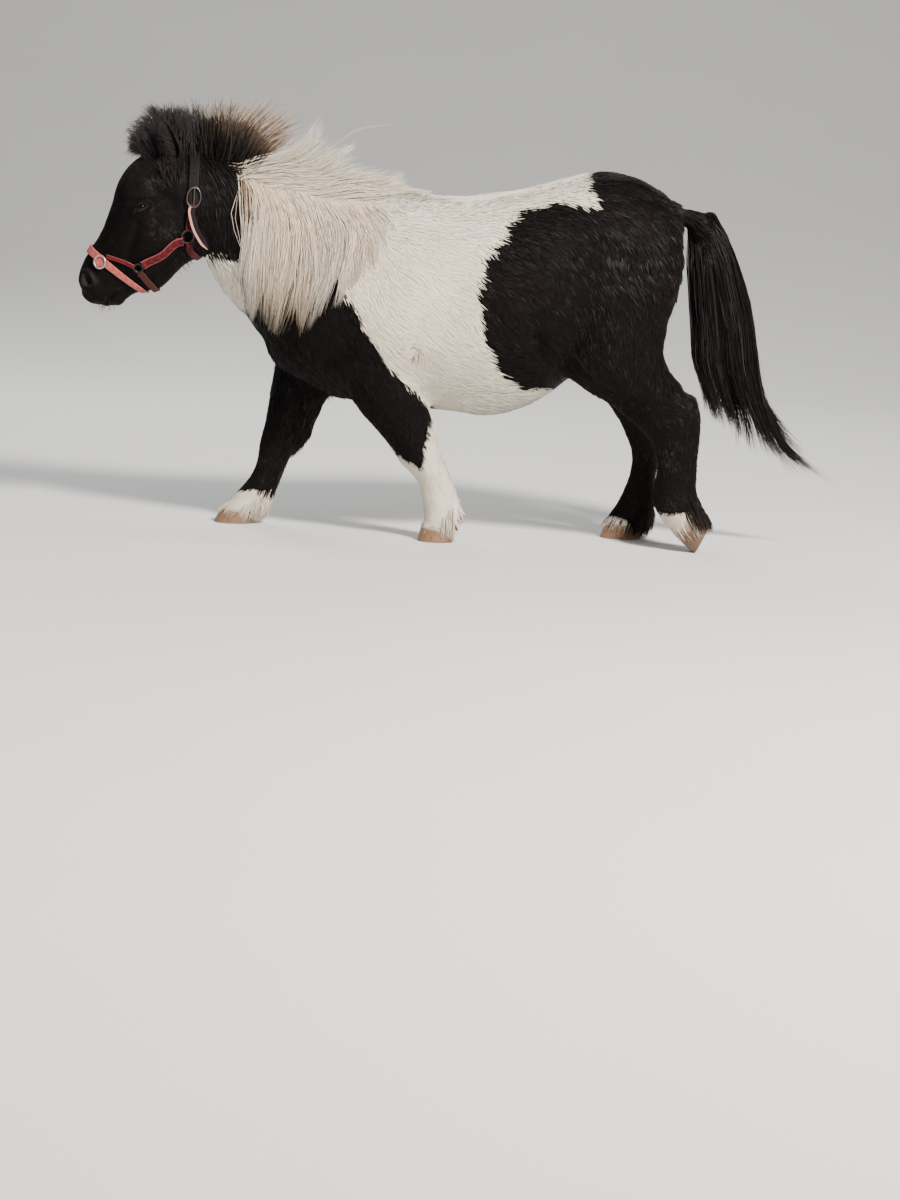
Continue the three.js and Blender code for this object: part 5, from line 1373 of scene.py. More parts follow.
# Long hair: how many strands each piece has, and how many points each strand's path has
STRANDS = {
    "mane_upright": (2300, 7), "mane_swept": (2100, 9), "mane_fall_left": (2500, 10),
    "mane_fall_right": (1200, 10), "forelock": (2600, 5), "tail_hair": (2100, 10),
    "tail_fuzz": (700, 5), "fetlock_hair": (2600, 5),
}
STRAY_STRANDS = 5


def upright_mane(body, finish):
    """Dark part behind the ears: it fans up and back from the crest, with sunbleached tips."""
    count, rings = STRANDS["mane_upright"]
    share = rng.random(count)
    marks = along_guides(FAN_MANE, share)
    y, drift = rng.normal(0, 10, count), rng.normal(0, 8, count)
    places = []
    for k in range(3):
        x = marks[:, k, 0] + drift * (1, .7, 1.2)[k] + rng.normal(0, 3 + 3 * k, count)
        side = y * (1, 1.3, 1.8)[k] + rng.normal(0, .1 + 5 * k, count)
        z = body.crest(x, side) - 6 if k == 0 else marks[:, k, 1] + rng.normal(0, 4, count)
        places.append(np.stack([x, side, z], 1))
    reach = .28 + .72 * rng.random(count) ** 1.05
    paths = cut(smooth_paths(np.stack(places, 1), 16), 0, reach, rings)
    paths, owner = gather(paths, 15, .4)
    paths = wave(paths, 8, 60)
    at = np.linspace(0, 1, rings)[None] * reach[:, None]
    bleached = .12 + .88 * ramp(share, .12, .45)[:, None]
    tan = ramp(at, .22, .7) * (.35 + .6 * rng.random((count, 1))) * bleached
    cream = (rng.random(count) < .45) & (share > .15)
    white = np.where(cream[:, None], ramp(at, .35, .65), 0) * .8
    width = 1.2 + 1.3 * rng.random(count)
    tone = np.clip(tones(owner)[:, None] + .6 * ramp(at, .3, .8), 0, 1)
    strands("mane_upright", paths, width, finish,
            {"whiteness": white, "tan": tan, "tone": tone})


def swept_mane(body, finish):
    """White part: each lock runs back along the crest and then curls up and out behind."""
    count, rings = STRANDS["mane_swept"]
    share = rng.random(count) ** .92
    marks = along_guides(SWEPT_MANE, share)
    over_fall = rng.random(count) < .34
    y = np.where(over_fall, -16 - 34 * rng.random(count), rng.normal(-6, 12, count))
    drift = rng.normal(0, 1, count) * (6 + 14 * ramp(share, 0, .3))
    lift = np.where(over_fall, .3, 1.05) * rng.random(count) ** np.where(over_fall, .75, .5) + .1
    places = []
    for k in range(4):
        x = marks[:, k, 0] + drift * (1 - .2 * k)
        side = y * (1 + np.where(over_fall, -.12, .12) * k) + rng.normal(0, .1 + 4 * k, count)
        low = body.crest(x, side)
        over = np.maximum(marks[:, k, 1] - low, 0) * lift + 3 + 5 * rng.random(count)
        places.append(np.stack([x, side, low + (over if k else -3)], 1))
    reach = .55 + .45 * rng.random(count) ** .5
    paths = cut(smooth_paths(np.stack(places, 1), 20), 0, reach, rings)
    paths, owner = gather(gather(paths, 120, .78, late=1.8)[0], 14, .6)
    paths = wave(paths, 12, 75)
    tan = np.where(rng.random(count) < .12, .5, .12) * rng.random(count)
    # The foremost locks start dark at the nape
    at = np.linspace(0, 1, rings)[None]
    white = np.where(share[:, None] < .13, ramp(at, .04, .3), 1)
    # Strands lying low under the lifted locks get a higher tone, which greys them: painted shade under the
    # locks
    under = .55 * ramp(-lift, -.5, -.15) * ~over_fall
    width = 1.3 + 1.5 * rng.random(count)
    tone = np.clip(tones(owner, .75) ** 1.4 * .9 + under, 0, 1)
    strands("mane_swept", paths, width, finish,
            {"whiteness": white, "tan": tan, "tone": tone})
    mark = np.array([(x, -12, z) for x, z in STRAY_LOCK], float)
    count = STRAY_STRANDS
    stray = smooth_paths(mark[None] + rng.normal(0, 1.6, (count, 1, 3)), 22)
    strands("mane_stray", wave(stray, 3, 60), np.full(count, 1.25), finish,
            {"whiteness": np.ones(count), "tan": np.full(count, .45), "tone": rng.random(count)})


def falling_mane(body, finish, side):
    """Long locks that hang down a side of the neck, over one another."""
    name = "mane_fall_left" if side < 0 else "mane_fall_right"
    count, rings = STRANDS[name]
    share = rng.random(count) ** 1.3
    marks = along_guides(FALLING_MANE, share)
    layer = rng.random(count)
    drift = rng.normal(0, 8, count) + 4 * ramp(-share, -.1, -.02)
    run = (15 + 45 * rng.random(count)) * ramp(share, 0, .25)
    field = np.stack([marks[:, 1, 0], 0 * share, layer * 90], 1)
    sway = 24 * lattice_noise(field, 46, 4) * (.3 + layer) + rng.normal(0, 6, count)
    loose = (rng.random(count) < .1) & (layer > .5)
    sway += np.where(loose, rng.normal(0, 30, count), 0)
    turn = rng.normal(0, .5, count)
    shorter = 0 if side < 0 else 85
    places = []
    for k, t in enumerate((0, .12, .34, .56, .78, 1.0)):
        x = marks[:, k, 0] + drift + sway * np.sin(t * 5.2 + turn) * min(1, t * 2.5)
        x = x - run * max(0, 1 - t * 4)
        if k == 0:
            y = 2 + 42 * rng.random(count)
            z = body.crest(x, side * y) - 2
        else:
            z = marks[:, k, 1] + shorter * t
            y = body.flank(x, z, side) + (2 + 15 * layer) * min(1, t * 3) + 12 * t * t * rng.random(count)
        places.append(np.stack([x, side * y, z], 1))
    short = rng.random(count) < .28 + .3 * ramp(share, .7, .9)
    reach = np.where(short, .3 + .5 * rng.random(count), .8 + .2 * rng.random(count))
    reach *= 1 - .75 * ramp(share, .78, 1) * rng.random(count)
    paths = cut(smooth_paths(np.stack(places, 1), 26), 0, reach, rings)
    paths, owner = gather(gather(paths, 45, .85, late=3.5)[0], 12, .66)
    paths = wave(paths, 10, 80)
    steps = np.linspace(0, 1, rings)[None]
    front = ramp(-share, -.15, -.07)
    rusty = rng.random(count) < .06 + .74 * front
    warm = rng.random(count)[owner] ** 2 * .34
    cream = warm + .3 * ramp(share, .06, .18) * ramp(-share, -.5, -.3)
    tan = np.where(rusty, .45 + .4 * rng.random(count), cream + .1 * rng.random(count))
    tan = tan[:, None] * (1 - .75 * rusty[:, None] * ramp(steps, .3, .7))
    dark = (rng.random(count) < .3 * front)[:, None] & (steps < .45)
    # Greyer tone in the middle of the fall, at the front and on the under layers is painted shade, as are
    # the locks given shadow
    painted_grey_shade = .45 * np.exp(-(((share - .5) / .12) ** 2)) + .45 * front
    shadow = np.where(rng.random(count)[owner] < .28, .62, .04)
    tone = np.clip(shadow + .35 * rng.random(count) + painted_grey_shade + .4 * (.5 - layer), 0, 1)
    tone = tone * (1 - .6 * ramp(share, .75, .9))
    strands(name, paths, 1.5 + 1.9 * rng.random(count), finish,
            {"whiteness": np.where(dark, .1, 1.0), "tan": tan, "tone": tone})


def forelock(body, finish):
    """Dark woolly tuft between and before the ears."""
    count, rings = STRANDS["forelock"]
    share = rng.random(count)
    marks = along_guides(FORELOCK, share)
    y = np.clip(rng.normal(0, 19, count), -46, 46)
    places = []
    for k in range(3):
        x = marks[:, k, 0] + rng.normal(0, 8, count)
        side = y * (1 + .25 * k) + rng.normal(0, .1 + 5 * k, count)
        z = body.crest(x, side) - 4 if k == 0 else marks[:, k, 1] + rng.normal(0, 6, count)
        places.append(np.stack([x, side, z], 1))
    reach = .3 + .7 * rng.random(count) ** .9
    paths = cut(smooth_paths(np.stack(places, 1), 14), 0, reach, rings)
    paths, owner = gather(paths, 14, .3)
    paths = wave(paths, 15, 24)
    paths[:, :, 1] = 62 * np.tanh(paths[:, :, 1] / 62)
    strands("forelock", paths, 1.0 + 1.1 * rng.random(count), finish,
            black_hair(tones(owner)))


# Half-width of the tail at shares of its length
TAIL_HALF_WIDTH = [(0, 12), (.12, 26), (.35, 42), (.6, 40), (.8, 26), (1, 8)]
TAIL_STEPS = 30
TAIL_CLEAR = 128


def tail_hair(finish, fuzz_finish):
    """Heavy tail that thins into loose curling locks, with short greyish hair over the dock."""
    count, rings = STRANDS["tail_hair"]
    share = np.clip(rng.random(count) * 1.04 - .02, 0, 1) ** 1.08
    marks = along_guides(TAIL_LOCKS, share)
    side = np.where(rng.random(count) < .5, -1, 1) * rng.random(count) ** .55
    around = np.sqrt(np.maximum(1 - (2 * share - 1) ** 2, .04))
    middle = smooth_paths(np.stack([marks[:, :, 0], 0 * marks[:, :, 0], marks[:, :, 1]], 2), TAIL_STEPS)
    half = np.interp(np.linspace(0, 1, TAIL_STEPS), *np.transpose(TAIL_HALF_WIDTH))
    paths = middle.copy()
    paths[:, :, 1] = half[None] * (side * around)[:, None]
    paths[:, :, 0] += rng.normal(0, 4, count)[:, None]
    start = .3 * rng.random(count) ** 2
    end = np.where(rng.random(count) < .3, .4 + .4 * rng.random(count), .85 + .15 * rng.random(count))
    # The longest locks stay apart from the rest and swing out behind
    longest = np.exp(-(((share - .875) / .045) ** 2))
    end = np.maximum(end, longest * (.8 + .2 * rng.random(count)))
    loose = cut(paths, start, end, rings)
    paths, owner = gather(loose, 32, .94, .4)
    paths = wave(paths + (loose - paths) * (.85 * longest)[:, None, None], 11, 75)
    paths[:, :, 2] = np.maximum(paths[:, :, 2], TAIL_CLEAR)
    strands("tail_hair", paths, 2.2 + 2.4 * rng.random(count), finish,
            black_hair(tones(owner) ** 2), replaced=("tail",))
    count, rings = STRANDS["tail_fuzz"]
    start = .16 * rng.random(count)
    paths = middle[:count]
    paths[:, :, 1] = half[None] * (side * around)[:count, None] * 1.05
    paths = cut(paths, start, start + .07 + .06 * rng.random(count), rings)
    outward = np.array([.7, 0, .7]) * (2 * share[:count, None] - .7)
    outward = outward + side[:count, None] * np.array([0, .5, 0])
    paths += outward[:, None] * np.linspace(-2, 9, rings)[None, :, None]
    strands("tail_fuzz", wave(paths, 4, 30), 1.3 + rng.random(count), fuzz_finish,
            black_hair(rng.random(count)))


def fetlock_hair(points, faces, normals, finish):
    """Long hair that hangs from the pasterns over the hooves, longest behind."""
    def density(places):
        rows_leg = leg_of(places)
        height = above_hoof(places, rows_leg)
        behind = heel_share(places, rows_leg)
        return (rows_leg >= 0) * (height > -4) * (height < 24 + 38 * behind) * (.9 + 1.7 * behind)

    count, rings = STRANDS["fetlock_hair"]
    chosen, roots = sample_surface(points, faces, density, count)
    normal = unit(normals[faces[chosen]].mean(1))
    legs = leg_of(roots)
    behind = heel_share(roots, legs)
    way = np.array([hoof_way(name) for name in LEGS])[legs]
    down = unit(way * (1 - .35 * behind[:, None]) + np.array([0, 0, -1]) * (.2 + .5 * behind[:, None]))
    down = along_surface(down, normal)
    height = np.clip(above_hoof(roots, legs), 0, 40)
    length = .75 * height + 18 + 6 * behind + 16 * rng.random(count) + 9 * (legs == 2)
    out = 3.5 + 4 * behind + 3 * rng.random(count)
    spread_out = normal * out[:, None]
    first = roots + down * (length * .4)[:, None] + spread_out * .8
    tip = roots + down * length[:, None] + spread_out
    tip[:, 2] = np.maximum(tip[:, 2], 3)
    first[:, 2] = np.maximum(first[:, 2], 5)
    paths = smooth_paths(np.stack([roots - normal * 2, first, tip], 1), rings)
    paths = wave(gather(paths, 8, .5)[0], 3, 30)
    white = np.clip(.5 + (whiteness(roots) + rng.normal(0, 3, count)) * .5, 0, 1)
    tan = (.1 + .5 * ramp(np.linspace(0, 1, rings), .4, 1))[None] * rng.random((count, 1))
    tan = tan * np.where(white > .5, .8, .22)[:, None]
    strands("fetlock_hair", paths, 1.5 + 1.3 * rng.random(count), finish,
            {"whiteness": white, "tan": tan, "tone": .6 * rng.random(count)})


def hoof_way(name):
    """Direction down the hoof, from the coronet to the ground."""
    top, bottom = HOOVES[name][0], HOOVES[name][-1]
    way = (bottom[0] + bottom[2] - top[0] - top[2], 0, bottom[1] + bottom[3] - top[1] - top[3])
    return unit(np.array(way, float))


def above_hoof(points, legs):
    """Height over the coronet, measured back up the hoof's own direction."""
    out = np.full(len(points), 1e3)
    for index, name in enumerate(LEGS):
        top = HOOVES[name][0]
        centre = np.array([(top[0] + top[2]) / 2, (top[1] + top[3]) / 2])
        slope = np.array([top[0] - top[2], top[1] - top[3]], float)
        normal = np.array([-slope[1], slope[0]]) / np.linalg.norm(slope)
        normal *= np.sign(normal[1])
        mask = legs == index
        out[mask] = (points[mask][:, [0, 2]] - centre) @ normal
    return out


def heel_share(points, legs):
    """0 at the front of a pastern and 1 at its back."""
    out = np.zeros(len(points))
    for index, name in enumerate(LEGS):
        line = middle_line(LEGS[name])
        mask = legs == index
        x, z = points[mask, 0], points[mask, 2]
        centre = np.interp(-z, -line[:, 1], line[:, 0])
        out[mask] = ramp((x - centre) / 40, -.4, .7)
    return out


# Head collar
STRAP_CLEAR, STRAP_THICK = 1.5, 3.0
CHEEK_RING, LOWER_RING, NOSE_SLIDE, BUCKLE = (-656, 699), (-768, 618), (-860, 626), (-641, 786)
CHEEKPIECE = [(-667, 691), (-712, 656), (-759, 624)]
CHEEK_TAB = [(-642, 771), (-648, 742), (-655, 712)]
NOSE_TAB = [(-846, 640), (-810, 630), (-777, 620)]
CHIN_STRAP, CHIN_MIDDLE = [(-766, 608), (-748, 584)], 7.05
THROAT_STRAP, THROAT_MIDDLE = [(-655, 686), (-648, 660)], 1.3
CROWN_STRAP, CROWN_MIDDLE = [(-641, 768), (-644, 850)], .1
STRAP_END = [(-643, -86, 764), (-644, -88, 750), (-634, -91, 716), (-618, -92, 688), (-603, -91, 669)]
STRAP_END_STEPS = 44
NOSEBAND_AT, NOSEBAND_SPAN, NOSEBAND_STEPS = 8.02, .31, 72


def head_row(marks, side, steps):
    """Row of points and normals on the head through marks of station and angle."""
    path = smooth_paths(np.array(marks, float)[None], steps)[0]
    point, normal = on_head(path[:, 0], path[:, 1], STRAP_CLEAR)
    mirror = np.array([1, -1 if side > 0 else 1, 1])
    return point * mirror, normal * mirror


def over_cheek(places, side, steps):
    return head_row([cheek_place(*place) for place in places], side, steps)


def around_head(places, middle, angle, steps):
    left = [cheek_place(*place) for place in places]
    whole = math.pi if angle < math.pi else 3 * math.pi
    right = [(at, whole - turn) for at, turn in left[::-1]]
    return head_row([*left, (middle, angle), *right], -1, steps)


# Cross-section of a strap: places across its width and up its thickness, with rounded edges
STRAP_SECTION = [
    (-1, .3), (-.97, .06), (-.9, 0), (-.45, 0), (0, 0), (.45, 0), (.9, 0), (.97, .06), (1, .3), (1, .7),
    (.97, .92), (.9, 1), (.6, 1), (.3, 1), (0, 1), (-.3, 1), (-.6, 1), (-.9, 1), (-.97, .92), (-1, .7),
]


def strap(name, row, width, finish, closed=False, across=None, folds="", taper=0):
    """Flat strap swept along a row of surface points, its inner face clear of the surface. At
    the ends named in folds it is turned back double over the wire of a ring."""
    points, normals = row
    thickness = np.full(len(points), STRAP_THICK)
    way = np.concatenate([[0], np.cumsum(np.linalg.norm(np.diff(points, axis=0), axis=1))])
    for end, distance in (("s", way), ("e", way[-1] - way)):
        if end in folds:
            over = 5.2 * np.exp(-(((distance - 4) / 4.5) ** 2))
            points = points + normals * (over - 1.2 * (distance < 2))[:, None]
            thickness += 1.9 * (1 - ramp(distance, 17, 19)) * ramp(distance, -1, 3)
    count = len(points)
    if across is None:
        if closed:
            along = unit(np.roll(points, -1, 0) - np.roll(points, 1, 0))
        else:
            along = unit(np.gradient(points, axis=0))
        across = unit(np.cross(along, normals)) * width / 2
    lengths = np.concatenate([[0], np.cumsum(np.linalg.norm(np.diff(points, axis=0), axis=1))]) * MM
    rings, sides, ways = [], [], []
    width_share = np.ones(len(points)) if not taper else np.minimum(1, .35 + (way[-1] - way) / taper)
    across = across * width_share[:, None]
    for place, rise in STRAP_SECTION:
        rings.append(points + across * place + normals * (thickness * rise)[:, None])
        sides.append(np.full(count, place))
        ways.append(lengths)
    grid = np.stack(rings, 1).reshape(-1, 3)
    numbers = {"across": np.stack(sides, 1).ravel(), "length": np.stack(ways, 1).ravel()}
    piece = new_mesh(name, grid, ring_faces(count, len(STRAP_SECTION), closed), numbers)
    close_mesh(piece, 40)
    finish_piece(piece, finish, (name,))


def set_down(piece, point, upward, stretch=(1, 1, 1)):
    """Stretches a new primitive, turns its axis upward and sets it down at a point."""
    turn = Vector((0, 0, 1)).rotation_difference(Vector(upward)).to_matrix().to_4x4()
    place = Matrix.Translation(Vector((point + SHIFT) * MM))
    piece.matrix_world = place @ turn @ Matrix.Diagonal((*stretch, 1))
    bpy.ops.object.transform_apply(location=True, rotation=True, scale=True)


def wire_ring(name, place, side, lift, radius, wire, squeeze, finish):
    """Round or oval ring of wire lying on the straps."""
    point, normal = over_cheek([place, place], side, 2)
    point, normal = point[0] + normal[0] * lift, normal[0]
    deselect_all()
    bpy.ops.mesh.primitive_torus_add(
        major_radius=radius * MM, minor_radius=wire * MM, major_segments=56, minor_segments=14
    )
    ring = bpy.context.object
    ring.name = name
    set_down(ring, point, normal, (squeeze, 1, 1))
    bpy.ops.object.shade_smooth()
    finish_piece(ring, finish, (name,))


# Webbing of the straps: main and second colour, edge, and how strongly the second one shows
WEBBINGS = [
    ("webbing_pink", (.50, .085, .075, 1), (.62, .22, .19, 1), (.60, .16, .14, 1), .45),
    ("webbing_red", (.055, .0015, .005, 1), (.20, .010, .018, 1), (.34, .07, .07, 1), .55),
    ("webbing_throat", (.075, .003, .006, 1), (.045, .002, .004, 1), (.09, .006, .009, 1), .5),
    ("webbing_crimson", (.15, .006, .010, 1), (.08, .003, .006, 1), (.34, .08, .07, 1), .5),
    ("webbing_rust", (.060, .014, .008, 1), (.04, .008, .006, 1), (.085, .024, .014, 1), .5),
]


def add_head_collar():
    pink, red, throat_red, crimson, rust = (webbing_finish(*row) for row in WEBBINGS)
    leather, edged = leather_finish("leather_crown", .03), leather_finish("leather_end", 1.0, .25)
    pale_metal = metal_finish("slide_metal", (.50, .34, .31, 1), (.66, .50, .46, 1))
    dark_metal = metal_finish("ring_metal_dark", (.012, .011, .012, 1), (.045, .04, .04, 1))
    grey_metal = metal_finish("buckle_metal", (.08, .075, .08, 1), (.17, .16, .165, 1))
    angles = np.arange(NOSEBAND_STEPS) * 2 * math.pi / NOSEBAND_STEPS
    low, middle, high = (
        on_head(np.full(NOSEBAND_STEPS, NOSEBAND_AT + span), angles, STRAP_CLEAR)
        for span in (-NOSEBAND_SPAN, 0, NOSEBAND_SPAN)
    )
    low, normal, high = low[0], middle[1], high[0]
    strap("halter_noseband", ((low + high) / 2, normal), 0, pink, True, (low - high) / 2)
    strap("halter_crown_strap", around_head(CROWN_STRAP, CROWN_MIDDLE, math.pi / 2, 80), 23, leather)
    chin = around_head(CHIN_STRAP, CHIN_MIDDLE, 1.5 * math.pi, 60)
    strap("halter_chin_strap", chin, 15, rust, folds="se")
    throat = around_head(THROAT_STRAP, THROAT_MIDDLE, 1.5 * math.pi, 70)
    strap("halter_throat_strap", throat, 15, throat_red, folds="se")
    for name, side in (("left", -1), ("right", 1)):
        cheek = over_cheek(CHEEKPIECE, side, 60)
        strap(f"halter_cheekpiece_{name}", cheek, 20, red, folds="se")
        tab = over_cheek(CHEEK_TAB, side, 36)
        strap(f"halter_cheek_tab_{name}", tab, 15, throat_red, folds="se")
        tab = over_cheek(NOSE_TAB, side, 36)
        strap(f"halter_nose_tab_{name}", tab, 9, crimson, folds="e")
        wire_ring(f"halter_cheek_ring_{name}", CHEEK_RING, side, 3.6, 15.5, 2.8, 1, dark_metal)
        wire_ring(f"halter_lower_ring_{name}", LOWER_RING, side, 3.6, 10.5, 2.3, 1, dark_metal)
        wire_ring(f"halter_nose_slide_{name}", NOSE_SLIDE, side, 6.4, 15, 2.9, .92, pale_metal)
        slide_fold(f"noseband_fold_{name}", side, pink)
        wire_ring(f"halter_buckle_{name}", BUCKLE, side, 7.2, 23.5, 2.5, .68, grey_metal)
    path = smooth_paths(np.array(STRAP_END, float)[None], STRAP_END_STEPS)[0]
    facing = np.tile(unit(np.array([.15, -1, 0])), (STRAP_END_STEPS, 1))
    strap("halter_strap_end", (path, facing), 16, edged, taper=26)
    buckle_pins(grey_metal)


def slide_fold(name, side, finish):
    """Doubled end of the noseband, held in its slide."""
    point, normal = over_cheek([NOSE_SLIDE, NOSE_SLIDE], side, 2)
    point, normal = point[0] + normal[0] * 3.6, normal[0]
    deselect_all()
    bpy.ops.mesh.primitive_uv_sphere_add(segments=48, ring_count=24, radius=14 * MM)
    piece = bpy.context.object
    piece.name = name
    set_down(piece, point, normal, (.92, 1, .17))
    bpy.ops.object.shade_smooth()
    points = mesh_points(piece)
    across = (points - point) @ unit(np.array([.75, 0, -.66])) / 15
    store_numbers(piece.data, {"across": across, "length": points[:, 0] * MM})
    finish_piece(piece, finish)


def buckle_pins(finish):
    """Tongue of each buckle, from its lower bar to its upper one."""
    for name, side in (("left", -1), ("right", 1)):
        low, high = (over_cheek([(BUCKLE[0], BUCKLE[1] + rise)] * 2, side, 2) for rise in (-20, 21))
        start, end = low[0][0] + low[1][0] * 7, high[0][0] + high[1][0] * 9.5
        way = Vector(end - start)
        deselect_all()
        bpy.ops.mesh.primitive_cylinder_add(vertices=14, radius=.0015, depth=way.length * MM)
        pin = bpy.context.object
        pin.name = f"buckle_tongue_{name}"
        bpy.ops.object.mode_set(mode="EDIT")
        bpy.ops.mesh.select_all(action="SELECT")
        bpy.ops.mesh.bevel(offset=.0005, segments=2)
        bpy.ops.object.mode_set(mode="OBJECT")
        set_down(pin, (start + end) / 2, way.normalized())
        bpy.ops.object.shade_smooth_by_angle(angle=math.radians(40))
        finish_piece(pin, finish)


# Hooves: stations from the coronet to the ground
HOOVES = {
    "fore_left": [(-76, 36, 4, 27, 37, 92), (-80, 18, 3, 13, 38, 92), (-85, 0, 2, 0, 39, 92)],
    "fore_right": [(-567, 36, -478, 26, 37, 92), (-577, 18, -484, 13, 38, 92), (-587, 0, -490, 0, 39, 92)],
    "hind_left": [(522, 44, 598, 88, 35, 100), (546, 22, 602, 76, 36, 100), (575, -3, 607, 66, 37, 100)],
    "hind_right": [(372, 36, 466, 26, 37, 100), (366, 18, 463, 13, 38, 100), (360, 0, 460, 0, 39, 100)],
}
HOOF_AROUND = 72


def add_hoof(name, finish):
    side = -1 if "left" in name else 1
    rows = full_rows(HOOVES[name], side)
    rows[:, 6:8] = 2.2
    angles = np.arange(HOOF_AROUND) * 2 * math.pi / HOOF_AROUND
    rings, down, sole = [], [], []

    def add_ring(points, at, under=0.0):
        rings.append(points)
        down.append(np.full(HOOF_AROUND, at))
        sole.append(np.full(HOOF_AROUND, under))

    top = on_rows(rows, np.zeros(HOOF_AROUND), angles)
    way = unit((on_rows(rows, np.full(HOOF_AROUND, .2), angles) - top).mean(0))
    add_ring(top.mean(0) + (top - top.mean(0)) * .8 - way * 5, 0)
    for at in np.linspace(0, 1, 22):
        ring = on_rows(rows, np.full(HOOF_AROUND, at * (len(rows) - 1)), angles)
        centre = ring.mean(0)
        bulge = .015 * math.exp(-((at - .06) / .05) ** 2) + .007 * math.sin(at * 52 + 1) - .03 * (at < .02)
        flare = -.02 * (at > .985)
        add_ring(centre + (ring - centre) * (1 + bulge + flare), at)
    rim = rings[-1]
    centre = rim.mean(0)
    # Sole: rim of the wall, pale line, hollow sole and the frog from the heel forward
    forward = unit(rim[np.argmax(np.sin(angles))] - centre)
    for scale, hollow in ((.93, 0), (.89, 1.0), (.84, 3.2), (.6, 5.0), (.4, 5.4), (.2, 5.4), (.02, 5.4)):
        ring = centre + (rim - centre) * scale
        ahead = (ring - centre) @ forward
        across = np.abs(ring - centre)[:, 1]
        frog = np.clip(1 - across / np.clip(13 - .32 * (ahead + 10), 2, 16), 0, 1) * (ahead < 16)
        lift = np.maximum(hollow - 4.5 * ramp(frog, 0, .4), 0)
        add_ring(ring - way * lift[:, None], 1.0, 1.0)
    points = np.concatenate(rings)
    points[:, 2] = np.maximum(points[:, 2], 0)
    around = np.tile(np.abs(angles / math.pi - 1), len(rings))
    numbers = {"down": np.concatenate(down), "around": around, "sole": np.concatenate(sole)}
    piece = new_mesh(f"hoof_{name}", points, ring_faces(len(rings), HOOF_AROUND), numbers)
    close_mesh(piece, 50)
    finish_piece(piece, finish, (f"hoof_{name}",))


def close_mesh(piece, angle):
    """Fills open ends and turns all faces outward."""
    mesh = bmesh.new()
    mesh.from_mesh(piece.data)
    bmesh.ops.holes_fill(mesh, edges=[edge for edge in mesh.edges if edge.is_boundary])
    bmesh.ops.recalc_face_normals(mesh, faces=mesh.faces)
    mesh.to_mesh(piece.data)
    mesh.free()
    deselect_all()
    bpy.context.view_layer.objects.active = piece
    piece.select_set(True)
    bpy.ops.object.shade_smooth_by_angle(angle=math.radians(angle))


def add_eye(side, finish):
    """Eyeball with its clear dome, and the numbers that place its iris."""
    name = "eye_left" if side < 0 else "eye_right"
    centre, normal, forward, upward = eye_frame(side)
    deselect_all()
    bpy.ops.mesh.primitive_uv_sphere_add(segments=64, ring_count=40, radius=EYE_RADIUS * MM)
    ball = bpy.context.object
    ball.name = name
    local = np.array([vertex.co[:] for vertex in ball.data.vertices]) / MM
    aside, rise, out = local[:, 0] / EYE_RADIUS, local[:, 1] / EYE_RADIUS, local[:, 2] / EYE_RADIUS
    dome = 1.1 * ramp(out, .78, 1.0)
    local = local + local / EYE_RADIUS * dome[:, None]
    local[:, 2] = np.maximum(local[:, 2], -5)
    points = centre + local[:, :1] * forward + local[:, 1:2] * upward + local[:, 2:] * normal
    set_points(ball, points)
    angle = np.arccos(np.clip(out, -1, 1))
    around = np.hypot(aside, rise) + 1e-9
    store_numbers(ball.data, {"aside": aside / around * angle, "rise": rise / around * angle})
    close_mesh(ball, 80)
    finish_piece(ball, finish, (name,))


LID_AROUND = 96
# Rows of a lid: distance outward from the rim along the lid, and height over the flesh there
LID_ROWS = [
    (-1.5, -1.2), (-.6, .3), (.2, 1.0), (1.4, 1.5), (2.8, 1.2), (4.0, -.1), (5.0, -.9), (6.4, .9),
    (7.6, 1.0), (9.0, -.9), (10.4, -.6), (12.4, -2.6), (14, -4.6), (15.5, -7),
]


def eyelids(side):
    """Both lids of an eye in one ring round its opening: points, faces and outward rows."""
    centre, normal, forward, upward = eye_frame(side)
    turn = np.arange(LID_AROUND) * 2 * math.pi / LID_AROUND
    bow = np.where(np.sin(turn) >= 0, UPPER_BOW, -LOWER_BOW) * np.abs(np.sin(turn)) ** .9
    aside = -np.cos(turn) * EYE_OPENING
    arm = (np.cos(aside) * np.cos(bow))[:, None] * normal - (np.sin(aside) * np.cos(bow))[:, None] * forward
    arm = arm + np.sin(bow)[:, None] * upward
    rim = centre + arm * EYE_RADIUS
    outward = unit(arm - (arm @ normal)[:, None] * normal)
    rings = []
    level, flesh = (arm @ normal) * EYE_RADIUS, EYE_RADIUS - EYE_STANDS - .5
    for distance, height in LID_ROWS:
        drop = (level - flesh) * ramp(distance, 0, 13)
        crease = height * (1 if distance < 3 else .8 + .5 * np.sin(turn * 3 + distance))
        rings.append(rim + outward * distance + normal * (crease - drop)[:, None])
    under = rings[-1] - normal * 7
    inner = rings[0] - normal * 5 + outward * 1.5
    rings += [under, inner]
    reach = np.repeat([distance for distance, _ in LID_ROWS] + [16, -2], LID_AROUND)
    return np.concatenate(rings), ring_faces(len(rings), LID_AROUND, True), reach


EAR_BASE, EAR_TIP, EAR_FACING = (-692, 60, 836), (-713, 76, 957), (-.6, .75, 0)
EAR_LENGTH, EAR_WIDTH, EAR_DEPTH, EAR_BEND = 120, 32, 24, 5
EAR_CUP, EAR_RIM = 25, 31
EAR_STEPS, EAR_AROUND = 31, 34


def ear_frame(side):
    mirror = np.array([1, side, 1.0])
    base, tip = np.array(EAR_BASE) * mirror, np.array(EAR_TIP) * mirror
    along = tip - base
    facing = along_surface(np.array(EAR_FACING) * mirror, unit(along))
    return base, along, facing, unit(np.cross(along, facing))


def ear_leaf(t):
    """Share of the ear's full width at a share of its length."""
    return math.sin(math.pi * min(1, .16 + .84 * max(t, 0)) ** .85) ** .62


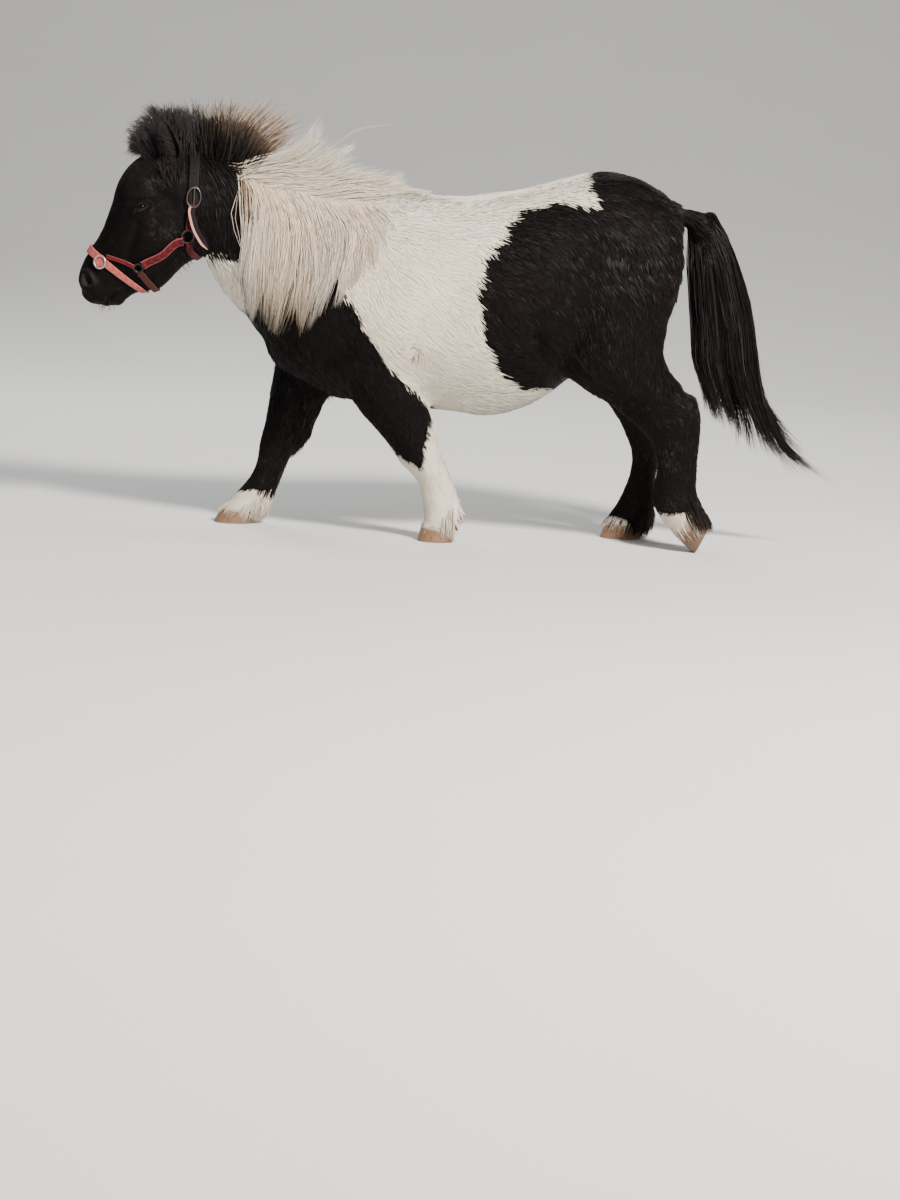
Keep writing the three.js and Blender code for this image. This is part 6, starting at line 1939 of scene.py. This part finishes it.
def ear_shape(side):
    """Cupped leaf of an ear, rolled at its foot: points, faces, and 1 for points in the cup."""
    base, along, facing, across = ear_frame(side)
    rings = []
    for t in np.linspace(-.24, 1, EAR_STEPS):
        foot = ramp(-t, -.12, .24)
        leaf = ear_leaf(t) if t < 1 else 0
        width = (EAR_WIDTH * leaf + .6) * (1 - .25 * foot)
        depth = (EAR_DEPTH * (1 - .75 * max(t, 0)) + .6) * (1 - .3 * foot)
        centre = base + along * t - facing * EAR_BEND * math.sin(math.pi * max(t, 0))
        centre = centre - np.array([0, side, 0]) * 12 * foot
        gap = .3 + 2.7 * ramp(t, .05, .45)
        turns = np.linspace(math.pi / 2 + gap / 2, 2.5 * math.pi - gap / 2, EAR_AROUND // 2)
        outer = centre + np.cos(turns)[:, None] * across * width + np.sin(turns)[:, None] * facing * depth
        wall = np.clip(1 - 3.2 / max(width, 4), .3, 1)
        hollow = centre + np.cos(turns[::-1])[:, None] * across * width * wall
        hollow = hollow + np.sin(turns[::-1])[:, None] * facing * depth * wall
        rings.append(np.concatenate([outer, hollow]))
    cup = np.tile(np.arange(EAR_AROUND) >= EAR_AROUND // 2, EAR_STEPS).astype(float)
    return np.concatenate(rings), ring_faces(EAR_STEPS, EAR_AROUND), cup


def add_cover(name, points, faces, around, finish, replaced, surfaces, ways, scale, numbers):
    """Lid or ear: its own mesh, and its entry in the list of what the coat grows on."""
    rows = len(points) // around
    u = (np.arange(around + 1) / around)[None] * np.ones((rows + 1, 1)) * .06 + .02
    v = (np.arange(rows + 1) / rows)[:, None] * np.ones((1, around + 1)) * .05 + .02
    grid = np.stack([u, v], -1)
    corner = faces[:, 0]
    row, k = corner // around, corner % around
    uv = np.stack([grid[row, k], grid[row, k + 1], grid[row + 1, k + 1], grid[row + 1, k]], 1)
    blank = np.zeros(len(points))
    piece = new_mesh(name, points, faces, {"whiteness": blank, "tan": blank, "bare": blank, **numbers}, uv)
    close_mesh(piece, 80)
    finish_piece(piece, finish, replaced)
    if len(piece.data.vertices) == len(points):
        triangles = np.concatenate([faces[:, :3], faces[:, [0, 2, 3]]])
        surfaces.append((points, triangles, mesh_normals(piece), ways, scale))


# Small hairs on each side
EAR_HAIRS, EAR_FOOT_HAIRS, EAR_RIM_HAIRS, LASHES, WHISKERS, JAW_WISPS = 760, 420, 160, 44, 46, 20


def small_hairs(finish):
    """Hair in the ears, lashes, whiskers on the muzzle and a few wisps under the jaw."""
    marks, width, tan = [], [], []

    def add(root, way, length, bow, thick, warm):
        middle = root + way * length * .5 + bow * .5
        marks.append(np.stack([root, middle, root + way * length + bow]))
        width.append(thick)
        tan.append(warm)

    for side in (-1, 1):
        mirror = np.array([1, -side, 1.0])
        base, along, facing, across = ear_frame(side)
        upright = along / EAR_LENGTH
        for _ in range(EAR_HAIRS):
            t, turn = rng.random() ** .8 * .92, rng.normal(0, .85)
            sunk = facing * (EAR_DEPTH / 2 * (1 - .75 * t) * math.cos(turn))
            root = base + along * t + across * math.sin(turn) * EAR_CUP * ear_leaf(t) * .8 - sunk
            way = unit(upright * .8 + facing * (.55 + .3 * rng.random()) - across * math.sin(turn) * .5
                       + rng.normal(0, .25, 3))
            add(root, way, 14 + 18 * rng.random(), rng.normal(0, 4, 3), 1.0, .05 * rng.random())
        # Hair round the foot of the ear, which hides where the cup begins
        for _ in range(EAR_FOOT_HAIRS):
            t, turn = rng.uniform(-.2, .22), rng.random() * 2 * math.pi
            out = across * math.cos(turn) + facing * math.sin(turn)
            root = base + along * t + out * (26 - 14 * max(-t, 0) - 2 * rng.random())
            way = unit(upright + out * (.3 + .3 * rng.random()) + rng.normal(0, .12, 3))
            add(root, way, 12 + 16 * rng.random(), rng.normal(0, 2, 3) - out * 3, 1.3, .02)
        for _ in range(EAR_RIM_HAIRS):
            t, edge = .1 + .88 * rng.random() ** .8, -1 if rng.random() < .5 else 1
            bend = facing * EAR_BEND * math.sin(math.pi * t)
            root = base + along * t + across * edge * EAR_RIM * ear_leaf(t) * .96 - bend
            way = unit(upright * .9 + across * edge * .5 + facing * .2 + rng.normal(0, .2, 3))
            add(root, way, 8 + 9 * rng.random(), rng.normal(0, 1.5, 3), .9, .05)
        centre, normal, forward, upward = eye_frame(side)
        for share in np.linspace(-.85, .85, LASHES):
            aside, bow = share * EYE_OPENING, UPPER_BOW * math.cos(share * math.pi / 2)
            arm = normal * math.cos(aside) * math.cos(bow) - forward * math.sin(aside) * math.cos(bow)
            arm = arm + upward * math.sin(bow)
            way = unit(normal * .9 - upward * .25 + arm * .3 + rng.normal(0, .08, 3))
            add(centre + arm * (EYE_RADIUS + 1.2), way, 9 + 4 * rng.random(), upward * 1.2, .7, 0)
        for _ in range(WHISKERS):
            at, angle = 10.2 + 1.9 * rng.random(), math.pi * (1.12 + .36 * rng.random())
            point, out = (rows[0] * mirror for rows in on_head(at, angle))
            way = unit(out + rng.normal(0, .25, 3))
            add(point - out * 3, way, 10 + 16 * rng.random(), np.array([0, 0, -4.0]), .5, .05)
        for _ in range(JAW_WISPS):
            at, angle = 3.2 + 1.6 * rng.random(), math.pi * (1.28 + .22 * rng.random())
            point, out = (rows[0] * mirror for rows in on_head(at, angle))
            way = unit(out * .5 + np.array([.35, 0, -.9]) + rng.normal(0, .12, 3))
            add(point - out * 3, way, 10 + 12 * rng.random(), np.array([3.0, 0, 0]), 1.0, 0)
    count = len(marks)
    paths = wave(smooth_paths(np.array(marks), 5), 1.2, 15)
    strands("small_hairs", paths, np.array(width), finish,
            {"whiteness": np.zeros(count), "tan": np.array(tan), "tone": rng.random(count)})


# Which way the hair lies: place in side view, and its run backward, outward and upward
LIE = np.array([
    (-560, 760, .35, 0, -.93), (-450, 700, .5, 0, -.85), (-350, 600, .55, 0, -.8),
    (-450, 830, .75, .3, -.5), (-600, 850, .5, .2, -.8), (-560, 620, .5, 0, -.8),
    (-470, 480, .2, .3, -.95), (-400, 520, .45, .1, -.85), (-250, 600, .45, 0, -.9),
    (-300, 450, .3, 0, -.95), (-150, 800, .95, .2, -.25), (100, 820, 1, .1, -.1),
    (-50, 620, .85, 0, -.5), (100, 620, .85, 0, -.55), (100, 420, .9, 0, -.35), (0, 310, 1, 0, -.05),
    (-200, 420, .7, 0, -.7), (230, 560, .6, 0, -.8), (350, 870, .9, .2, -.3), (400, 720, .5, 0, -.87),
    (480, 760, .5, 0, -.8), (380, 600, .35, 0, -.93), (470, 560, .1, 0, -1), (270, 480, .3, 0, -.95),
    (520, 820, .9, 0, -.4), (430, 450, .1, 0, -1),
])
FACE_LIE = np.array([
    (-650, 890, .7, .2, .1), (-700, 890, -.3, .3, -.2), (-770, 880, -.75, .25, -.45),
    (-830, 800, -.4, .1, -.9), (-870, 680, -.25, 0, -.95), (-900, 590, -.15, 0, -1),
    (-890, 550, .25, 0, -.9), (-800, 700, .1, 0, -1), (-720, 720, .4, 0, -.9), (-690, 640, .65, 0, -.7),
    (-760, 610, .6, 0, -.75), (-840, 545, .4, 0, -.9), (-740, 810, .25, 0, -.95),
    (-660, 760, .35, 0, -.93), (-800, 770, -.2, 0, -.95),
])


WHORL = np.array([-109, -196, 456])


def lie_from(table, points):
    flat = points[:, [0, 2]]
    total = np.zeros((len(points), 3))
    for row in table:
        weight = 1 / (np.sum((flat - row[:2]) ** 2, axis=1) + 900) ** 1.5
        total += weight[:, None] * row[2:]
    total[:, 1] *= np.sign(points[:, 1])
    return unit(total)


def lie_of(points, normals):
    """Direction of the hair over the surface at the points."""
    way = lie_from(LIE, points)
    head = ramp(-points[:, 0], 625, 665)[:, None]
    way = unit(way * (1 - head) + lie_from(FACE_LIE, points) * head)
    for index, name in enumerate(LEGS):
        rows = LEGS[name]
        line = middle_line(rows)
        mask = leg_of(points) == index
        z = points[mask, 2]
        slope = np.interp(-z, -line[:, 1], np.gradient(line[:, 0], -line[:, 1]))
        down = unit(np.stack([slope, 0 * z, -np.ones(len(z))], 1))
        beside = np.abs(points[mask, 0] - np.interp(-z, -line[:, 1], line[:, 0]))
        share = (ramp(-z, -430, -360) * ramp(-beside, -130, -75))[:, None]
        way[mask] = unit(way[mask] * (1 - share) + down * share)
    # The hair turns round the small whorl on the left flank
    swirl = points - WHORL
    turned = np.cross(swirl, normals) * np.exp(-((swirl**2).sum(1, keepdims=True) / 24**2))
    return along_surface(way + turned * .16, normals)


def feather_share(points, legs):
    """Where the coat grows long down the back of the legs."""
    low = ramp(-points[:, 2], np.where(legs == 1, -380, -310), np.where(legs == 1, -340, -270))
    apart = (legs != 1) | (points[:, 0] < -330)
    return heel_share(points, legs) ** 2 * low * apart * (points[:, 2] > 70)


def tuft_sizes(points):
    """Length, width and stand of the tufts, in millimetres, at places on the body."""
    x, z = points[:, 0], points[:, 2]
    leg = ramp(-z, -420, -330) * (leg_of(points) >= 0)
    low = ramp(-z, -250, -130) * (leg_of(points) >= 0)
    head = ramp(-x, 600, 680) * (z > 480)
    muzzle = ramp(-x - .5 * z, 500, 580) * head
    belly = ramp(-z, -420, -340) * (1 - leg) * (x > -330)
    chest = ramp(-x, 330, 420) * ramp(-z, -620, -520) * (1 - leg) * (1 - head)
    length = 27 + 5 * belly + 7 * chest
    length = length + (15 - length) * leg
    length = length + (8.5 - length) * low
    length = length + (9 - length) * head
    length = length + (4 - length) * muzzle
    eye = np.hypot(x - EYE_SIDE_VIEW[0], z - EYE_SIDE_VIEW[1])
    length = np.where(head > .5, length * (.45 + .55 * ramp(eye, 16, 48)), length)
    nape = ramp(-x, 480, 560) * (1 - head) * ramp(z, 600, 660)
    length += 12 * nape
    jaw = head * ramp(-(z - 640) - .4 * (x + 700), -10, 40) * (1 - muzzle)
    length += 5 * jaw
    # Feather down the back of the legs, longest behind the far foreleg
    legs = leg_of(points)
    length += feather_share(points, legs) * np.where(legs == 1, 24, 7 - 4 * low)
    width = .66 + .066 * length
    return length, width


COAT_TUFTS = 202000
PIECE_TRIANGLES = 190000


def sample_surface(points, faces, density, count):
    """Random places on faces: face number and the place itself."""
    corner = points[faces]
    area = np.linalg.norm(np.cross(corner[:, 1] - corner[:, 0], corner[:, 2] - corner[:, 0]), axis=1) / 2
    weight = area * density(corner.mean(1))
    total = np.cumsum(weight)
    marks = (np.arange(count) + rng.random(count)) / count * total[-1]
    chosen = np.minimum(np.searchsorted(total, marks), len(faces) - 1)
    a, b = rng.random((2, count, 1))
    flip = a + b > 1
    a, b = np.where(flip, 1 - a, a), np.where(flip, 1 - b, b)
    place = corner[chosen]
    return chosen, place[:, 0] + (place[:, 1] - place[:, 0]) * a + (place[:, 2] - place[:, 0]) * b


def tufts(name, roots, normals, ways, length, width, stand, numbers, uv, finish):
    """Closed slim tufts of four points: a sunk root, two sides and a fine tip."""
    count = len(roots)
    across = np.cross(normals, ways)
    middle = roots + ways * (length * .4)[:, None] + normals * (stand * .62)[:, None]
    half = across * (width / 2)[:, None]
    low = roots - normals * 2.2
    tip = roots + ways * length[:, None] + normals * stand[:, None]
    points = np.stack([low, middle - half, middle + half, tip], 1).reshape(-1, 3)
    pattern = np.array([(0, 1, 2), (3, 2, 1), (0, 2, 3), (0, 3, 1)])
    a, b, c = points[pattern[0]]
    if np.cross(b - a, c - a) @ (points[pattern[0]].mean(0) - points[:4].mean(0)) < 0:
        pattern = pattern[:, ::-1]
    faces = (pattern[None] + np.arange(count)[:, None, None] * 4).reshape(-1, 3)
    data = {"tip": np.tile([0, .45, .45, 1.0], count)}
    data.update({title: np.repeat(value, 4) for title, value in numbers.items()})
    offset = np.array([(0, 0), (-.0012, .0012), (.0012, .0012), (0, .003)])
    patch = (uv[:, None] + offset[None]).reshape(-1, 2)
    piece = new_mesh(name, points, faces, data, patch[faces.ravel()])
    # Light falls on the hair as on the soft form below it, with a little of each tuft's own turn
    turn = (.16 - .07 * numbers["whiteness"])[:, None] * np.clip(length / 20, .3, 1)[:, None]
    aslant = across * rng.normal(0, 1, (count, 1)) + ways * rng.normal(0, 1, (count, 1))
    turned = unit(normals + aslant * turn)
    sides = np.stack([0 * across, -across * .3, across * .3, ways * .12], 1)
    piece.data.normals_split_custom_set_from_vertices(unit(turned[:, None] + sides).reshape(-1, 3).tolist())
    finish_piece(piece, finish)


# Painted shade in the hollows, with the painted shadow behind the eye, and painted sheen on the swells, in
# side view: place, reach and amount
PAINTED_SHADE_AND_SHEEN = [
    (-712, 772, 26, -1.2), (-742, 760, 15, -.9), (-782, 690, 13, -.6), (-796, 655, 12, -.6),
    (-720, 640, 22, -.8), (-690, 655, 18, -.5), (-830, 585, 26, -.5), (-700, 708, 42, .95),
    (-745, 705, 20, .85), (-728, 815, 32, 1.2), (-830, 690, 24, .6), (-655, 770, 14, .8),
    (-670, 830, 16, -.7), (-795, 772, 14, .7), (-738, 733, 12, .9), (-770, 850, 30, .5),
    (507, 230, 34, .8), (520, 122, 24, .8), (446, 98, 22, .7), (-470, 165, 20, .7),
    (345, 680, 120, .42), (133, 690, 55, -.5), (185, 465, 65, -.5), (300, 478, 60, .4),
    (454, 566, 50, -.6), (535, 354, 36, .6), (-380, 560, 70, .3), (-300, 455, 40, -.3),
]


def painted_shade_and_sheen(points):
    total = np.zeros(len(points))
    for x, z, reach, amount in PAINTED_SHADE_AND_SHEEN:
        total += amount * np.exp(-((points[:, 0] - x) ** 2 + (points[:, 2] - z) ** 2) / reach**2)
    return total


def strap_distance(points):
    """Distance of places from the straps, so that the hair lies flat under them."""
    rows = [over_cheek(CHEEKPIECE, -1, 20), over_cheek(CHEEK_TAB, -1, 12), over_cheek(NOSE_TAB, -1, 12),
            around_head(CROWN_STRAP, CROWN_MIDDLE, math.pi / 2, 50),
            around_head(CHIN_STRAP, CHIN_MIDDLE, 1.5 * math.pi, 40),
            around_head(THROAT_STRAP, THROAT_MIDDLE, 1.5 * math.pi, 40)]
    rows.append((on_head(np.full(60, NOSEBAND_AT), np.arange(60) * 2 * math.pi / 60)[0], None))
    marks = np.concatenate([row[0] for row in rows])
    best = np.full(len(points), 1e9)
    for mark in one_sided(marks):
        best = np.minimum(best, np.sum((one_sided(points) - mark) ** 2, axis=1))
    return np.sqrt(best)


def add_coat(surfaces, finish):
    """Short coat over the skin, the lids and the ears, in pieces. Each surface gives points,
    faces, normals, its own lie of the hair (or zeros) and how large its tufts are."""
    starts = np.cumsum([0] + [len(surface[0]) for surface in surfaces[:-1]])
    faces = np.concatenate([surface[1] + start for surface, start in zip(surfaces, starts)])
    points, normals, own_way, scale = (
        np.concatenate([surface[k] for surface in surfaces]) for k in (0, 2, 3, 4)
    )
    face_scale = scale[faces].min(1)

    def density(places):
        length, width = tuft_sizes(places)
        z, x = places[:, 2], places[:, 0]
        bare = bare_skin(places) * (face_scale == 1)
        sparse = 1 - .45 * ramp(-z, -330, -280) * (x > -140) * (x < 250)
        covered = (length * width * np.maximum(face_scale, .3) ** 2) ** .85
        return (face_scale > 0) * (1 - .9 * bare) / covered * sparse

    chosen, roots = sample_surface(points, faces, density, COAT_TUFTS)
    normal = unit(normals[faces[chosen]].mean(1))
    given = own_way[faces[chosen]].mean(1)
    own = np.linalg.norm(given, axis=1) > .3
    way = lie_of(roots, normal)
    way[own] = along_surface(given[own], normal[own])
    length, width = tuft_sizes(roots)
    size = face_scale[chosen]
    length, width = length * size, width * np.maximum(size, .6)
    # Neighbouring tufts lean together in small locks, and the haunch has level ripples
    lean = lattice_noise(roots, 60, 1) * .3 + lattice_noise(roots, 16, 2) * .22
    lean += rng.normal(0, .1, len(roots))
    lean *= np.clip(length / 20, .35, 1)
    across = np.cross(normal, way)
    way = unit(way * np.cos(lean)[:, None] + across * np.sin(lean)[:, None])
    rump = ramp(roots[:, 0], 250, 330) * ramp(roots[:, 2], 560, 640)
    ripple = np.sin(roots[:, 2] / 6.5 + 3.5 * lattice_noise(roots, 70, 7)) * rump
    clumps = lattice_noise(roots, 16, 8)
    depth = coat_depth(roots)
    stand = depth * np.clip(.5 + .2 * clumps + .28 * ripple + rng.normal(0, .12, len(roots)), .12, 1.1)
    pressed = np.ones(len(roots))
    near = roots[:, 0] < -590
    pressed[near] = .35 + .65 * ramp(strap_distance(roots[near]), 10, 18)
    legs = leg_of(roots)
    stand += 5 * feather_share(roots, legs) * (legs == 1)
    stand = np.minimum(stand, length * .3) * pressed
    length = length * (.7 + .6 * rng.random(len(roots)))
    white = whiteness(roots) + rng.normal(0, 2.2, len(roots))
    small = lattice_noise(roots, 5, 9)
    # The tone is partly the hair's own at random and partly painted sheen: fine speckles, the raised clumps
    # and the ripple crests
    tone = .36 + .13 * clumps + .17 * small + .14 * ripple + .42 * (rng.random(len(roots)) - .5)
    tone = np.clip(tone, 0, 1)
    head = ramp(-roots[:, 0], 625, 665) * (roots[:, 2] > 500)
    # Painted shade in the hollows and painted sheen on the swells, broken into streaks, lower and raise the
    # tone
    streaks = .6 + .5 * lattice_noise(roots, 7, 5)
    tone = np.clip(tone + .42 * painted_shade_and_sheen(roots) * streaks - .35 * head * (tone - .3), 0, 1.1)
    around = np.linalg.norm((roots - WHORL) / (1, 4, 1), axis=1)
    whorl = np.exp(-(((around - 10) / 6) ** 2)) * (roots[:, 1] < 0)
    marked = rng.random(len(roots)) < .5 * whorl
    white = np.where(marked, -3.0, white)
    heel = (leg_of(roots) == 1) * ramp(roots[:, 0], -440, -400) * ramp(-roots[:, 2], -430, -380)
    tan = .7 * marked + .8 * whorl * rng.random(len(roots)) + .05 * heel * (rng.random(len(roots)) < .4)
    tan = np.clip(tan, 0, 1)
    uv, _ = chart_places(roots, leg_of(roots))
    numbers = {"whiteness": np.clip(.5 + white * .5, 0, 1), "tone": tone, "tan": tan}
    order = np.argsort(roots[:, 0] + 5000 * (roots[:, 1] > 0), kind="stable")
    pieces = math.ceil(len(order) * 4 / PIECE_TRIANGLES)
    for k, part in enumerate(np.array_split(order, pieces)):
        given = {title: value[part] for title, value in numbers.items()}
        tufts(f"coat_tufts_{k + 1:02d}", roots[part], normal[part], way[part], length[part], width[part],
              stand[part], given, uv[part], finish)


FLESH_NODES = ["torso", "neck", "head"] + [
    f"{leg}_{side}_{part}"
    for leg in ("foreleg", "hindleg")
    for side in ("left", "right")
    for part in ("upper", "lower")
]


def main():
    add_camera()
    add_floor()
    add_lights()
    coat = hair_finish("coat_hair", gloss=.05)
    under = skin_finish()
    skin = add_skin()
    points = mesh_points(skin)
    skin.data.calc_loop_triangles()
    faces = np.empty(len(skin.data.loop_triangles) * 3, np.int32)
    skin.data.loop_triangles.foreach_get("vertices", faces)
    faces = faces.reshape(-1, 3)
    white = whiteness(points)
    data = {"whiteness": .5 + white / 16, "tan": np.zeros(len(points)), "bare": bare_skin(points)}
    bpy.data.objects.remove(skin)
    skin = new_mesh("coat_skin", points, faces, data, unwrap(points, faces).reshape(-1, 2))
    finish_piece(skin, under, FLESH_NODES)
    normals = mesh_normals(skin)
    surfaces = [(points, faces, normals, np.zeros_like(points), np.ones(len(points)))]
    inner = ear_inner_finish()
    for side, name in ((-1, "left"), (1, "right")):
        lid_points, lid_faces, reach = eyelids(side)
        add_cover(f"eyelids_{name}", lid_points, lid_faces, LID_AROUND, under, (), surfaces,
                  np.zeros_like(lid_points), np.where((reach > 2.5) & (reach < 15.5), .5, 0),
                  {"bare": 1 - ramp(reach, 2, 6)})
        ear_points, ear_faces, cup = ear_shape(side)
        way = np.tile(ear_frame(side)[1] / EAR_LENGTH, (len(ear_points), 1))
        add_cover(f"ear_{name}", ear_points, ear_faces, EAR_AROUND, inner, (f"ear_{name}",), surfaces,
                  way, np.where(cup > .5, 0, .75), {"bare": cup, "tan": .12 * cup})
    add_coat(surfaces, coat)
    body = Body(points, faces)
    mane = hair_finish("mane_hair", True, .4, .1)
    woolly = hair_finish("forelock_hair", True, gloss=.06,
                         Dark_root=(.005, .0038, .0042, 1), Dark_tip=(.060, .044, .050, 1))
    upright_mane(body, mane)
    swept_mane(body, mane)
    falling_mane(body, mane, -1)
    falling_mane(body, mane, 1)
    forelock(body, woolly)
    tail_hair(mane, woolly)
    fetlock_hair(points, faces, normals, mane)
    small_hairs(woolly)
    horn = hoof_finish("hoof_horn_tan", (.36, .195, .10, 1), (.15, .075, .038, 1))
    brown_horn = hoof_finish("hoof_horn_brown", (.20, .105, .06, 1), (.085, .045, .028, 1))
    for name in HOOVES:
        add_hoof(name, brown_horn if name == "hind_left" else horn)
    eye = eye_finish()
    for side in (-1, 1):
        add_eye(side, eye)
    add_head_collar()


main()
